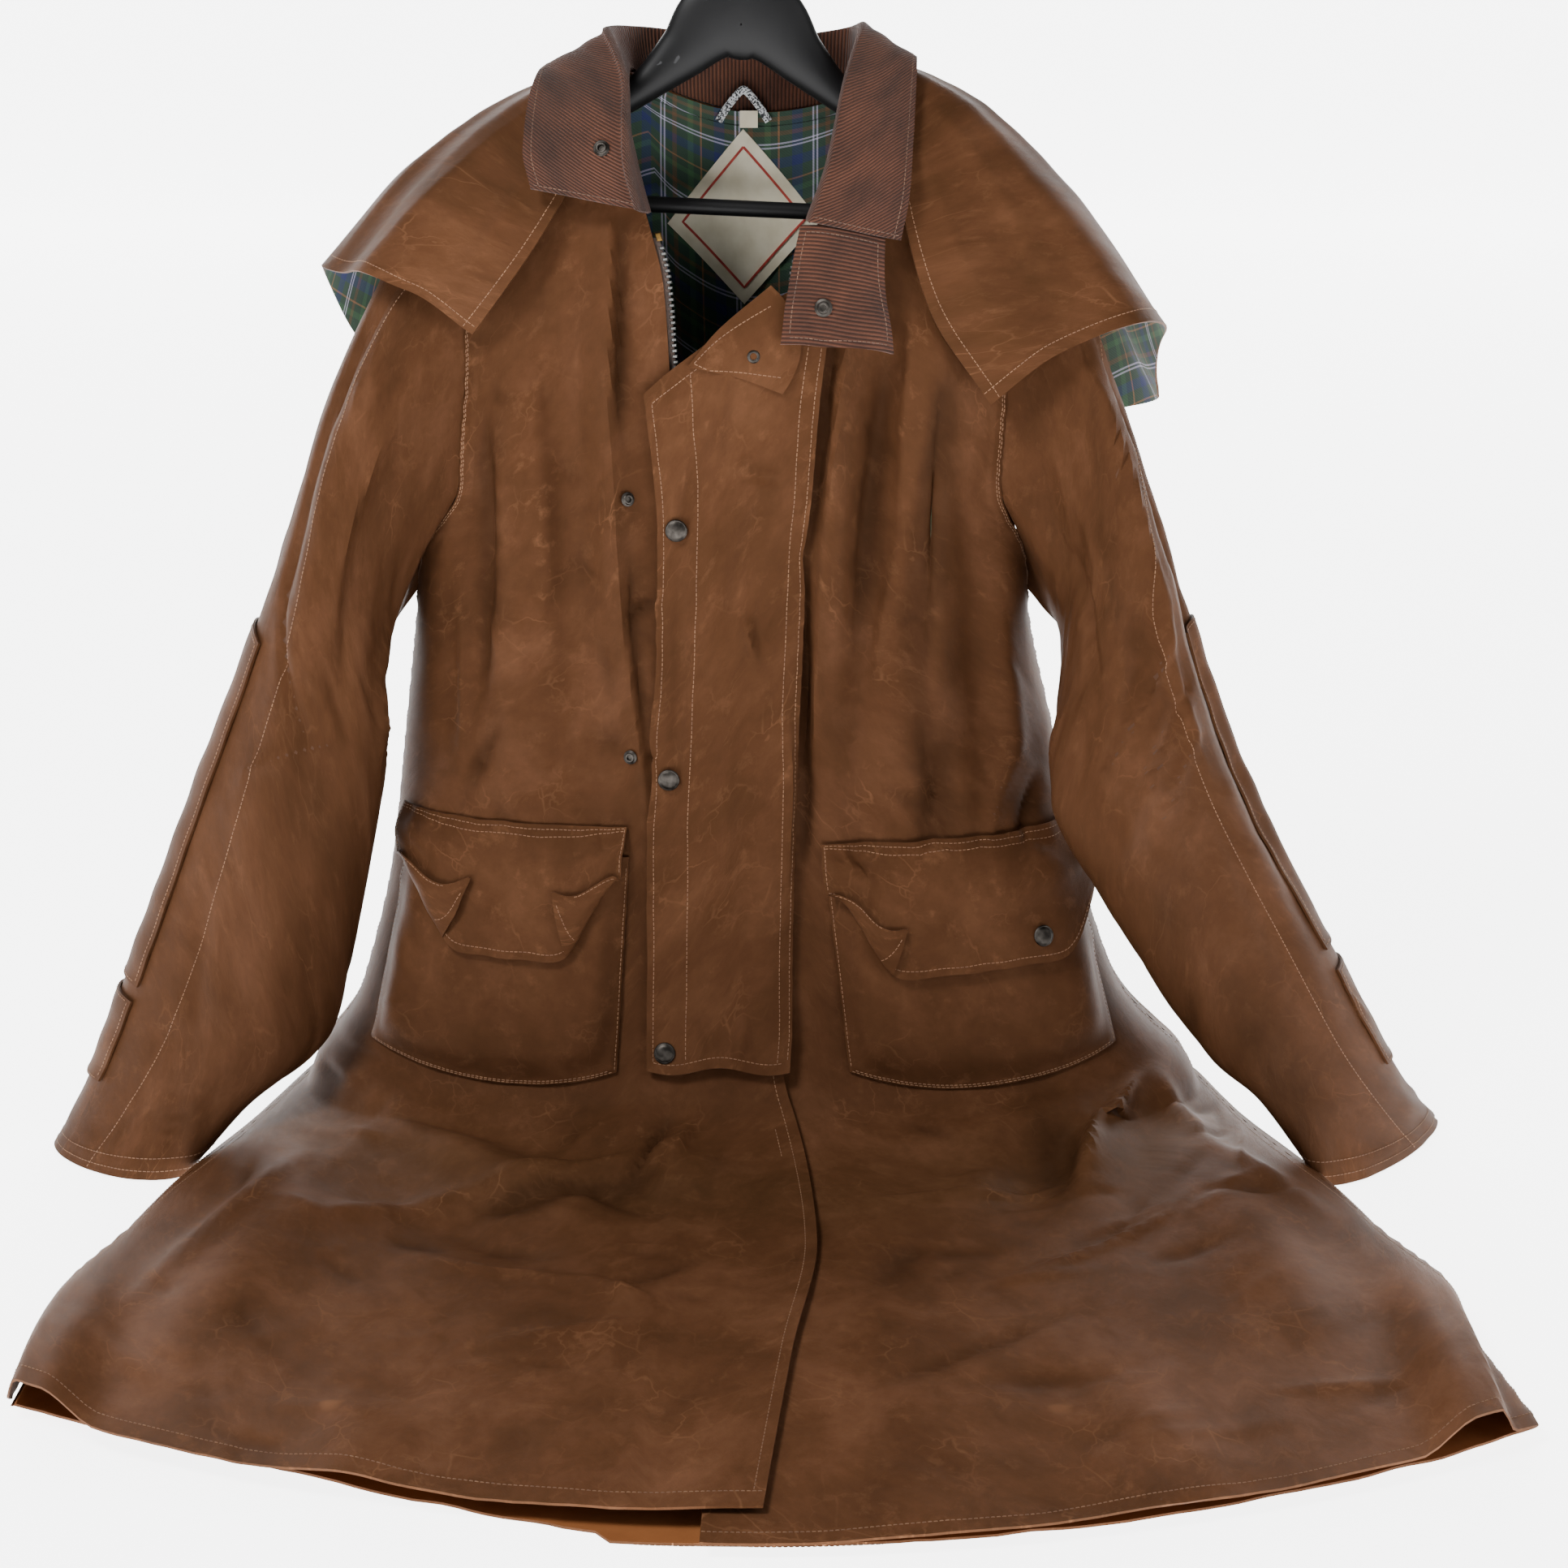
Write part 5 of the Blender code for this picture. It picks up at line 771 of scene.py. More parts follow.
def pocket_grid(row):
    """x, distance down and lift of a bellows pocket that stands off the cloth most at its foot."""
    drop = np.array([0.0, 0.2, 0.42, 0.64, 0.84, 0.96, 1.0])
    u, v = np.meshgrid(POCKET_SHARES, drop)
    x_from, x_to = between(row, "from", v), between(row, "to", v)
    down = between(row, "down", v) + row["sag"] * v**2 * (1 - (2 * u - 1) ** 2)
    rim = np.minimum(ramp(-0.01, 0.10, u), ramp(-0.01, 0.10, 1 - u))
    foot = ramp(-0.01, 0.14, 1 - v)
    lift = POCKET_ROOT + (pocket_stand(v) - POCKET_ROOT) * np.minimum(rim, foot)
    return x_from + (x_to - x_from) * u, down, lift


def pocket_lift(row, x, down):
    """Height of the pocket's front above the cloth at a point, for what lies on it."""
    v = np.clip((down - row["top_down"]) / (row["foot_down"] - row["top_down"]), 0, 1)
    x_from, x_to = between(row, "from", v), between(row, "to", v)
    u = np.clip((x - x_from) / (x_to - x_from), 0, 1)
    over = ramp(row["top_down"] - 0.016, row["top_down"], down)
    edge = np.minimum(ramp(-0.06, 0.05, u), ramp(-0.06, 0.05, 1 - u))
    return POCKET_ROOT + (pocket_stand(v) - POCKET_ROOT) * over * (0.35 + 0.65 * edge)


def flap_grid(row, pocket):
    """x, distance down and lift of a pocket flap whose lower corners are turned up."""
    drop = np.array([0.0, 0.14, 0.34, 0.56, 0.78, 1.0])
    u, v = np.meshgrid(POCKET_SHARES, drop)
    wide = row["foot_to"] - row["foot_from"]
    cut_from, cut_to = row["cut_from"] / wide, row["cut_to"] / wide
    near_from = ramp(-0.2, 1, 1 - u / max(cut_from, 0.01))
    near_to = ramp(-0.2, 1, 1 - (1 - u) / max(cut_to, 0.01))
    reach = np.maximum(1 - 0.62 * (near_from + near_to), 0.3)
    x_from, x_to = between(row, "from", v), between(row, "to", v)
    x = x_from + (x_to - x_from) * u
    sag = row["sag"] * np.sin(np.pi * u) * v
    down = row["top_down"] + (row["foot_down"] - row["top_down"]) * v * reach + sag
    lift = row["top_lift"] + pocket_lift(pocket, x, down) - POCKET_ROOT + FLAP_LIFT * ramp(-0.02, 0.3, v)
    return x, down, lift


PLACKET_TOP = table(
    "share down lift",
    ("free_edge", 0.0, 0.228, 0.0062),
    ("middle", 0.55, 0.176, 0.0085),
    ("seam", 1.0, 0.140, 0.0062),
)
PLACKET_FOOT, PLACKET_WIDE, PLACKET_THICK = 0.752, 0.118, 0.0026
PLACKET_COLUMNS, PLACKET_ROWS, PLACKET_DENT_LIMIT = 44, 128, 0.0048
PLACKET_ON_RIGHT, PLACKET_ON_LEFT = 0.0012, 0.0022
PLACKET_STITCHES = (0.035, 0.27, 0.915, 0.975)
CORNER_THICK, CORNER_COLUMNS = 0.0021, 34
# Outline of the placket's turned-down top corner, as x, distance down and lift.
TURNED_CORNER = table(
    "x down lift",
    ("fold_low", -0.0510, 0.209, 0.0126),
    ("fold_mid", -0.0285, 0.183, 0.0132),
    ("fold_high", 0.0105, 0.154, 0.0134),
    ("strip_high", 0.0314, 0.186, 0.0132),
    ("strip_low", 0.0182, 0.229, 0.0132),
    ("hem_mid", -0.0107, 0.218, 0.0132),
    ("hem_low", -0.0360, 0.212, 0.0132),
)

ZIP_TAPE_IN, ZIP_TAPE_EDGE, ZIP_TAPE_OUT, TAPE_THICK, TAPE_BEHIND = 0.009, 0.0008, 0.0052, 0.0012, 0.0018
ZIP_FROM, ZIP_TO = 0.118, 0.680

SNAPS = table(
    "x down lift radius height cap",
    ("snap_placket_1", -0.0610, 0.331, 0.0088, 0.0085, 0.0032, 1),
    ("snap_placket_2", -0.0690, 0.520, 0.0087, 0.0085, 0.0032, 1),
    ("snap_placket_3", -0.0730, 0.735, 0.0089, 0.0085, 0.0032, 1),
    ("snap_stud_1", -0.0985, 0.308, 0.0015, 0.0055, 0.0026, 0),
    ("snap_stud_2", -0.0985, 0.505, 0.0008, 0.0055, 0.0026, 0),
    ("snap_corner", -0.0030, 0.202, 0.0136, 0.0070, 0.0024, 0),
    ("snap_tab", 0.0510, 0.168, 0.0221, 0.0066, 0.0024, 0),
    ("snap_flap_left", 0.2140, 0.652, 0.0251, 0.0085, 0.0032, 1),
)
COLLAR_SNAP_NEAR = (-0.112, 0.791)
COLLAR_SNAP = {"lift": 0.0004, "radius": 0.0060, "height": 0.0022}
SNAP_RAISED = 0.0006
# Turned outlines of a cap and of a socket, as shares of the radius and of the height, from the foot up.
SNAP_CAP = (
    (0.86, 0.0), (0.96, 0.10), (1.0, 0.24), (0.98, 0.42), (0.93, 0.54), (0.90, 0.58), (0.86, 0.56),
    (0.82, 0.62), (0.72, 0.80), (0.54, 0.92), (0.30, 0.98), (0.08, 1.0),
)
SNAP_SOCKET = (
    (0.96, 0.0), (1.0, 0.12), (1.0, 0.36), (0.94, 0.46), (0.76, 0.50), (0.70, 0.60), (0.62, 0.96),
    (0.55, 1.0), (0.44, 1.0), (0.38, 0.92), (0.35, 0.40), (0.10, 0.36),
)

# Elbow patches and cuff tabs: the sleeve rings and turns (degrees round from the top) they cover.
SLEEVE_PATCHES = table(
    "side ring_from ring_to turn_from turn_to lift",
    ("elbow_patch_right", -1, 3.5, 6.9, -86, 40, 0.0030),
    ("cuff_tab_right", -1, 7.1, 8.4, -70, 40, 0.0030),
    ("elbow_patch_left", 1, 3.5, 6.9, -86, 30, 0.0027),
    ("cuff_tab_left", 1, 7.1, 8.4, -70, 30, 0.0025),
)

# Hanger: half the body, from the middle to the tip, as x from its middle and heights of its edges.
HANGER_MIDDLE = -0.012
HANGER = table(
    "x top high deep",
    ("middle", 0.000, 0.9195, 0.0355, 0.0085),
    ("hub", 0.022, 0.905, 0.0300, 0.0090),
    ("shoulder", 0.045, 0.872, 0.0200, 0.0095),
    ("neck", 0.085, 0.0, 0.0115, 0.0105),
    ("arm", 0.130, 0.0, 0.0110, 0.0130),
    ("arm_end", 0.175, 0.0, 0.0105, 0.0140),
    ("tip", 0.196, 0.0, 0.0090, 0.0120),
)
HANGER_ARM_FROM = 0.080
HANGER_BAR = table(
    "x z",
    ("bend", 0.160, 0.738),
    ("rise", 0.176, 0.742),
    ("root", 0.186, 0.752),
)
HANGER_BAR_RADIUS, HANGER_RIB_HIGH = 0.0062, 0.0016
HANGER_ROUND_FROM, HANGER_ROUND_LONG = 0.186, 0.0108
HANGER_TILT = math.radians(2.6)
REST_GAP, SHOULDER_UP, SHOULDER_SLOPE = 0.0012, 0.78, 0.80
HOOK_WIRE, HOOK_RADIUS, HOOK_FOOT = 0.0020, 0.021, 0.9198
HOOK_NECK = ((0.0012, 0.936), (0.003, 0.941))
HOOK_TURN = (-60, 205)

LINING_FROM, LINING_TO, LINING_HALF, LINING_THICK = 0.018, 0.280, 0.5, 0.0012
LABEL_MIDDLE, LABEL_HALF, LABEL_DEPTH, LABEL_THICK = (-0.012, 0.125), (0.061, 0.066), 0.0046, 0.0010
HANG_LOOP = (
    (-0.031, 0.800), (-0.024, 0.811), (-0.014, 0.8225), (-0.009, 0.8225), (0.001, 0.811), (0.008, 0.800),
)
LOOP_Y, LOOP_HALF_WIDE, LOOP_HALF_THICK = 0.0414, 0.0030, 0.0012
LABEL_CELLS, LABEL_INSET = 30, 3
SIZE_TAB_Y, SIZE_TAB_LEFT, SIZE_TAB_TOP, SIZE_TAB_WIDE, SIZE_TAB_LONG = 0.0423, -0.0145, 0.808, 0.014, 0.013
TAB = {
    "top_from": 0.031, "top_to": 0.092, "top_down": 0.115,
    "foot_from": 0.016, "foot_to": 0.088, "foot_down": 0.194,
    "lift_top": 0.0182, "lift_more": 0.0058, "thick": 0.0034,
}
PATCH_THICK = 0.0020


def tilted(x, z):
    """A point of the hanger, which hangs a little askew."""
    return (HANGER_MIDDLE + x * math.cos(HANGER_TILT), 0.0, z - x * math.sin(HANGER_TILT))


def arm_centre(x, high, deep):
    """Height of the hanger's arm at x from its middle, so that both shoulders of the coat rest on it."""
    heights = []
    for way in (-1, 1):
        at = HANGER_MIDDLE + way * x
        half = half_width(at, 0.0)
        sag = BODY["sag_right" if way < 0 else "sag_left"][0]
        inside = BODY["z_front"][0] - sag * (at / half) ** 2 - CLOTH / SHOULDER_UP - REST_GAP
        heights.append(inside + way * x * math.sin(HANGER_TILT))
    bow = (1 - (x / half) ** BODY["square"][0]) ** (1 / BODY["square"][0])
    return min(heights) - math.hypot(high, SHOULDER_SLOPE / bow * deep)


# Small forms that the finer cloth shows

# Folded-up corners of the flaps, as shares: columns of the fold's two ends, row and column of the tip.
FLAP_CORNERS = {
    "right": ((0.02, 0.31, 0.45, 0.405), (0.99, 0.67, 0.50, 0.63)),
    "left": ((0.02, 0.33, 0.64, 0.37),),
}
TURNED_THICK = 0.0012
# Where a sleeve's seam runs, in degrees round it, and the rows of its cuff's stitching from its end.
SLEEVE_SEAM = {-1: 66.0, 1: 58.0}
CUFF_STITCH_ROWS = (-3, -6)
SLEEVE_RINGS = 10
SLEEVE_CREASES = table(
    "side ring_from turn_from ring_to turn_to height width",
    ("right_elbow_1", -1, 3.0, 40, 3.8, 95, -0.0045, 0.10),
    ("right_elbow_2", -1, 3.6, 110, 4.4, 60, 0.0040, 0.10),
    ("right_upper_1", -1, 0.8, 80, 2.2, 92, 0.0040, 0.09),
    ("right_upper_2", -1, 0.9, 30, 2.6, 40, -0.0035, 0.12),
    ("right_lower_1", -1, 5.6, 60, 7.0, 78, -0.0030, 0.09),
    ("right_under", -1, 1.2, 150, 3.0, 160, 0.0050, 0.12),
    ("left_ridge_lip", 1, 1.0, 50, 4.4, 56, 0.0040, 0.08),
    ("left_upper_1", 1, 0.8, 95, 2.4, 90, 0.0040, 0.10),
    ("left_upper_2", 1, 1.2, 115, 3.0, 108, -0.0040, 0.10),
    ("left_elbow_1", 1, 3.4, 60, 3.9, 112, 0.0050, 0.09),
    ("left_elbow_2", 1, 3.8, 50, 4.5, 100, -0.0045, 0.09),
    ("left_elbow_3", 1, 4.3, 55, 5.0, 92, 0.0035, 0.08),
    ("left_lower_1", 1, 5.6, 70, 7.4, 84, 0.0030, 0.10),
)
BACK_CREASES = table(
    "side x_from down_from x_to down_to height width",
    ("centre_line", 1, 0.004, 0.16, 0.002, 0.70, 0.0030, 0.0060),
    ("blade_right", 1, -0.170, 0.30, -0.120, 0.52, 0.0045, 0.0120),
    ("blade_left", 1, 0.165, 0.28, 0.115, 0.50, -0.0045, 0.0120),
    ("seat_right", 1, -0.240, 0.60, -0.160, 0.76, 0.0045, 0.0130),
    ("seat_left", 1, 0.210, 0.58, 0.130, 0.75, 0.0045, 0.0130),
    ("cross_1", 1, -0.150, 0.70, 0.060, 0.735, -0.0040, 0.0100),
    ("cross_2", 1, -0.050, 0.75, 0.190, 0.715, 0.0036, 0.0100),
    ("long_1", 1, -0.060, 0.34, -0.045, 0.66, 0.0040, 0.0110),
    ("long_2", 1, 0.095, 0.36, 0.100, 0.64, 0.0040, 0.0110),
)
CAPE_CREASES = table(
    "side x_from down_from x_to down_to height width",
    ("front_left_1", 1, 0.055, 0.08, 0.050, 0.30, 0.0024, 0.010),
    ("front_left_2", 1, 0.110, 0.05, 0.120, 0.28, 0.0034, 0.012),
    ("shoulder_left", 1, 0.200, 0.04, 0.210, 0.30, 0.0034, 0.012),
    ("wing_left", 1, 0.290, 0.06, 0.275, 0.30, 0.0050, 0.012),
    ("back_left", 1, 0.380, 0.10, 0.390, 0.30, 0.0040, 0.014),
    ("back_middle", 1, 0.490, 0.12, 0.480, 0.30, 0.0036, 0.012),
    ("back_right", 1, 0.590, 0.08, 0.610, 0.30, 0.0044, 0.014),
    ("wing_right", 1, 0.700, 0.06, 0.720, 0.30, 0.0048, 0.012),
    ("shoulder_right", 1, 0.790, 0.04, 0.800, 0.30, 0.0036, 0.012),
    ("front_right_1", 1, 0.880, 0.05, 0.870, 0.30, 0.0034, 0.012),
    ("front_right_2", 1, 0.940, 0.08, 0.955, 0.30, 0.0026, 0.010),
)
# Crumples strewn over areas of the fronts: side, seed, how many, x from and to, down from and to,
# lean, height and length.
STREWN = (
    (-1, 201, 16, -0.24, -0.09, 0.20, 0.56, 1.3, 0.0026, 0.050),
    (-1, 202, 12, -0.28, -0.10, 0.50, 0.58, 0.9, 0.0030, 0.040),
    (-1, 203, 26, -0.40, 0.00, 0.82, 1.06, 0.4, 0.0036, 0.070),
    (-1, 204, 18, -0.46, 0.00, 1.04, 1.26, 0.2, 0.0024, 0.080),
    (1, 211, 18, 0.05, 0.20, 0.22, 0.58, 1.4, 0.0026, 0.050),
    (1, 212, 16, 0.06, 0.25, 0.50, 0.59, 0.8, 0.0032, 0.040),
    (1, 213, 26, 0.05, 0.40, 0.82, 1.06, 2.8, 0.0034, 0.070),
    (1, 214, 18, 0.05, 0.48, 1.04, 1.28, 2.9, 0.0024, 0.080),
)


# Fine forms: the same panels with many more cells, and the creases of worn waxed cloth

# Sharp and soft creases of the fronts, as x and distance down of their two ends.
CREASES = table(
    "side x_from down_from x_to down_to height width",
    ("right_pleat_lip", -1, -0.108, 0.08, -0.109, 0.26, 0.0030, 0.0045),
    ("right_pleat_lip_2", -1, -0.109, 0.26, -0.100, 0.42, 0.0032, 0.0045),
    ("right_pleat_lip_3", -1, -0.100, 0.42, -0.086, 0.55, 0.0026, 0.0050),
    ("right_pleat_dark", -1, -0.100, 0.10, -0.101, 0.27, -0.0040, 0.0060),
    ("right_pleat_dark_2", -1, -0.098, 0.34, -0.088, 0.50, -0.0035, 0.0060),
    ("right_pinch", -1, -0.098, 0.395, -0.078, 0.385, -0.0035, 0.0050),
    ("right_pinch_2", -1, -0.090, 0.510, -0.070, 0.500, -0.0030, 0.0045),
    ("right_soft_1", -1, -0.170, 0.20, -0.160, 0.46, 0.0030, 0.0120),
    ("right_soft_2", -1, -0.205, 0.24, -0.215, 0.46, -0.0045, 0.0100),
    ("right_soft_3", -1, -0.235, 0.36, -0.232, 0.54, 0.0035, 0.0090),
    ("right_fan_1", -1, -0.200, 0.48, -0.240, 0.56, -0.0028, 0.0070),
    ("right_fan_2", -1, -0.130, 0.44, -0.150, 0.55, 0.0022, 0.0080),
    ("left_ridge_lip", 1, 0.068, 0.16, 0.052, 0.33, 0.0042, 0.0055),
    ("left_ridge_lip_2", 1, 0.052, 0.33, 0.040, 0.52, 0.0036, 0.0055),
    ("left_seam_shadow", 1, 0.058, 0.19, 0.040, 0.34, -0.0050, 0.0070),
    ("left_seam_shadow_2", 1, 0.036, 0.36, 0.036, 0.58, -0.0060, 0.0065),
    ("left_valley_1", 1, 0.100, 0.20, 0.078, 0.42, -0.0035, 0.0085),
    ("left_ridge_2", 1, 0.118, 0.16, 0.110, 0.34, 0.0040, 0.0080),
    ("left_ridge_3", 1, 0.110, 0.34, 0.088, 0.48, 0.0036, 0.0060),
    ("left_valley_2", 1, 0.140, 0.22, 0.118, 0.44, -0.0070, 0.0120),
    ("left_valley_3", 1, 0.118, 0.44, 0.150, 0.58, -0.0045, 0.0120),
    ("left_pinch_1", 1, 0.150, 0.50, 0.128, 0.585, -0.0035, 0.0060),
    ("left_pinch_2", 1, 0.205, 0.50, 0.178, 0.585, 0.0036, 0.0060),
    ("left_pinch_3", 1, 0.220, 0.53, 0.206, 0.59, -0.0034, 0.0055),
    ("left_under_arm", 1, 0.190, 0.40, 0.205, 0.52, 0.0040, 0.0110),
    ("skirt_ledge_right", -1, -0.060, 0.83, -0.200, 0.92, 0.0050, 0.0110),
    ("skirt_ledge_right_2", -1, -0.200, 0.92, -0.330, 1.01, 0.0045, 0.0140),
    ("skirt_under_ledge", -1, -0.075, 0.87, -0.215, 0.96, -0.0050, 0.0130),
    ("skirt_pinch_1", -1, -0.070, 0.80, -0.098, 0.875, -0.0055, 0.0060),
    ("skirt_pinch_2", -1, -0.050, 0.79, -0.070, 0.88, 0.0045, 0.0060),
    ("skirt_pinch_3", -1, -0.110, 0.80, -0.150, 0.86, 0.0040, 0.0100),
    ("skirt_pinch_4", -1, -0.020, 0.80, -0.040, 0.92, -0.0030, 0.0070),
    ("skirt_cross_right", -1, -0.240, 1.03, -0.100, 1.04, 0.0026, 0.0060),
    ("skirt_cross_right_2", -1, -0.100, 1.04, -0.020, 0.99, -0.0026, 0.0070),
    ("skirt_cross_right_3", -1, -0.190, 1.13, -0.060, 1.08, 0.0022, 0.0080),
    ("skirt_long_right", -1, -0.350, 0.93, -0.440, 1.16, 0.0040, 0.0120),
    ("skirt_ledge_left", 1, 0.300, 0.80, 0.262, 0.86, 0.0070, 0.0080),
    ("skirt_ledge_left_2", 1, 0.262, 0.86, 0.250, 0.93, 0.0060, 0.0080),
    ("skirt_under_left", 1, 0.235, 0.84, 0.230, 0.94, -0.0055, 0.0120),
    ("skirt_line_left", 1, 0.090, 0.915, 0.245, 0.92, 0.0028, 0.0050),
    ("skirt_line_left_2", 1, 0.180, 1.05, 0.330, 0.99, 0.0024, 0.0055),
    ("skirt_line_left_3", 1, 0.330, 0.99, 0.420, 1.03, -0.0024, 0.0055),
    ("skirt_side_left", 1, 0.318, 0.80, 0.352, 0.94, 0.0050, 0.0110),
    ("skirt_side_left_2", 1, 0.352, 0.94, 0.425, 1.06, 0.0045, 0.0120),
    ("skirt_dent_left", 1, 0.048, 0.93, 0.040, 0.99, -0.0036, 0.0080),
    ("skirt_low_left", 1, 0.080, 1.16, 0.220, 1.10, -0.0020, 0.0070),
)
# Creases of the placket: share of its width from the free edge, and distance down.
PLACKET_CREASES = table(
    "side x_from down_from x_to down_to height width",
    ("big_dent", 1, 0.74, 0.305, 0.53, 0.400, -0.0050, 0.0100),
    ("big_dent_lip", 1, 0.52, 0.285, 0.80, 0.292, 0.0034, 0.0060),
    ("second_dent", 1, 0.90, 0.330, 0.70, 0.425, -0.0048, 0.0080),
    ("second_lip", 1, 0.62, 0.395, 0.72, 0.430, 0.0040, 0.0050),
    ("upper_diagonal", 1, 0.50, 0.200, 0.38, 0.290, 0.0024, 0.0060),
    ("upper_diagonal_2", 1, 0.30, 0.270, 0.12, 0.350, -0.0022, 0.0060),
    ("long_soft", 1, 0.16, 0.360, 0.18, 0.560, -0.0020, 0.0090),
    ("long_soft_2", 1, 0.52, 0.450, 0.56, 0.640, 0.0018, 0.0110),
    ("seam_bulge", 1, 0.95, 0.470, 0.96, 0.600, 0.0030, 0.0080),
    ("foot_pucker", 1, 0.35, 0.700, 0.50, 0.740, -0.0022, 0.0080),
    ("foot_pucker_2", 1, 0.70, 0.705, 0.62, 0.745, 0.0022, 0.0080),
)


def painted_shade_and_light(down, raised):
    """Painted shade and light, as shares of red, green and blue: painted shade at the skirt's bend and in the
    troughs of folds, and painted light making the skirt paler down to the hem.
    """
    # bend and folded are painted shade; low and skirt are painted light on the skirt that lies on the floor.
    bend = np.exp(-(((down - 0.90) / 0.055) ** 2))[..., None]
    low = ramp(0.98, 1.22, down)[..., None]
    folded = 1 - 0.35 * np.clip(-raised / 0.004, 0, 1)[..., None]
    skirt = ramp(0.74, 0.86, down)[..., None]
    shade = 1 + bend * np.array([-0.10, -0.03, -0.06]) + low * np.array([0.36, 0.38, 0.42]) + 0.34 * skirt
    return shade * folded


def crossing(rows, side, x, down, stretch=1.0):
    """Height of the creases at a point, each with a narrow crest and wide feet, fading at its two ends."""
    total = np.zeros(np.broadcast(x, down).shape)
    for i in range(len(rows["height"])):
        if rows["side"][i] != side:
            continue
        start = (rows["x_from"][i] * stretch, rows["down_from"][i])
        run = (rows["x_to"][i] * stretch - start[0], rows["down_to"][i] - start[1])
        along = (x - start[0]) * run[0] + (down - start[1]) * run[1]
        held = np.clip(along / (run[0] ** 2 + run[1] ** 2), 0, 1)
        away = np.hypot(x - start[0] - held * run[0], down - start[1] - held * run[1]) / rows["width"][i]
        total = total + rows["height"][i] * (0.25 + 0.75 * np.sin(np.pi * held)) / (1 + away**2) ** 1.6
    return total


def scattered(seed, count, x_from, x_to, down_from, down_to, lean, height, long):
    """A table of small creases strewn over an area. lean is their usual direction, in radians from level."""
    dice = np.random.default_rng(seed)
    x = dice.uniform(x_from, x_to, count)
    down = dice.uniform(down_from, down_to, count)
    way = lean + dice.normal(0, 0.55, count)
    reach = long * dice.uniform(0.4, 1.3, count)
    return {
        "side": np.ones(count), "x_from": x, "down_from": down,
        "x_to": x + np.cos(way) * reach, "down_to": down + np.sin(way) * reach,
        "height": height * dice.choice([-1.0, 1.0], count) * dice.uniform(0.4, 1.2, count),
        "width": dice.uniform(0.004, 0.010, count),
    }


def ripple(u, v, long, seed):
    """Soft uneven waves, from -1 to 1, about as long as given."""
    dice = np.random.default_rng(seed)
    total = 0.0
    for _ in range(6):
        way = dice.uniform(0, 2 * np.pi)
        rate = 2 * np.pi / (long * dice.uniform(0.6, 1.7))
        across = 2 * np.pi * (u * np.sin(way) - v * np.cos(way)) / (3.1 * long)
        bend = 0.35 * long * np.sin(across + dice.uniform(0, 6))
        total = total + np.sin(rate * (u * np.cos(way) + v * np.sin(way) + bend) + dice.uniform(0, 6))
    return total / 6


def smooth_rows(grid, count):
    """A grid with count rows, on a smooth curve through the rows it has."""
    at = np.linspace(0, len(grid) - 1, count)
    i = np.minimum(at.astype(int), len(grid) - 2)
    t = (at - i).reshape((-1,) + (1,) * (grid.ndim - 1))
    before, after = 2 * grid[0] - grid[1], 2 * grid[-1] - grid[-2]
    longer = np.concatenate([before[None], grid, after[None]])
    p = [longer[i + k] for k in range(4)]
    return 0.5 * (
        2 * p[1] + (p[2] - p[0]) * t + (2 * p[0] - 5 * p[1] + 4 * p[2] - p[3]) * t**2
        + (3 * p[1] - p[0] - 3 * p[2] + p[3]) * t**3
    )


def finer(grid, rows, columns):
    return np.swapaxes(smooth_rows(np.swapaxes(smooth_rows(grid, rows), 0, 1), columns), 0, 1)


def soften(grid, passes):
    """A grid with its small steps smoothed away, along both ways."""
    grid = grid.copy()
    for _ in range(passes):
        grid[:, 1:-1] = (grid[:, :-2] + 2 * grid[:, 1:-1] + grid[:, 2:]) / 4
        grid[1:-1] = (grid[:-2] + 2 * grid[1:-1] + grid[2:]) / 4
    return grid


def spread(grid):
    """Flat coordinates of a grid in metres: across and down, along the cloth."""
    across = np.linalg.norm(np.diff(grid, axis=1), axis=-1)
    along = np.linalg.norm(np.diff(grid, axis=0), axis=-1)
    u = np.concatenate([np.zeros((len(grid), 1)), np.cumsum(across, axis=1)], axis=1)
    u = u - u[:, [u.shape[1] // 2]]
    v = np.concatenate([np.zeros((1, grid.shape[1])), np.cumsum(along, axis=0)])
    return u, v


def sizes(grid, tube):
    """Flat width, length and area of a grid, as it was cut."""
    u, v = spread(grid)
    closing = np.linalg.norm(grid[:, 0] - grid[:, -1], axis=-1) if tube else 0.0
    wide = float((u[:, -1] - u[:, 0] + closing).max())
    long = float(v[-1].max())
    rows = np.concatenate([grid, grid[:, :1]], axis=1) if tube else grid
    across, along = rows[:-1, 1:] - rows[:-1, :-1], rows[1:, :-1] - rows[:-1, :-1]
    area = float(np.linalg.norm(np.cross(across, along), axis=-1).sum())
    wide, long = round(wide, 4), round(long, 4)
    return wide, long, round(min(max(area, 0.31 * wide * long), 0.99 * wide * long), 7)


# Cloth walls and other meshes


def show(made, nodes=()):
    """Put a finished piece on the one body, in place of its solids."""
    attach(made, "root")
    if nodes:
        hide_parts(*nodes)
    return made


def show_cloth(made, node):
    """Show a cloth piece in place of its part."""
    show(made, (node,))
    return made


def placed(name, mesh, sharp):
    """An object of a mesh, smooth but for edges sharper than the angle given in degrees."""
    mesh.shade_smooth()
    mesh.set_sharp_from_angle(angle=math.radians(sharp))
    made = bpy.data.objects.new(name, mesh)
    bpy.context.scene.collection.objects.link(made)
    return made


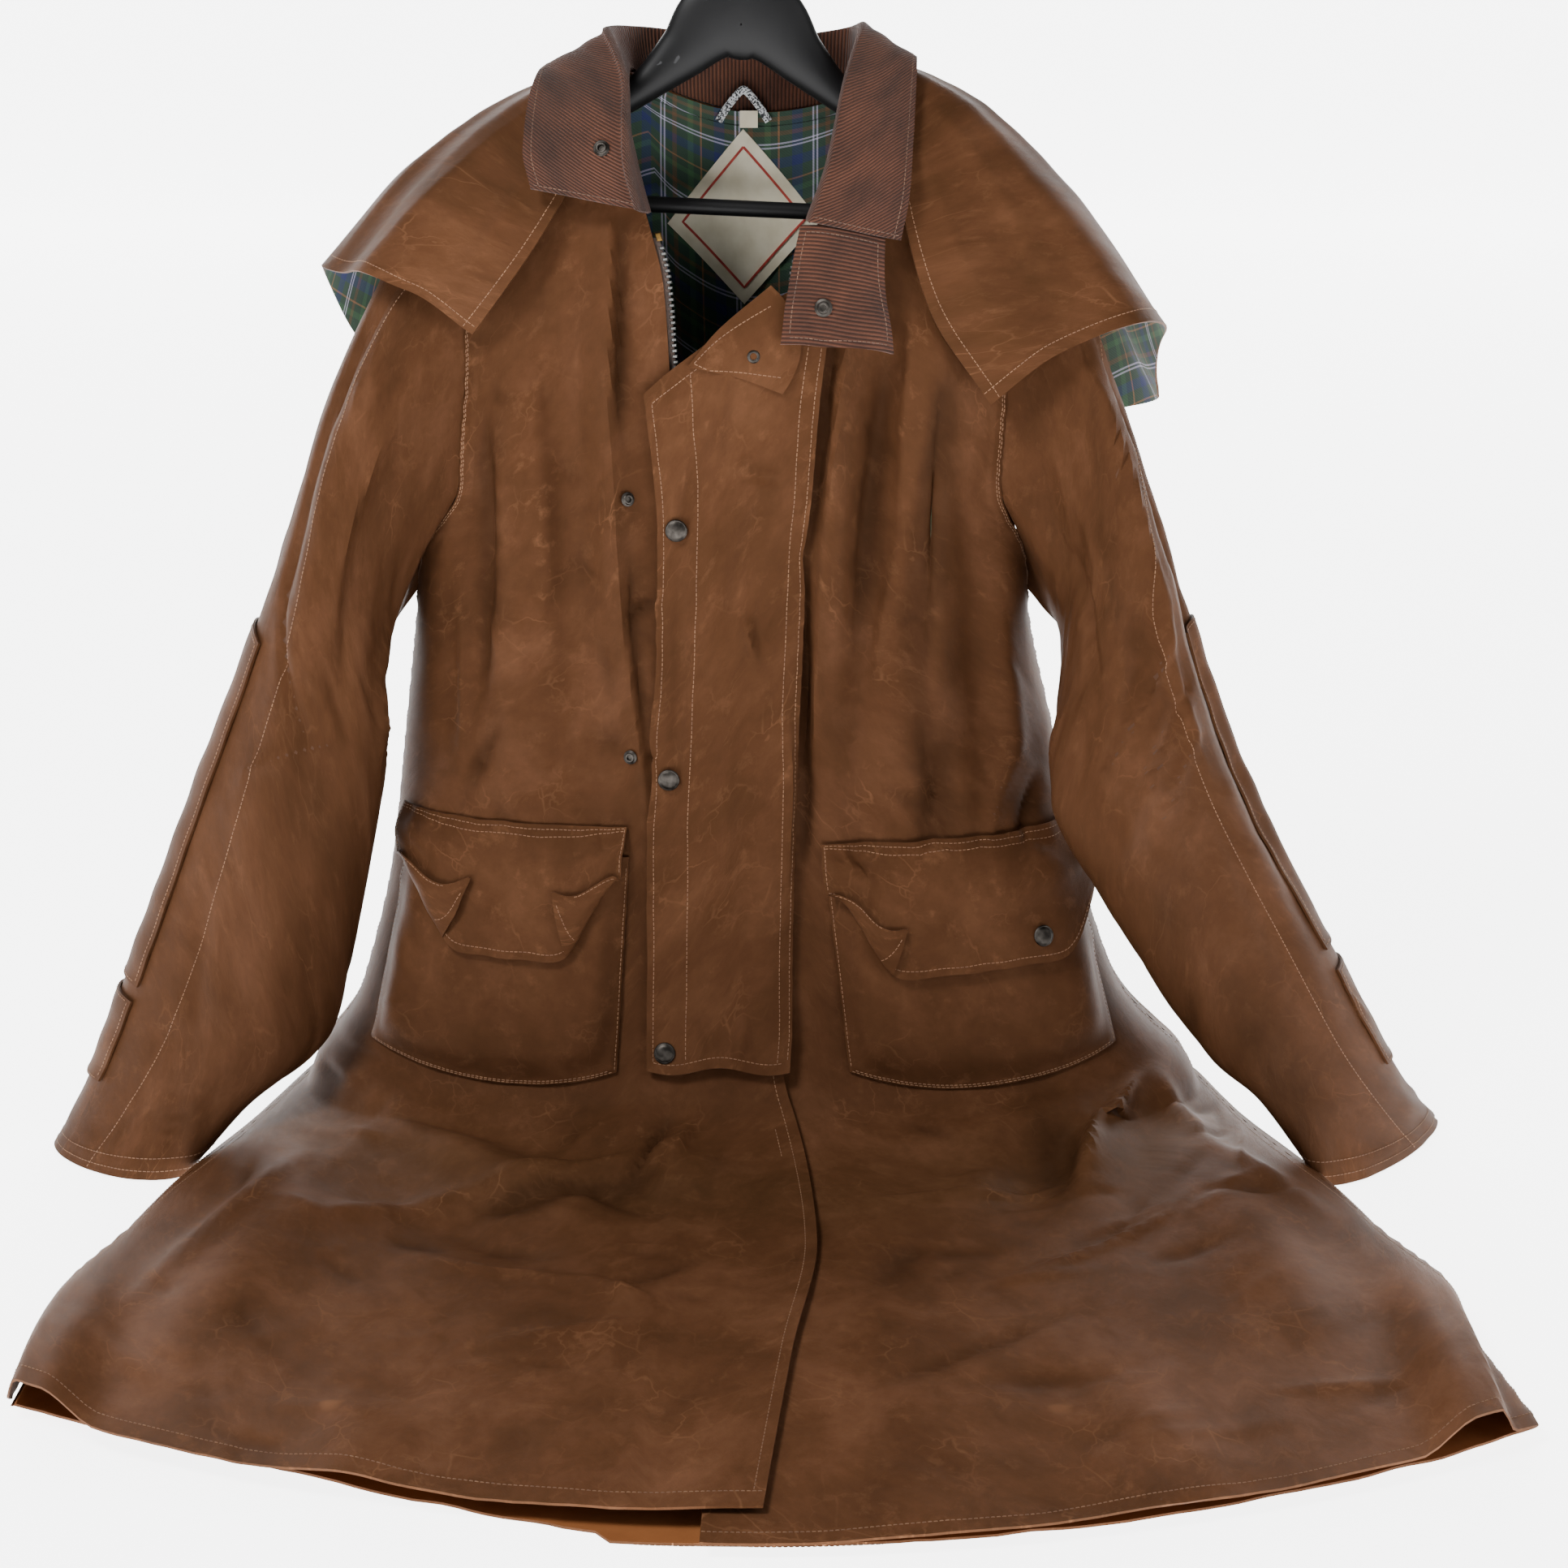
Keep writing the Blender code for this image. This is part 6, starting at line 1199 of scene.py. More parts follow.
def wall_faces(rows, columns, tube):
    """Corner indices of a wall's four-sided faces: its outer side, its inner side and its rim."""
    count = rows * columns
    spans = columns if tube else columns - 1
    r, c = np.meshgrid(np.arange(rows - 1), np.arange(spans), indexing="ij")
    n = (c + 1) % columns
    a, b, d, e = r * columns + c, r * columns + n, (r + 1) * columns + c, (r + 1) * columns + n
    out = np.stack([a, d, e, b], axis=-1).reshape(-1, 4)
    across, ahead = np.arange(spans), (np.arange(spans) + 1) % columns
    foot, last = (rows - 1) * columns, columns - 1
    edges = [(across, ahead, False), (foot + across, foot + ahead, True)]
    if not tube:
        along = np.arange(rows - 1) * columns
        edges += [(along, along + columns, True), (along + last, along + columns + last, False)]
    rim = []
    for here, there, turned in edges:
        ring = np.stack([here, there, there + count, here + count], axis=-1)
        rim.append(ring[:, ::-1] if turned else ring)
    return out, out[:, ::-1] + count, np.concatenate(rim)


def lay_flat(mesh, outer, tube):
    """The texture layer "cut": flat places on the cloth in metres, carried on where a tube closes."""
    columns = outer.shape[1]
    count = outer.shape[0] * columns
    u, v = spread(outer)
    corner = np.zeros(len(mesh.loops), np.int32)
    mesh.loops.foreach_get("vertex_index", corner)
    uv = np.stack([np.tile(u.ravel(), 2), np.tile(v.ravel(), 2)], axis=1)[corner]
    if tube:
        quads = corner.reshape(-1, 4) % columns
        wraps = (quads == columns - 1).any(axis=1)[:, None] & (quads == 0)
        ends = u[:, -1] + np.linalg.norm(outer[:, -1] - outer[:, 0], axis=-1)
        uv[:, 0] = np.where(wraps.ravel(), ends[corner % count // columns], uv[:, 0])
    mesh.uv_layers.new(name="cut").data.foreach_set("uv", uv.astype(np.float32).ravel())


def shell(name, outer, inner, finishes, tube=False, wear=0.3, lined=0, tint=1.0):
    """A closed cloth wall. finishes are its outer and inner ones, and a third one below its lined rows."""
    rows, columns = outer.shape[:2]
    points = np.concatenate([outer.reshape(-1, 3), inner.reshape(-1, 3)]) + SHIFT
    out, back, rim = wall_faces(rows, columns, tube)
    faces = np.concatenate([out, back, rim])
    mesh = bpy.data.meshes.new(name)
    mesh.vertices.add(len(points))
    mesh.vertices.foreach_set("co", points.astype(np.float32).ravel())
    mesh.loops.add(faces.size)
    mesh.loops.foreach_set("vertex_index", faces.astype(np.int32).ravel())
    mesh.polygons.add(len(faces))
    mesh.polygons.foreach_set("loop_start", np.arange(0, faces.size, 4, dtype=np.int32))
    mesh.polygons.foreach_set("loop_total", np.full(len(faces), 4, dtype=np.int32))
    row_of_face = np.repeat(np.arange(rows - 1), len(out) // (rows - 1))
    inside = np.where(row_of_face < lined, 1, len(finishes) - 1)
    index = np.concatenate([np.zeros(len(out)), inside, np.zeros(len(rim))]).astype(np.int32)
    mesh.polygons.foreach_set("material_index", index)
    mesh.update(calc_edges=True)
    mesh.validate()
    lay_flat(mesh, outer, tube)
    level = np.broadcast_to(wear, (rows, columns)).ravel()
    mark = mesh.attributes.new("wear", "FLOAT", "POINT")
    mark.data.foreach_set("value", np.tile(level, 2).astype(np.float32))
    # tint: painted shade and light, which the wax material multiplies into its colour.
    shade = np.broadcast_to(tint, (rows, columns, 3)).reshape(-1, 3)
    mark = mesh.attributes.new("tint", "FLOAT_VECTOR", "POINT")
    mark.data.foreach_set("vector", np.tile(shade, (2, 1)).astype(np.float32).ravel())
    for finish in finishes:
        mesh.materials.append(finish)
    return placed(name, mesh, 55)


def mesh_piece(name, part, finish, sharp=40):
    """A piece from the points and faces of a part."""
    points, faces = part
    mesh = bpy.data.meshes.new(name)
    corners = [tuple(map(float, p)) for p in np.asarray(points) + SHIFT]
    mesh.from_pydata(corners, [], [tuple(map(int, f)) for f in faces])
    mesh.materials.append(finish)
    return placed(name, mesh, sharp)


def patch(name, panel, place, thickness, walls, bumps=0.0, wear=0.3):
    """A wall on a panel, or over both fronts, from their points moved out. place is x, down and lift."""
    if isinstance(panel, tuple):
        outer = soften(on_fronts(*panel, *place)[0], 14)
        normal = grid_normals(outer)
    else:
        outer, normal = on_grid(panel, *place)
    outer = outer + normal * np.asarray(bumps)[..., None]
    made = shell(name + "_cloth", outer, outer - normal * thickness, walls, wear=wear)
    return show_cloth(made, name), outer, normal


def edge_run(outer, normal, row=None, column=None, start=0, stop=None):
    """A line along a row or column of a grid, just above it, with its normals."""
    part = (row, slice(start, stop)) if row is not None else (slice(start, stop), column)
    return outer[part] + normal[part] * STITCH_RAISED, normal[part]


def around(outer, normal, inset):
    """Four lines round a grid, some rows and columns in from its edges: top, foot, left and right."""
    near = {"start": inset, "stop": -inset}
    rows = [edge_run(outer, normal, row=row, **near) for row in (inset, -1 - inset)]
    return rows + [edge_run(outer, normal, column=column, **near) for column in (inset, -1 - inset)]


def stitches(lines):
    """Points and faces of a row of stitches for each line, given as its points and normals."""
    shape = ((-0.5, -0.4, 1.0), (-0.22, 1, 0.55), (0.22, 1, 0.55), (0.5, -0.4, 1.0))
    sides = ((0, 4, 5, 1), (1, 5, 6, 2), (2, 6, 7, 3), (0, 1, 2, 3), (4, 7, 6, 5), (0, 3, 7, 4))
    points, faces, start = [], [], 0
    for path, normal in lines:
        far = np.concatenate([[0], np.cumsum(np.linalg.norm(np.diff(path, axis=0), axis=1))])
        count = int(far[-1] / STITCH_PITCH)
        if count < 1:
            continue
        at = (np.arange(count) + 0.5) * STITCH_PITCH
        middle, ahead, up = (
            np.stack([np.interp(where, far, values[:, i]) for i in range(3)], axis=1)
            for where, values in ((at, path), (at + 0.001, path), (at, normal))
        )
        up, way = unit(up), unit(ahead - middle + 1e-9)
        wide = unit(np.cross(up, way))
        for side in (-1, 1):
            for x, z, lip in shape:
                across = wide * side * STITCH_WIDE * lip
                points.append(middle + way * x * STITCH_LONG + across + up * z * STITCH_HIGH)
        rows = [start + np.arange(count) + i * count for i in range(8)]
        faces += [np.stack([rows[i] for i in corners], axis=-1) for corners in sides]
        start += 8 * count
    return np.concatenate(points), np.concatenate(faces)


# Materials


class Tree:
    """Builds one material's node tree. Each call adds a node and returns its first output."""

    def __init__(self, name):
        self.made = bpy.data.materials.new(name)
        self.made.use_nodes = True
        self.tree = self.made.node_tree
        self.shader = self.tree.nodes["Principled BSDF"]
        self.bump = None

    def node(self, kind, out=0, props=(), **inputs):
        made = self.tree.nodes.new(kind)
        for key, value in props:
            setattr(made, key, value)
        for key, value in inputs.items():
            name = key.replace("_", " ")
            socket = made.inputs[int(key[1:])] if key[0] == "i" and key[1:].isdigit() else made.inputs[name]
            if isinstance(value, bpy.types.NodeSocket):
                self.tree.links.new(value, socket)
            else:
                socket.default_value = value
        return made.outputs[out]

    def cut(self):
        return self.node("ShaderNodeUVMap", props=(("uv_map", "cut"),))

    def place(self):
        return self.node("ShaderNodeTexCoord", out=3)

    def math(self, how, a, b=0.0):
        return self.node("ShaderNodeMath", props=(("operation", how),), i0=a, i1=b)

    def noise(self, where, scale, detail=3.0, rough=0.5, kind="FBM", warp=0.0):
        return self.node(
            "ShaderNodeTexNoise", props=(("noise_type", kind), ("normalize", True)),
            Vector=where, Scale=scale, Detail=detail, Roughness=rough, Distortion=warp,
        )

    def cells(self, where, scale, feature="DISTANCE_TO_EDGE"):
        return self.node("ShaderNodeTexVoronoi", props=(("feature", feature),), Vector=where, Scale=scale)

    def waves(self, where, scale, across="X", warp=0.0):
        return self.node(
            "ShaderNodeTexWave", out=1, props=(("wave_type", "BANDS"), ("bands_direction", across)),
            Vector=where, Scale=scale, Distortion=warp,
        )

    def shift(self, where, by, amount):
        """The place moved about by a noise, so that no line stays straight."""
        offset = self.node("ShaderNodeVectorMath", props=(("operation", "SCALE"),), i0=by, Scale=amount)
        return self.node("ShaderNodeVectorMath", props=(("operation", "ADD"),), i0=where, i1=offset)

    def ramp(self, value, *stops):
        made = self.tree.nodes.new("ShaderNodeValToRGB")
        self.tree.links.new(value, made.inputs[0])
        band = made.color_ramp
        while len(band.elements) < len(stops):
            band.elements.new(0.5)
        for element, (at, colour) in zip(band.elements, stops):
            element.position = at
            element.color = (*colour, 1.0) if hasattr(colour, "__len__") else (colour, colour, colour, 1.0)
        return made.outputs[0]

    def mix(self, share, a, b, how="MIX"):
        made = self.tree.nodes.new("ShaderNodeMix")
        made.data_type = "RGBA"
        made.blend_type = how
        for socket, value in ((made.inputs[0], share), (made.inputs[6], a), (made.inputs[7], b)):
            if isinstance(value, bpy.types.NodeSocket):
                self.tree.links.new(value, socket)
            else:
                socket.default_value = value if not hasattr(value, "__len__") else (*value, 1.0)
        return made.outputs[2]

    def raise_by(self, height, distance, strength=1.0):
        made = self.tree.nodes.new("ShaderNodeBump")
        made.inputs["Strength"].default_value = strength
        made.inputs["Distance"].default_value = distance
        self.tree.links.new(height, made.inputs["Height"])
        if self.bump is not None:
            self.tree.links.new(self.bump, made.inputs["Normal"])
        self.bump = made.outputs[0]

    def done(self, **sockets):
        for key, value in sockets.items():
            socket = self.shader.inputs[key.replace("_", " ")]
            if isinstance(value, bpy.types.NodeSocket):
                self.tree.links.new(value, socket)
            else:
                socket.default_value = (*value, 1.0) if hasattr(value, "__len__") else value
        if self.bump is not None:
            self.tree.links.new(self.bump, self.shader.inputs["Normal"])
        return self.made


def srgb(r, g, b):
    return tuple(((c / 255 + 0.055) / 1.055) ** 2.4 if c > 10 else c / 255 / 12.92 for c in (r, g, b))


def waxed(name, dark, middle, pale, scuff=(158, 112, 80), marks=()):
    """Waxed cotton: mottled wax, multiplied by the painted shade and light of its tint attribute, dry pale
    crease lines where it is worn, and a fine close weave.
    """
    t = Tree(name)
    cut = t.cut()
    wear = t.node("ShaderNodeAttribute", out=2, props=(("attribute_name", "wear"),))
    tint = t.node("ShaderNodeAttribute", out=0, props=(("attribute_name", "tint"),))
    wander = t.noise(cut, 14.0, 3.0)
    bent = t.shift(cut, wander, 0.05)
    cloud = t.noise(bent, 11.0, 6.0, 0.66)
    colour = t.ramp(cloud, (0.30, srgb(*dark)), (0.50, srgb(*middle)), (0.70, srgb(*pale)))
    # Painted shade and light: the tint attribute darkens and lightens the wax colour.
    colour = t.mix(1.0, colour, tint, "MULTIPLY")
    fine = t.noise(cut, 130.0, 4.0, 0.65)
    colour = t.mix(0.30, colour, t.ramp(fine, (0.3, 0.6), (0.7, 1.0)), "MULTIPLY")
    lines = t.noise(t.shift(cut, t.noise(cut, 30.0, 2.0), 0.02), 26.0, 7.0, 0.62, "RIDGED_MULTIFRACTAL")
    creased = t.ramp(lines, (0.56, 0.0), (0.78, 1.0))
    web = t.cells(t.shift(cut, t.noise(cut, 45.0, 3.0), 0.028), 34.0)
    hair = t.ramp(web, (0.0, 1.0), (0.035, 0.0))
    hair = t.math("MULTIPLY", hair, t.ramp(t.noise(cut, 17.0, 3.0), (0.50, 0.0), (0.70, 0.55)))
    flecks = t.ramp(t.noise(t.shift(cut, wander, 0.03), 55.0, 6.0, 0.7), (0.56, 0.0), (0.70, 1.0))
    worn = t.math("MAXIMUM", t.math("MULTIPLY", creased, 0.55), t.math("MULTIPLY", flecks, 0.32))
    worn = t.math("MULTIPLY", t.math("MAXIMUM", worn, hair), wear)
    colour = t.mix(t.math("MULTIPLY", worn, 0.62), colour, srgb(*scuff))
    for at, size, stain, much in marks:
        how = (("operation", "DISTANCE"),)
        away = t.node("ShaderNodeVectorMath", out=1, props=how, i0=bent, i1=(*at, 0.0))
        colour = t.mix(t.ramp(away, (size * 0.35, much), (size, 0.0)), colour, srgb(*stain))
    weave = t.math("MULTIPLY", t.waves(cut, 480.0, "X"), t.waves(cut, 480.0, "Y"))
    t.raise_by(t.noise(bent, 60.0, 5.0, 0.55), 0.0018, 0.25)
    t.raise_by(lines, 0.0012, 0.35)
    t.raise_by(weave, 0.00012, 0.5)
    rough = t.ramp(t.math("ADD", worn, t.math("MULTIPLY", fine, 0.4)), (0.10, 0.56), (0.9, 0.84))
    sheen = srgb(222, 184, 156)
    return t.done(Base_Color=colour, Roughness=rough, Specular_IOR_Level=0.09, Specular_Tint=sheen)


def plain_weave(name, colour, second, scale=420.0):
    """Unwaxed cotton, as inside the skirt and the sleeves."""
    t = Tree(name)
    cut = t.cut()
    cloud = t.noise(cut, 16.0, 5.0, 0.6)
    tint = t.ramp(cloud, (0.3, srgb(*colour)), (0.7, srgb(*second)))
    weave = t.math("MULTIPLY", t.waves(cut, scale, "X"), t.waves(cut, scale, "Y"))
    t.raise_by(t.noise(cut, 70.0, 5.0), 0.0015, 0.5)
    t.raise_by(weave, 0.00015, 0.6)
    return t.done(Base_Color=tint, Roughness=0.85, Specular_IOR_Level=0.3)


def plaid(name, ground, bands, pitch):
    """A woven check: for each band its place in the repeat, half width and colour, laid both ways."""
    t = Tree(name)
    cut = t.cut()
    xyz = t.tree.nodes.new("ShaderNodeSeparateXYZ")
    t.tree.links.new(cut, xyz.inputs[0])
    colour = None
    sides = []
    for out in (0, 1):
        turn = t.math("FRACT", t.math("DIVIDE", xyz.outputs[out], pitch))
        stops = [(0.0, srgb(*ground))]
        for at, half, tone in bands:
            stops += [(at - half, srgb(*tone)), (at + half, srgb(*ground))]
        tone = t.ramp(turn, *stops)
        t.tree.nodes[-1].color_ramp.interpolation = "CONSTANT"
        sides.append(tone)
    colour = t.mix(0.5, sides[0], sides[1])
    twill = t.waves(cut, 260.0, "DIAGONAL")
    colour = t.mix(0.25, colour, t.ramp(twill, (0.2, 0.45), (0.8, 1.0)), "MULTIPLY")
    t.raise_by(twill, 0.0002, 0.5)
    t.raise_by(t.noise(cut, 60.0, 4.0), 0.0015, 0.4)
    return t.done(Base_Color=colour, Roughness=0.9, Sheen_Weight=0.12)


def corduroy(name, across):
    """Corduroy with a wale about every 3 mm, flatter in its grooves and darker there: partly the ground's own
    tone, partly painted shade in the grooves.
    """
    t = Tree(name)
    cut = t.cut()
    wale = t.waves(cut, 2 * math.pi / (20 * WALE), across, 0.25)
    tone = t.ramp(t.noise(cut, 30.0, 4.0), (0.3, srgb(60, 34, 23)), (0.7, srgb(92, 54, 37)))
    # Partly painted shade: the grooves between the wales are darkened in the colour.
    colour = t.mix(0.85, tone, t.ramp(wale, (0.15, 0.22), (0.55, 1.0)), "MULTIPLY")
    nap = t.ramp(t.noise(cut, 900.0, 2.0), (0.3, 0.7), (0.7, 1.0))
    colour = t.mix(0.5, colour, nap, "MULTIPLY")
    t.raise_by(wale, 0.0011, 0.9)
    t.raise_by(t.noise(cut, 700.0, 2.0), 0.0003, 0.4)
    return t.done(Base_Color=colour, Roughness=0.9, Specular_IOR_Level=0.25, Sheen_Weight=0.08)


def thread(name, tone, second):
    t = Tree(name)
    where = t.place()
    colour = t.ramp(t.noise(where, 160.0, 2.0), (0.35, srgb(*tone)), (0.65, srgb(*second)))
    t.raise_by(t.noise(where, 2600.0, 2.0), 0.0001, 0.5)
    return t.done(Base_Color=colour, Roughness=0.7, Sheen_Weight=0.1)


def metal(name, tone, worn, rough):
    t = Tree(name)
    where = t.place()
    cloud = t.noise(where, 150.0, 3.0, 0.5)
    colour = t.ramp(cloud, (0.4, srgb(*tone)), (0.85, srgb(*worn)))
    t.raise_by(t.noise(where, 900.0, 3.0), 0.00008, 0.4)
    return t.done(Base_Color=colour, Metallic=1.0, Roughness=t.ramp(cloud, (0.3, rough), (0.7, rough + 0.2)))


def moulded(name, tone):
    """Matt moulded plastic with a fine grain and a few light scratches."""
    t = Tree(name)
    where = t.place()
    scratch = t.ramp(t.noise(where, 90.0, 6.0, 0.8, "RIDGED_MULTIFRACTAL", 1.5), (0.72, 0.0), (0.9, 1.0))
    colour = t.mix(t.math("MULTIPLY", scratch, 0.25), srgb(*tone), srgb(110, 110, 112))
    t.raise_by(t.noise(where, 1400.0, 3.0), 0.00012, 0.5)
    rough = t.ramp(scratch, (0.0, 0.46), (1.0, 0.65))
    return t.done(Base_Color=colour, Roughness=rough, Specular_IOR_Level=0.22)


def speckled(name):
    """A braided cord of dark and pale yarns."""
    t = Tree(name)
    where = t.place()
    braid = t.cells(where, 900.0, "F1")
    colour = t.ramp(t.noise(where, 700.0, 2.0, 0.5), (0.46, srgb(38, 40, 44)), (0.52, srgb(196, 198, 200)))
    t.raise_by(braid, 0.0004, 0.7)
    return t.done(Base_Color=colour, Roughness=0.85)


def woven_satin(name, tone, second):
    t = Tree(name)
    cut = t.cut()
    rib = t.waves(cut, 620.0, "Y")
    colour = t.ramp(t.noise(cut, 45.0, 5.0), (0.35, srgb(*tone)), (0.65, srgb(*second)))
    colour = t.mix(0.2, colour, t.ramp(rib, (0.2, 0.6), (0.8, 1.0)), "MULTIPLY")
    t.raise_by(rib, 0.00012, 0.6)
    return t.done(Base_Color=colour, Roughness=0.6, Sheen_Weight=0.15)


# Shapes that are not cloth walls


def tube(path, half_up, half_side, side, sides):
    """Points and faces of a bar along a path, elliptical across it."""
    path = np.array(path, float)
    forward = unit(np.gradient(path, axis=0))
    side = np.broadcast_to(np.array(side, float), path.shape)
    up = unit(np.cross(side, forward))
    turn = np.linspace(0, 2 * np.pi, sides, endpoint=False)
    half_up = np.broadcast_to(half_up, len(path))[:, None, None]
    half_side = np.broadcast_to(half_side, len(path))[:, None, None]
    rise = up[:, None] * half_up * np.cos(turn)[None, :, None]
    reach = side[:, None] * half_side * np.sin(turn)[None, :, None]
    points = (path[:, None] + (rise + reach)).reshape(-1, 3)
    faces = []
    for r in range(len(path) - 1):
        for c in range(sides):
            n = (c + 1) % sides
            faces.append((r * sides + c, r * sides + n, (r + 1) * sides + n, (r + 1) * sides + c))
    last = (len(path) - 1) * sides
    return points, faces + [tuple(range(sides - 1, -1, -1)), tuple(range(last, last + sides))]


def joined(parts):
    """One run of points and faces from several."""
    points, faces, start = [], [], 0
    for some_points, some_faces in parts:
        points.append(np.asarray(some_points))
        faces += [tuple(i + start for i in face) for face in some_faces]
        start += len(some_points)
    return np.concatenate(points), faces


def turned_part(centre, normal, radius, height, rings, sides=40):
    """Points and faces of a round fastening: rings of (radius share, height share) from its foot up."""
    normal = unit(np.array(normal, float))
    across = unit(np.cross(normal, (0.0, 0.0, 1.0)))
    up = np.cross(across, normal)
    turn = np.linspace(0, 2 * np.pi, sides, endpoint=False)
    spin = across[None] * np.cos(turn)[:, None] + up[None] * np.sin(turn)[:, None]
    points = [centre + spin * radius * share + normal * height * rise for share, rise in rings]
    faces = []
    for r in range(len(rings) - 1):
        for c in range(sides):
            n = (c + 1) % sides
            faces.append((r * sides + c, (r + 1) * sides + c, (r + 1) * sides + n, r * sides + n))
    last = (len(rings) - 1) * sides
    ends = [tuple(range(sides)), tuple(range(last + sides - 1, last - 1, -1))]
    return np.concatenate(points), faces + ends


def boxes(centres, ways, sides, ups, sizes):
    """Points and faces of many small blocks with bevelled tops."""
    half = np.asarray(sizes) / 2
    points, faces = [], []
    for i, (centre, way, side, up) in enumerate(zip(centres, ways, sides, ups)):
        for z, inset in ((-1, 1.0), (0.45, 1.0), (1, 0.72)):
            for x, y in ((-1, -1), (1, -1), (1, 1), (-1, 1)):
                flat = way * x * half[0] * inset + side * y * half[1] * inset
                points.append(centre + flat + up * z * half[2])
        k = i * 12
        for r in (0, 4):
            low = k + r
            faces += [(low + c, low + (c + 1) % 4, low + 4 + (c + 1) % 4, low + 4 + c) for c in range(4)]
        faces += [(k + 3, k + 2, k + 1, k), (k + 8, k + 9, k + 10, k + 11)]
    return np.array(points), faces


# The coat


def finishes():
    """Every material of the coat and its hanger, by a short name."""
    stains = (
        ((-0.30, 1.02), 0.012, (96, 104, 112), 0.5),
        ((0.045, 0.985), 0.012, (44, 34, 26), 0.7),
    )
    check_bands = (
        (0.10, 0.030, (98, 70, 48)), (0.24, 0.012, (196, 190, 214)), (0.29, 0.012, (196, 190, 214)),
        (0.50, 0.070, (36, 46, 92)), (0.74, 0.012, (150, 106, 70)), (0.88, 0.040, (60, 96, 62)),
    )
    return {
        "wax": waxed("waxed_cotton", (58, 36, 21), (70, 44, 27), (84, 55, 37), marks=stains),
        "trim": waxed("waxed_cotton_trim", (59, 37, 21), (70, 44, 27), (84, 55, 36)),
        "inside": plain_weave("dark_inside", (58, 36, 22), (74, 47, 29)),
        "unlined": plain_weave("unwaxed_inside", (134, 80, 40), (156, 98, 54)),
        "check": plaid("plaid_lining", (44, 66, 52), check_bands, PLAID_PITCH),
        "cord_up": corduroy("corduroy", "X"),
        "cord_across": corduroy("corduroy_across", "Y"),
        "tan": thread("thread_tan", (98, 66, 42), (126, 90, 60)),
        "dark": thread("thread_dark", (70, 48, 36), (104, 74, 54)),
        "red": thread("thread_red", (150, 40, 34), (176, 62, 50)),
        "cream": woven_satin("woven_label", (214, 204, 176), (232, 224, 200)),
        "tape": woven_satin("zip_tape", (52, 36, 28), (74, 52, 40)),
        "gunmetal": metal("gunmetal", (46, 43, 40), (92, 87, 82), 0.34),
        "silver": metal("tooth_metal", (170, 170, 168), (120, 118, 114), 0.25),
        "brass": metal("brass_stop", (168, 132, 76), (120, 92, 52), 0.3),
        "steel": metal("hook_steel", (176, 176, 178), (132, 132, 134), 0.22),
        "black": moulded("black_plastic", (13, 13, 14)),
        "cord": speckled("speckled_cord"),
    }


def build_panel(name, panel, cell, finish, below):
    """A front or the back as a cloth wall: plaid inside as far as the lining, another finish below it."""
    points = panel["points"]
    walls = (finish["wax"], finish["check"], finish[below])
    made = shell(
        "cloth_" + name, points, points - panel["base"] * CLOTH, walls,
        wear=panel["wear"], lined=int(LINED_TO / cell), tint=panel["tint"],
    )
    show_cloth(made, name)


def build_fronts(finish):
    """Both fronts, the wearer's right one first."""
    panels = []
    for side, name, hem in ((-1, "front_right", RIGHT_HEM_DOWN), (1, "front_left", HEM_DOWN)):
        panel = front_grid(side, list(np.arange(0.0, hem - LAST_ROW_GAP, CELL)), hem)
        build_panel(name, panel, CELL, finish, "inside")
        panels.append(panel)
    return panels


def build_back(finish):
    back = back_grid(list(np.arange(0.0, HEM_DOWN - LAST_ROW_GAP, BACK_CELL)))
    build_panel("back", back, BACK_CELL, finish, "unlined")
    return back


def sleeve_wear(side, outer):
    """Wear of a sleeve, most at its cuff and its armhole."""
    share = np.linspace(0, 1, len(outer))[:, None]
    worn = 0.30 + 0.35 * ramp(0.93, 1.0, share) + 0.25 * (1 - ramp(0.0, 0.03, share))
    return worn + 0.15 * ripple(outer[..., 0], outer[..., 2], 0.08, 30 + side)


def build_sleeve(side, name, finish, lines):
    """A sleeve with its seam, its cuff's stitching, its elbow patch and its cuff tab."""
    outer, inner, turn = sleeve_grids(side)
    facing = grid_normals(outer, tube=True)
    walls = (finish["wax"], finish["inside"])
    made = shell("cloth_" + name, outer, inner, walls, tube=True, wear=sleeve_wear(side, outer))
    show_cloth(made, name)
    turned = (turn + 180) % 360 - 180
    loop = np.append(np.arange(outer.shape[1]), 0)
    for row in CUFF_STITCH_ROWS:
        lines.append(edge_run(outer[:, loop], facing[:, loop], row=row))
    column = int(np.argmin(np.abs((turned - SLEEVE_SEAM[side] + 180) % 360 - 180)))
    lines.append(edge_run(outer, facing, column=column, start=6))
    for i, patch_name in enumerate(SLEEVE_PATCHES["name"]):
        row = named_row(SLEEVE_PATCHES, i)
        if row["side"] == side:
            build_sleeve_patch(patch_name, row, (outer, facing, turned), finish, lines)


def build_sleeve_patch(name, row, sleeve, finish, lines):
    """An elbow patch or cuff tab: a second layer over some rings and turns of its sleeve."""
    outer, facing, turned = sleeve
    order = np.array([c for c in np.argsort(turned) if row["turn_from"] <= turned[c] <= row["turn_to"]])
    if row["side"] > 0:
        order = order[::-1]
    first, last = row["ring_from"], row["ring_to"]
    count = int((last - first) / SLEEVE_RINGS * len(outer)) * 2
    stops = np.linspace(first, last, count) / SLEEVE_RINGS * (len(outer) - 1)
    low = np.minimum(stops.astype(int), len(outer) - 2)
    t = (stops - low)[:, None, None]
    base = (outer[low] * (1 - t) + outer[low + 1] * t)[:, order]
    normal = unit((facing[low] * (1 - t) + facing[low + 1] * t)[:, order])
    pucker = 0.0003 * np.sin(np.arange(count) * 0.37)[:, None, None]
    top = base + normal * (row["lift"] + pucker)
    made = shell(name + "_cloth", top, top - normal * PATCH_THICK, (finish["trim"],) * 2, wear=0.55)
    show_cloth(made, name)
    lines.extend(around(top, normal, 1))


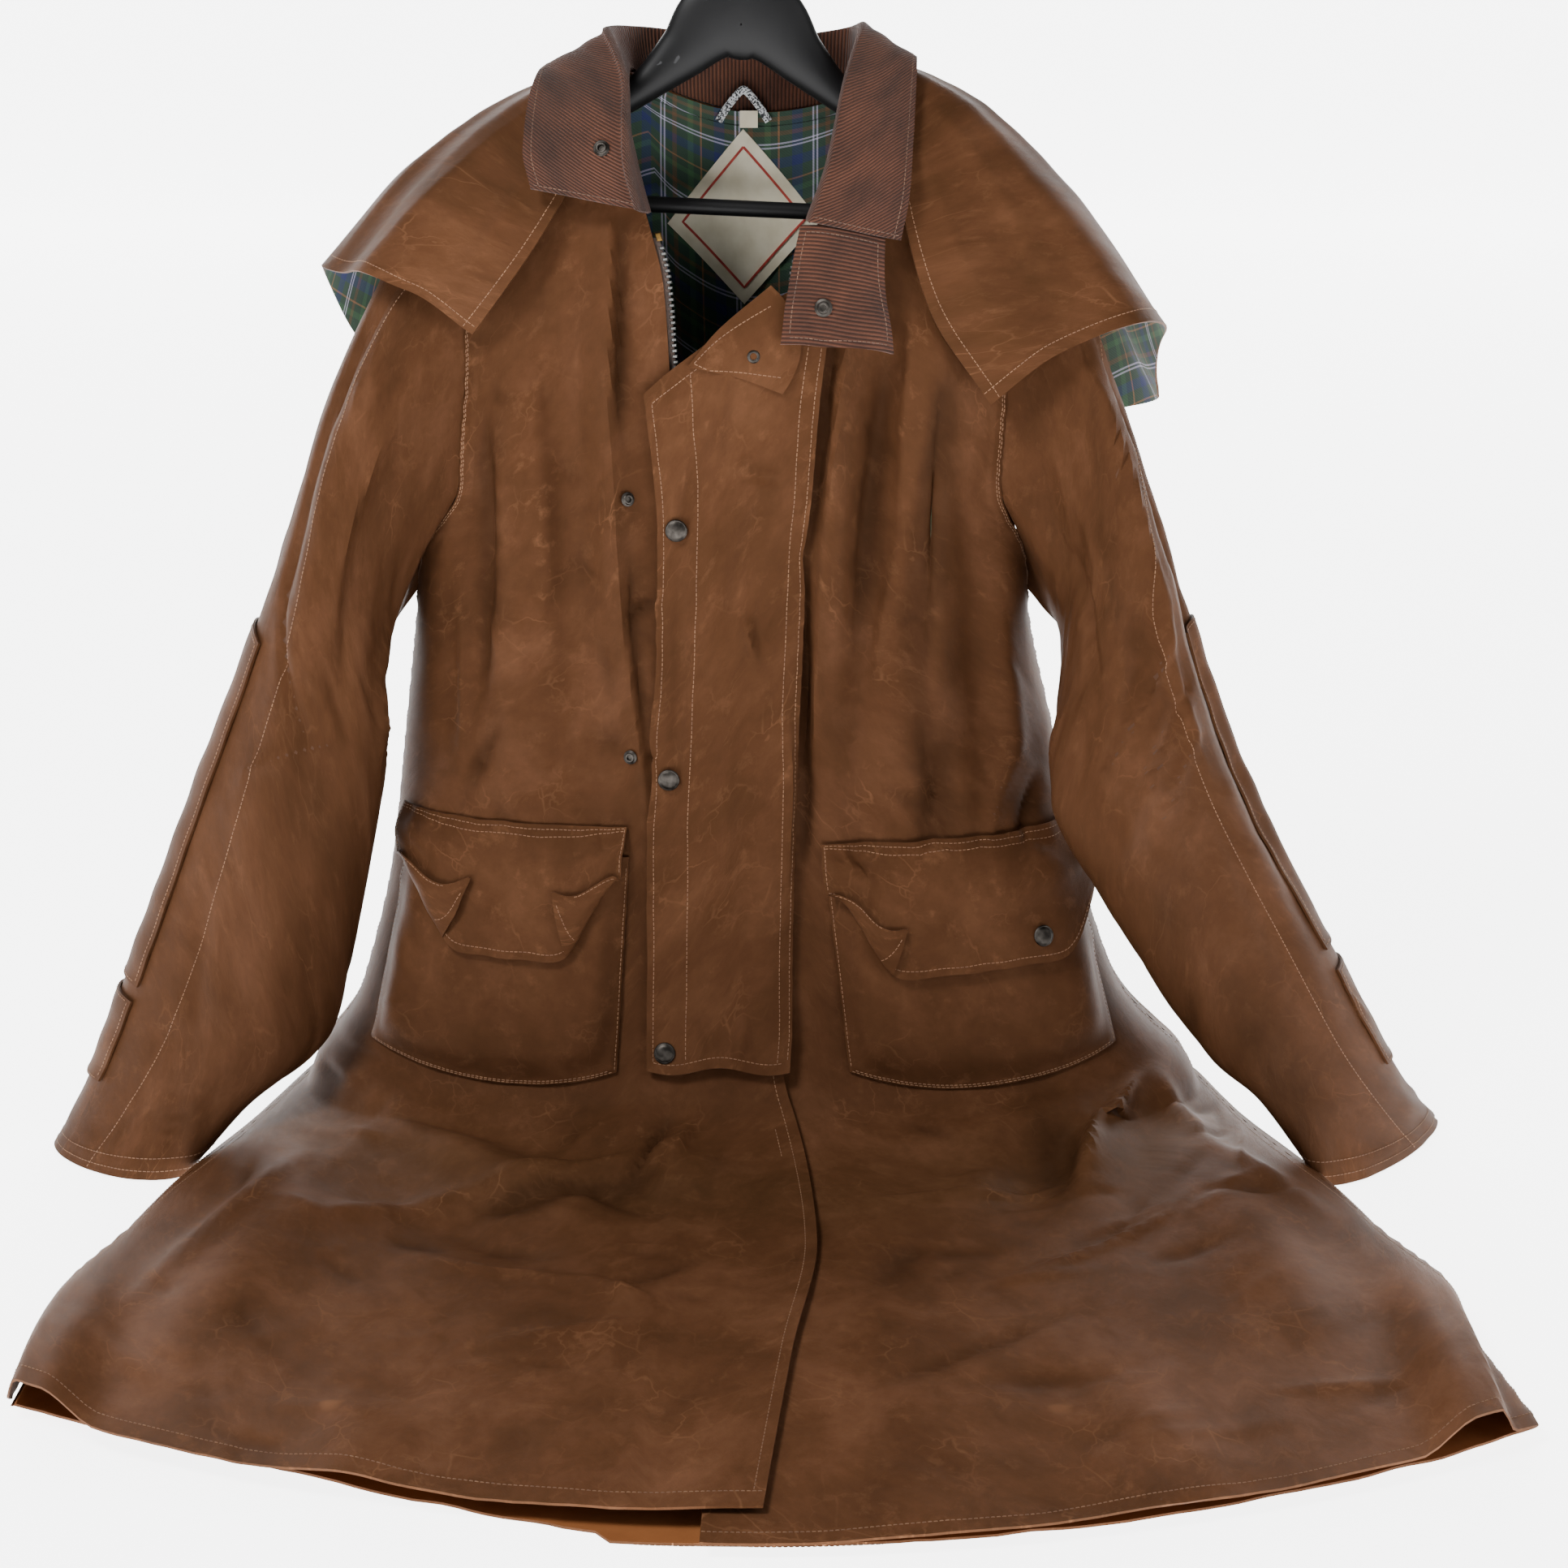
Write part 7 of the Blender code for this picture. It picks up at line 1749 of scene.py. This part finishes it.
def build_cape(finish, lines):
    """The shoulder cape, with long creases and worn edges."""
    rows, columns = CAPE_FINE
    cape = cape_grid(columns, rows)
    facing = grid_normals(cape)
    u, v = spread(cape)
    at, share = np.meshgrid(np.linspace(0, 1, columns), np.linspace(0, 1, rows))
    small = (0.0010 * ripple(u, v, 0.07, 41) + 0.0011) * ramp(0.05, 0.3, share)
    raised = crossing(CAPE_CREASES, 1, at, share * 0.3) + small
    cape = cape + facing * raised[..., None]
    facing = grid_normals(cape)
    edge = np.minimum(np.minimum(share, 1 - share) * 0.25, np.minimum(at, 1 - at) * 1.2)
    wear = 0.30 + 0.5 * np.exp(-edge / 0.008) + 90 * raised.clip(0) * 0.3
    made = shell("cloth_cape", cape, cape - facing * CLOTH, (finish["trim"], finish["check"]), wear=wear)
    show_cloth(made, "cape")
    lines.append(edge_run(cape, facing, row=-3))
    lines.extend(edge_run(cape, facing, column=column) for column in (2, -3))


def build_collar(finish, lines):
    """The corduroy collar, rippled on its leaves; its points are returned for the snap on it."""
    rows, columns = COLLAR_FINE
    collar = smooth_rows(collar_grid(columns), rows)
    facing = grid_normals(collar)
    u, v = spread(collar)
    on_leaf = ramp(0.3, 0.5, np.linspace(0, 1, rows)[:, None])
    collar = collar + facing * (0.0012 * ripple(u, v, 0.05, 51) * on_leaf)[..., None]
    facing = grid_normals(collar)
    walls = (finish["cord_up"], finish["cord_across"])
    made = shell("cloth_collar", collar, collar - facing * CORDUROY, walls, wear=0.4)
    show_cloth(made, "collar")
    lines.append(edge_run(collar, facing, row=-3))
    lines.extend(edge_run(collar, facing, column=column, start=rows // 2) for column in (2, -3))
    return collar


def build_throat_tab(fronts, finish, lines):
    u, v = np.meshgrid(np.linspace(0, 1, 26), np.linspace(0, 1, 34))
    x = between(TAB, "from", v) * (1 - u) + between(TAB, "to", v) * u
    down = between(TAB, "down", v)
    lift = TAB["lift_top"] + TAB["lift_more"] * v
    walls = (finish["cord_across"],) * 2
    _, outer, normal = patch("collar_tab", fronts, (x, down, lift), TAB["thick"], walls)
    lines.extend(around(outer, normal, 2))


def build_pocket(i, side, panel, finish, lines):
    """A bellows pocket, crumpled over its front and worn at its edges."""
    x, down, lift = (finer(v[..., None], 52, 64)[..., 0] for v in pocket_grid(named_row(POCKETS, i)))
    u, v = (x - x.min()) / (x.max() - x.min()), (down - down.min()) / (down.max() - down.min())
    bumps = 0.0016 * ripple(x, down, 0.05, 60 + i) * np.minimum(ramp(0, 0.2, u), ramp(0, 0.2, 1 - u))
    strewn = scattered(65 + i, 9, x.min(), x.max(), down.min() + 0.03, down.max(), 0.3, 0.0022, 0.05)
    bumps = bumps + crossing(strewn, 1, x, down) * ramp(0, 0.15, 1 - v)
    edge = np.minimum(np.minimum(u, 1 - u) * 0.18, (1 - v) * 0.16)
    _, outer, normal = patch(
        "pocket_" + side, panel, (x, down, lift), POCKET_THICK, (finish["trim"], finish["unlined"]),
        bumps, 0.35 + 0.6 * np.exp(-edge / 0.006),
    )
    lines.extend(around(outer, normal, 2)[1:])
    lines.append(edge_run(outer, normal, row=-6, start=5, stop=-5))


def build_flap(i, side, panel, finish, lines):
    """A pocket flap, puckered along its seam, with its turned-up corners."""
    coarse = flap_grid(named_row(FLAPS, i), named_row(POCKETS, i))
    x, down, lift = (finer(v[..., None], 40, 72)[..., 0] for v in coarse)
    u = (x - x.min()) / (x.max() - x.min())
    bumps = 0.0012 * ripple(x, down, 0.045, 70 + i)
    near_seam = np.exp(-((down - down[0]) / 0.014) ** 2)
    bumps = bumps + 0.0007 * np.sin(u * 2 * np.pi * 15 + 2 * np.sin(u * 9)) * near_seam
    walls = (finish["trim"],) * 2
    flap, outer, normal = patch(
        "flap_" + side, panel, (x, down, lift), FLAP_THICK, walls, bumps, 0.55
    )
    lines.extend(around(outer, normal, 2))
    lines.append(edge_run(outer, normal, row=5, start=2, stop=-2))
    for number, corner in enumerate(FLAP_CORNERS[side]):
        name = "flap_%s_corner_%d" % (side, number + 1)
        build_turned_corner(name, corner, flap, outer, normal, walls, lines)


def build_turned_corner(name, corner, flap, outer, normal, walls, lines):
    """One of a flap's lower corners, folded up and lying on it."""
    fold_from, fold_to, tip_row, tip_column = corner
    rows, columns = outer.shape[:2]
    s, t = np.meshgrid(np.linspace(0, 1, 26), np.linspace(0.97, 0, 22))
    row = (1.0 * (1 - t) + tip_row * t) * (rows - 1)
    column = ((fold_from + (fold_to - fold_from) * s) * (1 - t) + tip_column * t) * (columns - 1)
    r, c = row.astype(int).clip(0, rows - 2), column.astype(int).clip(0, columns - 2)
    fr, fc = (row - r)[..., None], (column - c)[..., None]
    near = outer[r, c] * (1 - fr) + outer[r + 1, c] * fr
    far = outer[r, c + 1] * (1 - fr) + outer[r + 1, c + 1] * fr
    facing = normal[r, c]
    lift = 0.0012 + 0.0040 * np.sin(np.pi * t) ** 0.8 + 0.0022 * t
    grid = near * (1 - fc) + far * fc + facing * lift[..., None]
    if fold_from > fold_to:
        grid, facing = grid[:, ::-1], facing[:, ::-1]
    made = shell(name, grid, grid - facing * TURNED_THICK, walls, wear=0.75)
    show(made)
    made.parent = flap
    lines.extend(edge_run(grid, facing, column=column, start=4) for column in (3, -4))


def placket_grid(right, left):
    """Points of the storm placket over both fronts, the distance down of each, and shares of its width."""
    share = np.linspace(0, 1, PLACKET_COLUMNS)
    top = eased(PLACKET_TOP["share"], PLACKET_TOP["down"], share)
    foot = PLACKET_FOOT + 0.0035 * np.sin(share * 9.0) - 0.002
    at = top + (foot - top) * np.linspace(0, 1, PLACKET_ROWS)[:, None]
    free = eased(RIGHT_LINES["down"], RIGHT_LINES["placket"], at) + 0.002
    seam = eased(LEFT_LINES["down"], LEFT_LINES["placket"], at)
    x = free + (seam - free) * share
    on_left = PLACKET_ON_LEFT * (1 - ramp(0.20, 0.32, at)) + 2 * OVERLAP_LIFT * overlap(at)
    lift = eased(PLACKET_TOP["share"], PLACKET_TOP["lift"], share)
    lift = lift + PLACKET_ON_RIGHT + (on_left - PLACKET_ON_RIGHT) * past_right(x, at)
    outer = on_fronts(right, left, x, at, lift)[0]
    for _ in range(4):
        outer[:, 1:-1] = (outer[:, :-2] + 2 * outer[:, 1:-1] + outer[:, 2:]) / 4
    return outer, at, share


def build_placket(right, left, finish, lines):
    """The storm placket over the zip, dented, and puckered along its seam."""
    outer, at, share = placket_grid(right, left)
    facing = grid_normals(outer)
    x = np.broadcast_to(share * PLACKET_WIDE, at.shape)
    dents = 2.4 * crossing(PLACKET_CREASES, 1, x, at, PLACKET_WIDE)
    raised = np.maximum(dents, -PLACKET_DENT_LIMIT) + 0.0008 * ripple(x, at, 0.06, 81)
    near_seam = np.exp(-(((1 - share) * PLACKET_WIDE / 0.012) ** 2))
    pinch = 0.0005 * np.sin(at * 2 * np.pi / 0.017 + 2 * np.sin(at * 40)) * near_seam
    soft = ramp(0.0, 0.06, share) * ramp(0.0, 0.05, 1 - share)
    outer = outer + facing * (raised * soft + pinch + 0.0008)[..., None]
    facing = grid_normals(outer)
    edge = np.minimum(share, 1 - share) * PLACKET_WIDE
    wear = 0.38 + 0.5 * np.exp(-edge / 0.005) + 110 * raised.clip(0) * 0.4
    made = shell("placket_cloth", outer, outer - facing * PLACKET_THICK, (finish["trim"],) * 2, wear=wear)
    show_cloth(made, "placket")
    for line in PLACKET_STITCHES:
        column = int(round(np.interp(line, share, np.arange(PLACKET_COLUMNS))))
        lines.append(edge_run(outer, facing, column=column, start=3, stop=-2))
    lines.extend(edge_run(outer, facing, row=row, start=2, stop=-2) for row in (-3, 3))


def build_placket_corner(right, left, finish, lines):
    """The placket's top corner, turned over along its fold and swelling a little."""
    corner = on_fronts(right, left, TURNED_CORNER["x"], TURNED_CORNER["down"], TURNED_CORNER["lift"])[0]
    fold = smooth_rows(corner[:3], CORNER_COLUMNS)
    low = smooth_rows(corner[6:3:-1], CORNER_COLUMNS)
    v = np.linspace(0, 1, 16)[:, None, None]
    plate = fold[None] * (1 - v) + low[None] * v
    push = (corner[3] - (corner[2] * 0.55 + corner[4] * 0.45))
    along = np.linspace(0, 1, CORNER_COLUMNS)
    plate = plate + push * (along ** 3)[None, :, None] * 4 * v * (1 - v)
    facing = unit(np.cross(plate[-1, 0] - plate[0, -1], plate[-1, -1] - plate[0, 0]))
    facing = facing if facing[1] < 0 else -facing
    swell = 0.0030 * np.sin(np.pi * v[..., 0]) * np.sin(np.pi * along)[None]
    plate = plate + facing * (swell + 0.0006)[..., None]
    direct = grid_normals(plate)
    if direct[8, CORNER_COLUMNS // 2, 1] > 0:
        plate = plate[:, ::-1]
        direct = grid_normals(plate)
    walls = (finish["trim"],) * 2
    made = shell("placket_corner_cloth", plate, plate - direct * CORNER_THICK, walls, wear=0.5)
    show_cloth(made, "placket_corner")
    lines.extend(around(plate, direct, 2)[:3])


def build_zip_tape(side, name, panel, finish):
    """A zip tape behind its front's edge; returns the points and faces of its teeth and of its top stop."""
    downs = np.arange(ZIP_FROM, ZIP_TO, TOOTH_PITCH)
    word = "right" if side < 0 else "left"
    edge = eased(FRONT_EDGES["down"], FRONT_EDGES[word], downs)
    reaches = (ZIP_TAPE_IN, ZIP_TAPE_EDGE)
    (back, back_normal), (front, front_normal) = (
        on_grid(panel, edge + side * reach, downs, -CLOTH - TAPE_BEHIND) for reach in reaches
    )
    across = unit(front - back)
    lip = front + across * ZIP_TAPE_OUT
    outer = np.stack([back, (back + front) / 2, front, (front + lip) / 2, lip], axis=1)
    normals = np.stack([back_normal] * 2 + [front_normal] * 3, axis=1)
    if side > 0:
        outer, normals = outer[:, ::-1], normals[:, ::-1]
    made = shell(name + "_cloth", outer, outer - normals * TAPE_THICK, (finish["tape"],) * 2)
    show_cloth(made, name)
    middle = lip + (lip - front) * 0.02 + normals[:, 0] * 0.0006
    way = unit(np.gradient(middle, axis=0))
    across = unit(lip - front)
    parts = []
    for part, size in ((slice(2, None), TOOTH_SIZE), (slice(0, 1), STOP_SIZE)):
        parts.append(boxes(middle[part], across[part], way[part], front_normal[part], size))
    return parts


def build_zip(right, left, finish):
    """Two tapes, their teeth, and the two stops at the top."""
    right_teeth, right_stop = build_zip_tape(-1, "zip_tape_right", right, finish)
    left_teeth, left_stop = build_zip_tape(1, "zip_tape_left", left, finish)
    show(mesh_piece("zip_teeth", joined([right_teeth, left_teeth]), finish["silver"], sharp=30))
    show(mesh_piece("zip_stops", joined([right_stop, left_stop]), finish["brass"], sharp=30))


def build_lining(back, finish):
    """The lining, from the back's own points inside the neck."""
    rows = slice(int(LINING_FROM / BACK_CELL), int(LINING_TO / BACK_CELL) + 1)
    columns = np.where(np.abs(back["share"]) <= LINING_HALF)[0]
    facing = back["normal"][rows][:, columns]
    lining = back["points"][rows][:, columns] - facing * (CLOTH + SEAM_GAP)
    made = shell("lining_back_cloth", lining, lining - facing * LINING_THICK, (finish["check"],) * 2)
    show_cloth(made, "lining_back")


def build_label(finish):
    """The bare woven label, a diamond with a thin red line inset from its edge."""
    u, v = np.meshgrid(np.linspace(0, 1, LABEL_CELLS + 1), np.linspace(0, 1, LABEL_CELLS + 1))
    x = LABEL_MIDDLE[0] + (u - v) * LABEL_HALF[0]
    down = LABEL_MIDDLE[1] + (u + v - 1) * LABEL_HALF[1]
    angle = np.pi - angle_at(x, down)
    label = body(angle, down) - outward(body, angle, down) * LABEL_DEPTH
    facing = grid_normals(label)
    label = label + facing * (LABEL_THICK + 0.0007 * ripple(x, down, 0.05, 91))[..., None]
    made = shell("label_cloth", label, label - facing * LABEL_THICK, (finish["cream"],) * 2)
    show_cloth(made, "label")
    near, far = LABEL_INSET, LABEL_CELLS - LABEL_INSET
    there, back = range(near, far), range(far, near, -1)
    index = [(near, c) for c in there] + [(r, far) for r in there]
    index += [(far, c) for c in back] + [(r, near) for r in back] + [(near, near)]
    path = np.array([label[i] + facing[i] * 0.0005 for i in index])
    normal = np.array([facing[i] for i in index])
    across = unit(np.cross(unit(np.gradient(path, axis=0)), normal))
    show(mesh_piece("label_line", tube(path, 0.0004, 0.0011, across, 6), finish["red"]))


def build_hanging_loop(finish):
    path = smooth_rows(np.array([(x, LOOP_Y, z) for x, z in HANG_LOOP]), 50)
    part = tube(path, LOOP_HALF_WIDE, LOOP_HALF_THICK, (0, 1, 0), 14)
    show(mesh_piece("hang_loop_cord", part, finish["cord"]), ("hang_loop",))


def build_size_tab(finish):
    u, v = np.meshgrid(np.linspace(0, 1, 13), np.linspace(0, 1, 12))
    y = SIZE_TAB_Y - 0.0005 * np.sin(np.pi * v)
    tab = np.stack([SIZE_TAB_LEFT + SIZE_TAB_WIDE * u, y, SIZE_TAB_TOP - SIZE_TAB_LONG * v], axis=-1)
    facing = grid_normals(tab)
    made = shell("size_tab_cloth", tab, tab - facing * LABEL_THICK, (finish["cream"],) * 2)
    show_cloth(made, "size_tab")


def build_snap(name, centre, normal, row, rings, finish):
    part = turned_part(centre, normal, row["radius"], row["height"], rings)
    show(mesh_piece(name + "_metal", part, finish["gunmetal"], sharp=35), (name,))


def build_snaps(right, left, collar, finish):
    """Caps, studs and sockets on the fronts, and the socket on the collar's right leaf."""
    for i, name in enumerate(SNAPS["name"]):
        row = named_row(SNAPS, i)
        centre, normal = on_fronts(right, left, row["x"], row["down"], row["lift"] + SNAP_RAISED)
        build_snap(name, centre, normal, row, SNAP_CAP if row["cap"] else SNAP_SOCKET, finish)
    leaf = collar[COLLAR_FINE[0] // 2 + 4:]
    cells = (leaf[:-1, :-1] + leaf[:-1, 1:] + leaf[1:, :-1] + leaf[1:, 1:]) / 4
    away = np.hypot(cells[..., 0] - COLLAR_SNAP_NEAR[0], cells[..., 2] - COLLAR_SNAP_NEAR[1])
    r, c = np.unravel_index(np.argmin(away), away.shape)
    normal = unit(np.cross(leaf[r + 1, c] - leaf[r, c + 1], leaf[r + 1, c + 1] - leaf[r, c]))
    centre = cells[r, c] + normal * COLLAR_SNAP["lift"]
    build_snap("snap_collar", centre, normal, COLLAR_SNAP, SNAP_SOCKET, finish)


def build_hanger(finish):
    """The plastic hanger: its body, the bar under it, and the rib along its top."""
    high, deep, stations = HANGER["high"], HANGER["deep"], HANGER["x"]
    rise = np.array([
        arm_centre(x, h, d) if x > HANGER_ARM_FROM else top - h
        for x, top, h, d in zip(stations, HANGER["top"], high, deep)
    ])
    fine = np.linspace(0, stations[-1], 60)
    rise, high, deep = (eased(stations, v, fine) for v in (rise, high, deep))
    reach = np.concatenate([-fine[:0:-1], fine])
    rise, high, deep = (np.concatenate([v[:0:-1], v]) for v in (rise, high, deep))
    past = (np.abs(reach) - HANGER_ROUND_FROM).clip(0) / HANGER_ROUND_LONG
    end = np.sqrt(np.clip(1 - past**2, 0.04, 1))
    level = (0, 1, 0)
    arms = tube([tilted(x, z) for x, z in zip(reach, rise)], high * end, deep * end, level, 28)
    half = np.linspace(HANGER_BAR["x"][0], HANGER_BAR["x"][-1], 8)
    bar_z = eased(HANGER_BAR["x"], HANGER_BAR["z"], half)
    bar_x = np.concatenate([-half[::-1], np.linspace(-half[0], half[0], 40)[1:-1], half])
    bar_z = np.concatenate([bar_z[::-1], np.full(38, bar_z[0]), bar_z])
    bar = tube([tilted(x, z) for x, z in zip(bar_x, bar_z)], HANGER_BAR_RADIUS, HANGER_BAR_RADIUS, level, 20)
    inner = slice(8, -8)
    crest = [tilted(x, z + h * 0.92) for x, z, h in zip(reach[inner], rise[inner], high[inner])]
    rib = tube(crest, HANGER_RIB_HIGH, deep[inner] * 0.55, level, 10)
    show(mesh_piece("hanger", joined([arms, bar, rib]), finish["black"]), ("hanger_body",))


def build_hook(finish):
    """The wire hook with the bead on its tip."""
    turn = np.radians(np.linspace(*HOOK_TURN, 60))
    centre_z = HOOK_HEIGHT + HOOK_WIRE - HOOK_RADIUS
    stem = [(0.0, HOOK_FOOT + up) for up in (0.0, 0.006, 0.012)] + list(HOOK_NECK)
    bow = [(HOOK_RADIUS * math.cos(a), centre_z + HOOK_RADIUS * math.sin(a)) for a in turn]
    hook = [(HANGER_MIDDLE + x, 0, z) for x, z in stem + bow]
    wire = tube(hook, HOOK_WIRE, HOOK_WIRE, (0, 1, 0), 18)
    bead_rings = ((0.75, -0.6), (1, -0.3), (1, 0.1), (0.7, 0.5), (0.3, 0.65))
    tip = turned_part(np.array(hook[-1]), (0.35, 0, -1), 0.0024, 0.0036, bead_rings, 18)
    show(mesh_piece("hook_wire", joined([wire, tip]), finish["steel"]), ("hanger_hook",))


def panel_stitches(right, left, back, lines):
    """Stitching on the fronts and the back: hems, the lap's edge, armholes, side and shoulder seams."""
    armhole_rows = int(UNDERARM_DOWN / CELL)
    for side, panel, hem in ((-1, right, RIGHT_HEM_DOWN), (1, left, HEM_DOWN)):
        points, normal = panel["points"], panel["normal"]
        row = int(np.argmin(np.abs(panel["down"] - (hem - HEM_STITCH_UP))))
        lines.append(edge_run(points, normal, row=row))
        first, second = (1, 2) if side < 0 else (-2, -3)
        lines.append(edge_run(points, normal, column=first, start=2, stop=armhole_rows))
        lines.append(edge_run(points, normal, column=second, start=2, stop=armhole_rows))
        lines.append(edge_run(points, normal, column=first, start=armhole_rows, stop=len(panel["down"]) - 1))
        lines.append(edge_run(points, normal, row=2))
    points, normal = right["points"], right["normal"]
    lines.append(edge_run(points, normal, column=-3, start=int(LAP_STITCH_FROM / CELL), stop=-3))
    lines.append(edge_run(points, normal, column=-5, start=int(0.81 / CELL), stop=int(0.85 / CELL)))
    points, normal = back["points"], back["normal"]
    lines.extend(edge_run(points, normal, column=column, start=2, stop=-2) for column in (1, -2))
    lines.extend(edge_run(points, normal, row=row) for row in (2, -3))


def dress():
    """Every piece of the coat and its hanger, and last the stitching that was gathered on the way."""
    finish = finishes()
    tan_lines, dark_lines = [], []
    right, left = build_fronts(finish)
    back = build_back(finish)
    build_sleeve(-1, "sleeve_right", finish, tan_lines)
    build_sleeve(1, "sleeve_left", finish, tan_lines)
    build_cape(finish, tan_lines)
    collar = build_collar(finish, dark_lines)
    build_throat_tab((right, left), finish, dark_lines)
    for i, (side, panel) in enumerate((("right", right), ("left", left))):
        build_pocket(i, side, panel, finish, tan_lines)
        build_flap(i, side, panel, finish, tan_lines)
    build_placket(right, left, finish, tan_lines)
    build_placket_corner(right, left, finish, tan_lines)
    build_zip(right, left, finish)
    build_lining(back, finish)
    build_label(finish)
    build_hanging_loop(finish)
    build_size_tab(finish)
    build_snaps(right, left, collar, finish)
    build_hanger(finish)
    build_hook(finish)
    panel_stitches(right, left, back, tan_lines)
    for name, lines, thread_name, slot in (
        ("stitches_tan", tan_lines, "tan", "waxed_cotton"),
        ("stitches_dark", dark_lines, "dark", "corduroy"),
    ):
        show(mesh_piece(name, stitches(lines), finish[thread_name], sharp=80))


# Camera, floor and light


def area_light(name, place, toward, size, power):
    light = bpy.data.lights.new(name, "AREA")
    light.shape = "RECTANGLE"
    light.size, light.size_y = size, size
    light.energy = power
    made = bpy.data.objects.new(name, light)
    made.location = place
    way = mathutils.Vector(toward) - mathutils.Vector(place)
    made.rotation_euler = way.to_track_quat("-Z", "Y").to_euler()
    bpy.context.scene.collection.objects.link(made)


def place_camera():
    camera = bpy.data.cameras.new("camera")
    camera.lens, camera.sensor_width, camera.sensor_fit = CAMERA_LENS, 36.0, "HORIZONTAL"
    seat = bpy.data.objects.new("camera", camera)
    seat.location = CAMERA_PLACE
    seat.rotation_euler = (math.radians(90 - CAMERA_DOWN), 0, 0)
    bpy.context.scene.collection.objects.link(seat)
    bpy.context.scene.camera = seat


def lay_floor():
    """A pale floor that glows softly and sweeps up far behind the coat."""
    paint = Tree("studio_floor")
    cloud = paint.noise(paint.place(), 3.0, 3.0)
    tone = paint.ramp(cloud, (0.3, srgb(240, 240, 241)), (0.7, srgb(244, 244, 245)))
    finish = paint.done(Base_Color=tone, Roughness=0.9, Emission_Color=(1.0, 1.0, 1.0), Emission_Strength=5.0)
    turn = np.linspace(0.1, math.pi / 2, 14)
    bend = [(FLOOR_BACK + FLOOR_BEND * math.sin(a), FLOOR_BEND * (1 - math.cos(a))) for a in turn]
    profile = [(FLOOR_FRONT, 0.0), (FLOOR_BACK, 0.0)] + bend + [(FLOOR_BACK + FLOOR_BEND, WALL_TOP)]
    sweep = np.array([(x, y, z) for y, z in profile for x in (-FLOOR_HALF, FLOOR_HALF)])
    faces = [(2 * i, 2 * i + 1, 2 * i + 3, 2 * i + 2) for i in range(len(profile) - 1)]
    mesh_piece("studio_floor", (sweep - [SHIFT[0], 0, 0], faces), finish)


def light_room():
    world = bpy.data.worlds.new("studio_world")
    bpy.context.scene.world = world
    world.use_nodes = True
    sky = world.node_tree.nodes["Background"]
    sky.inputs["Color"].default_value = (1.0, 0.99, 0.97, 1.0)
    sky.inputs["Strength"].default_value = 0.30
    area_light("key_light", (-1.3, -1.5, 1.7), LIGHT_TOWARD, 0.8, 84)
    area_light("fill_light", (2.0, -1.6, 0.9), LIGHT_TOWARD, 1.8, 16)


dress()
place_camera()
lay_floor()
light_room()
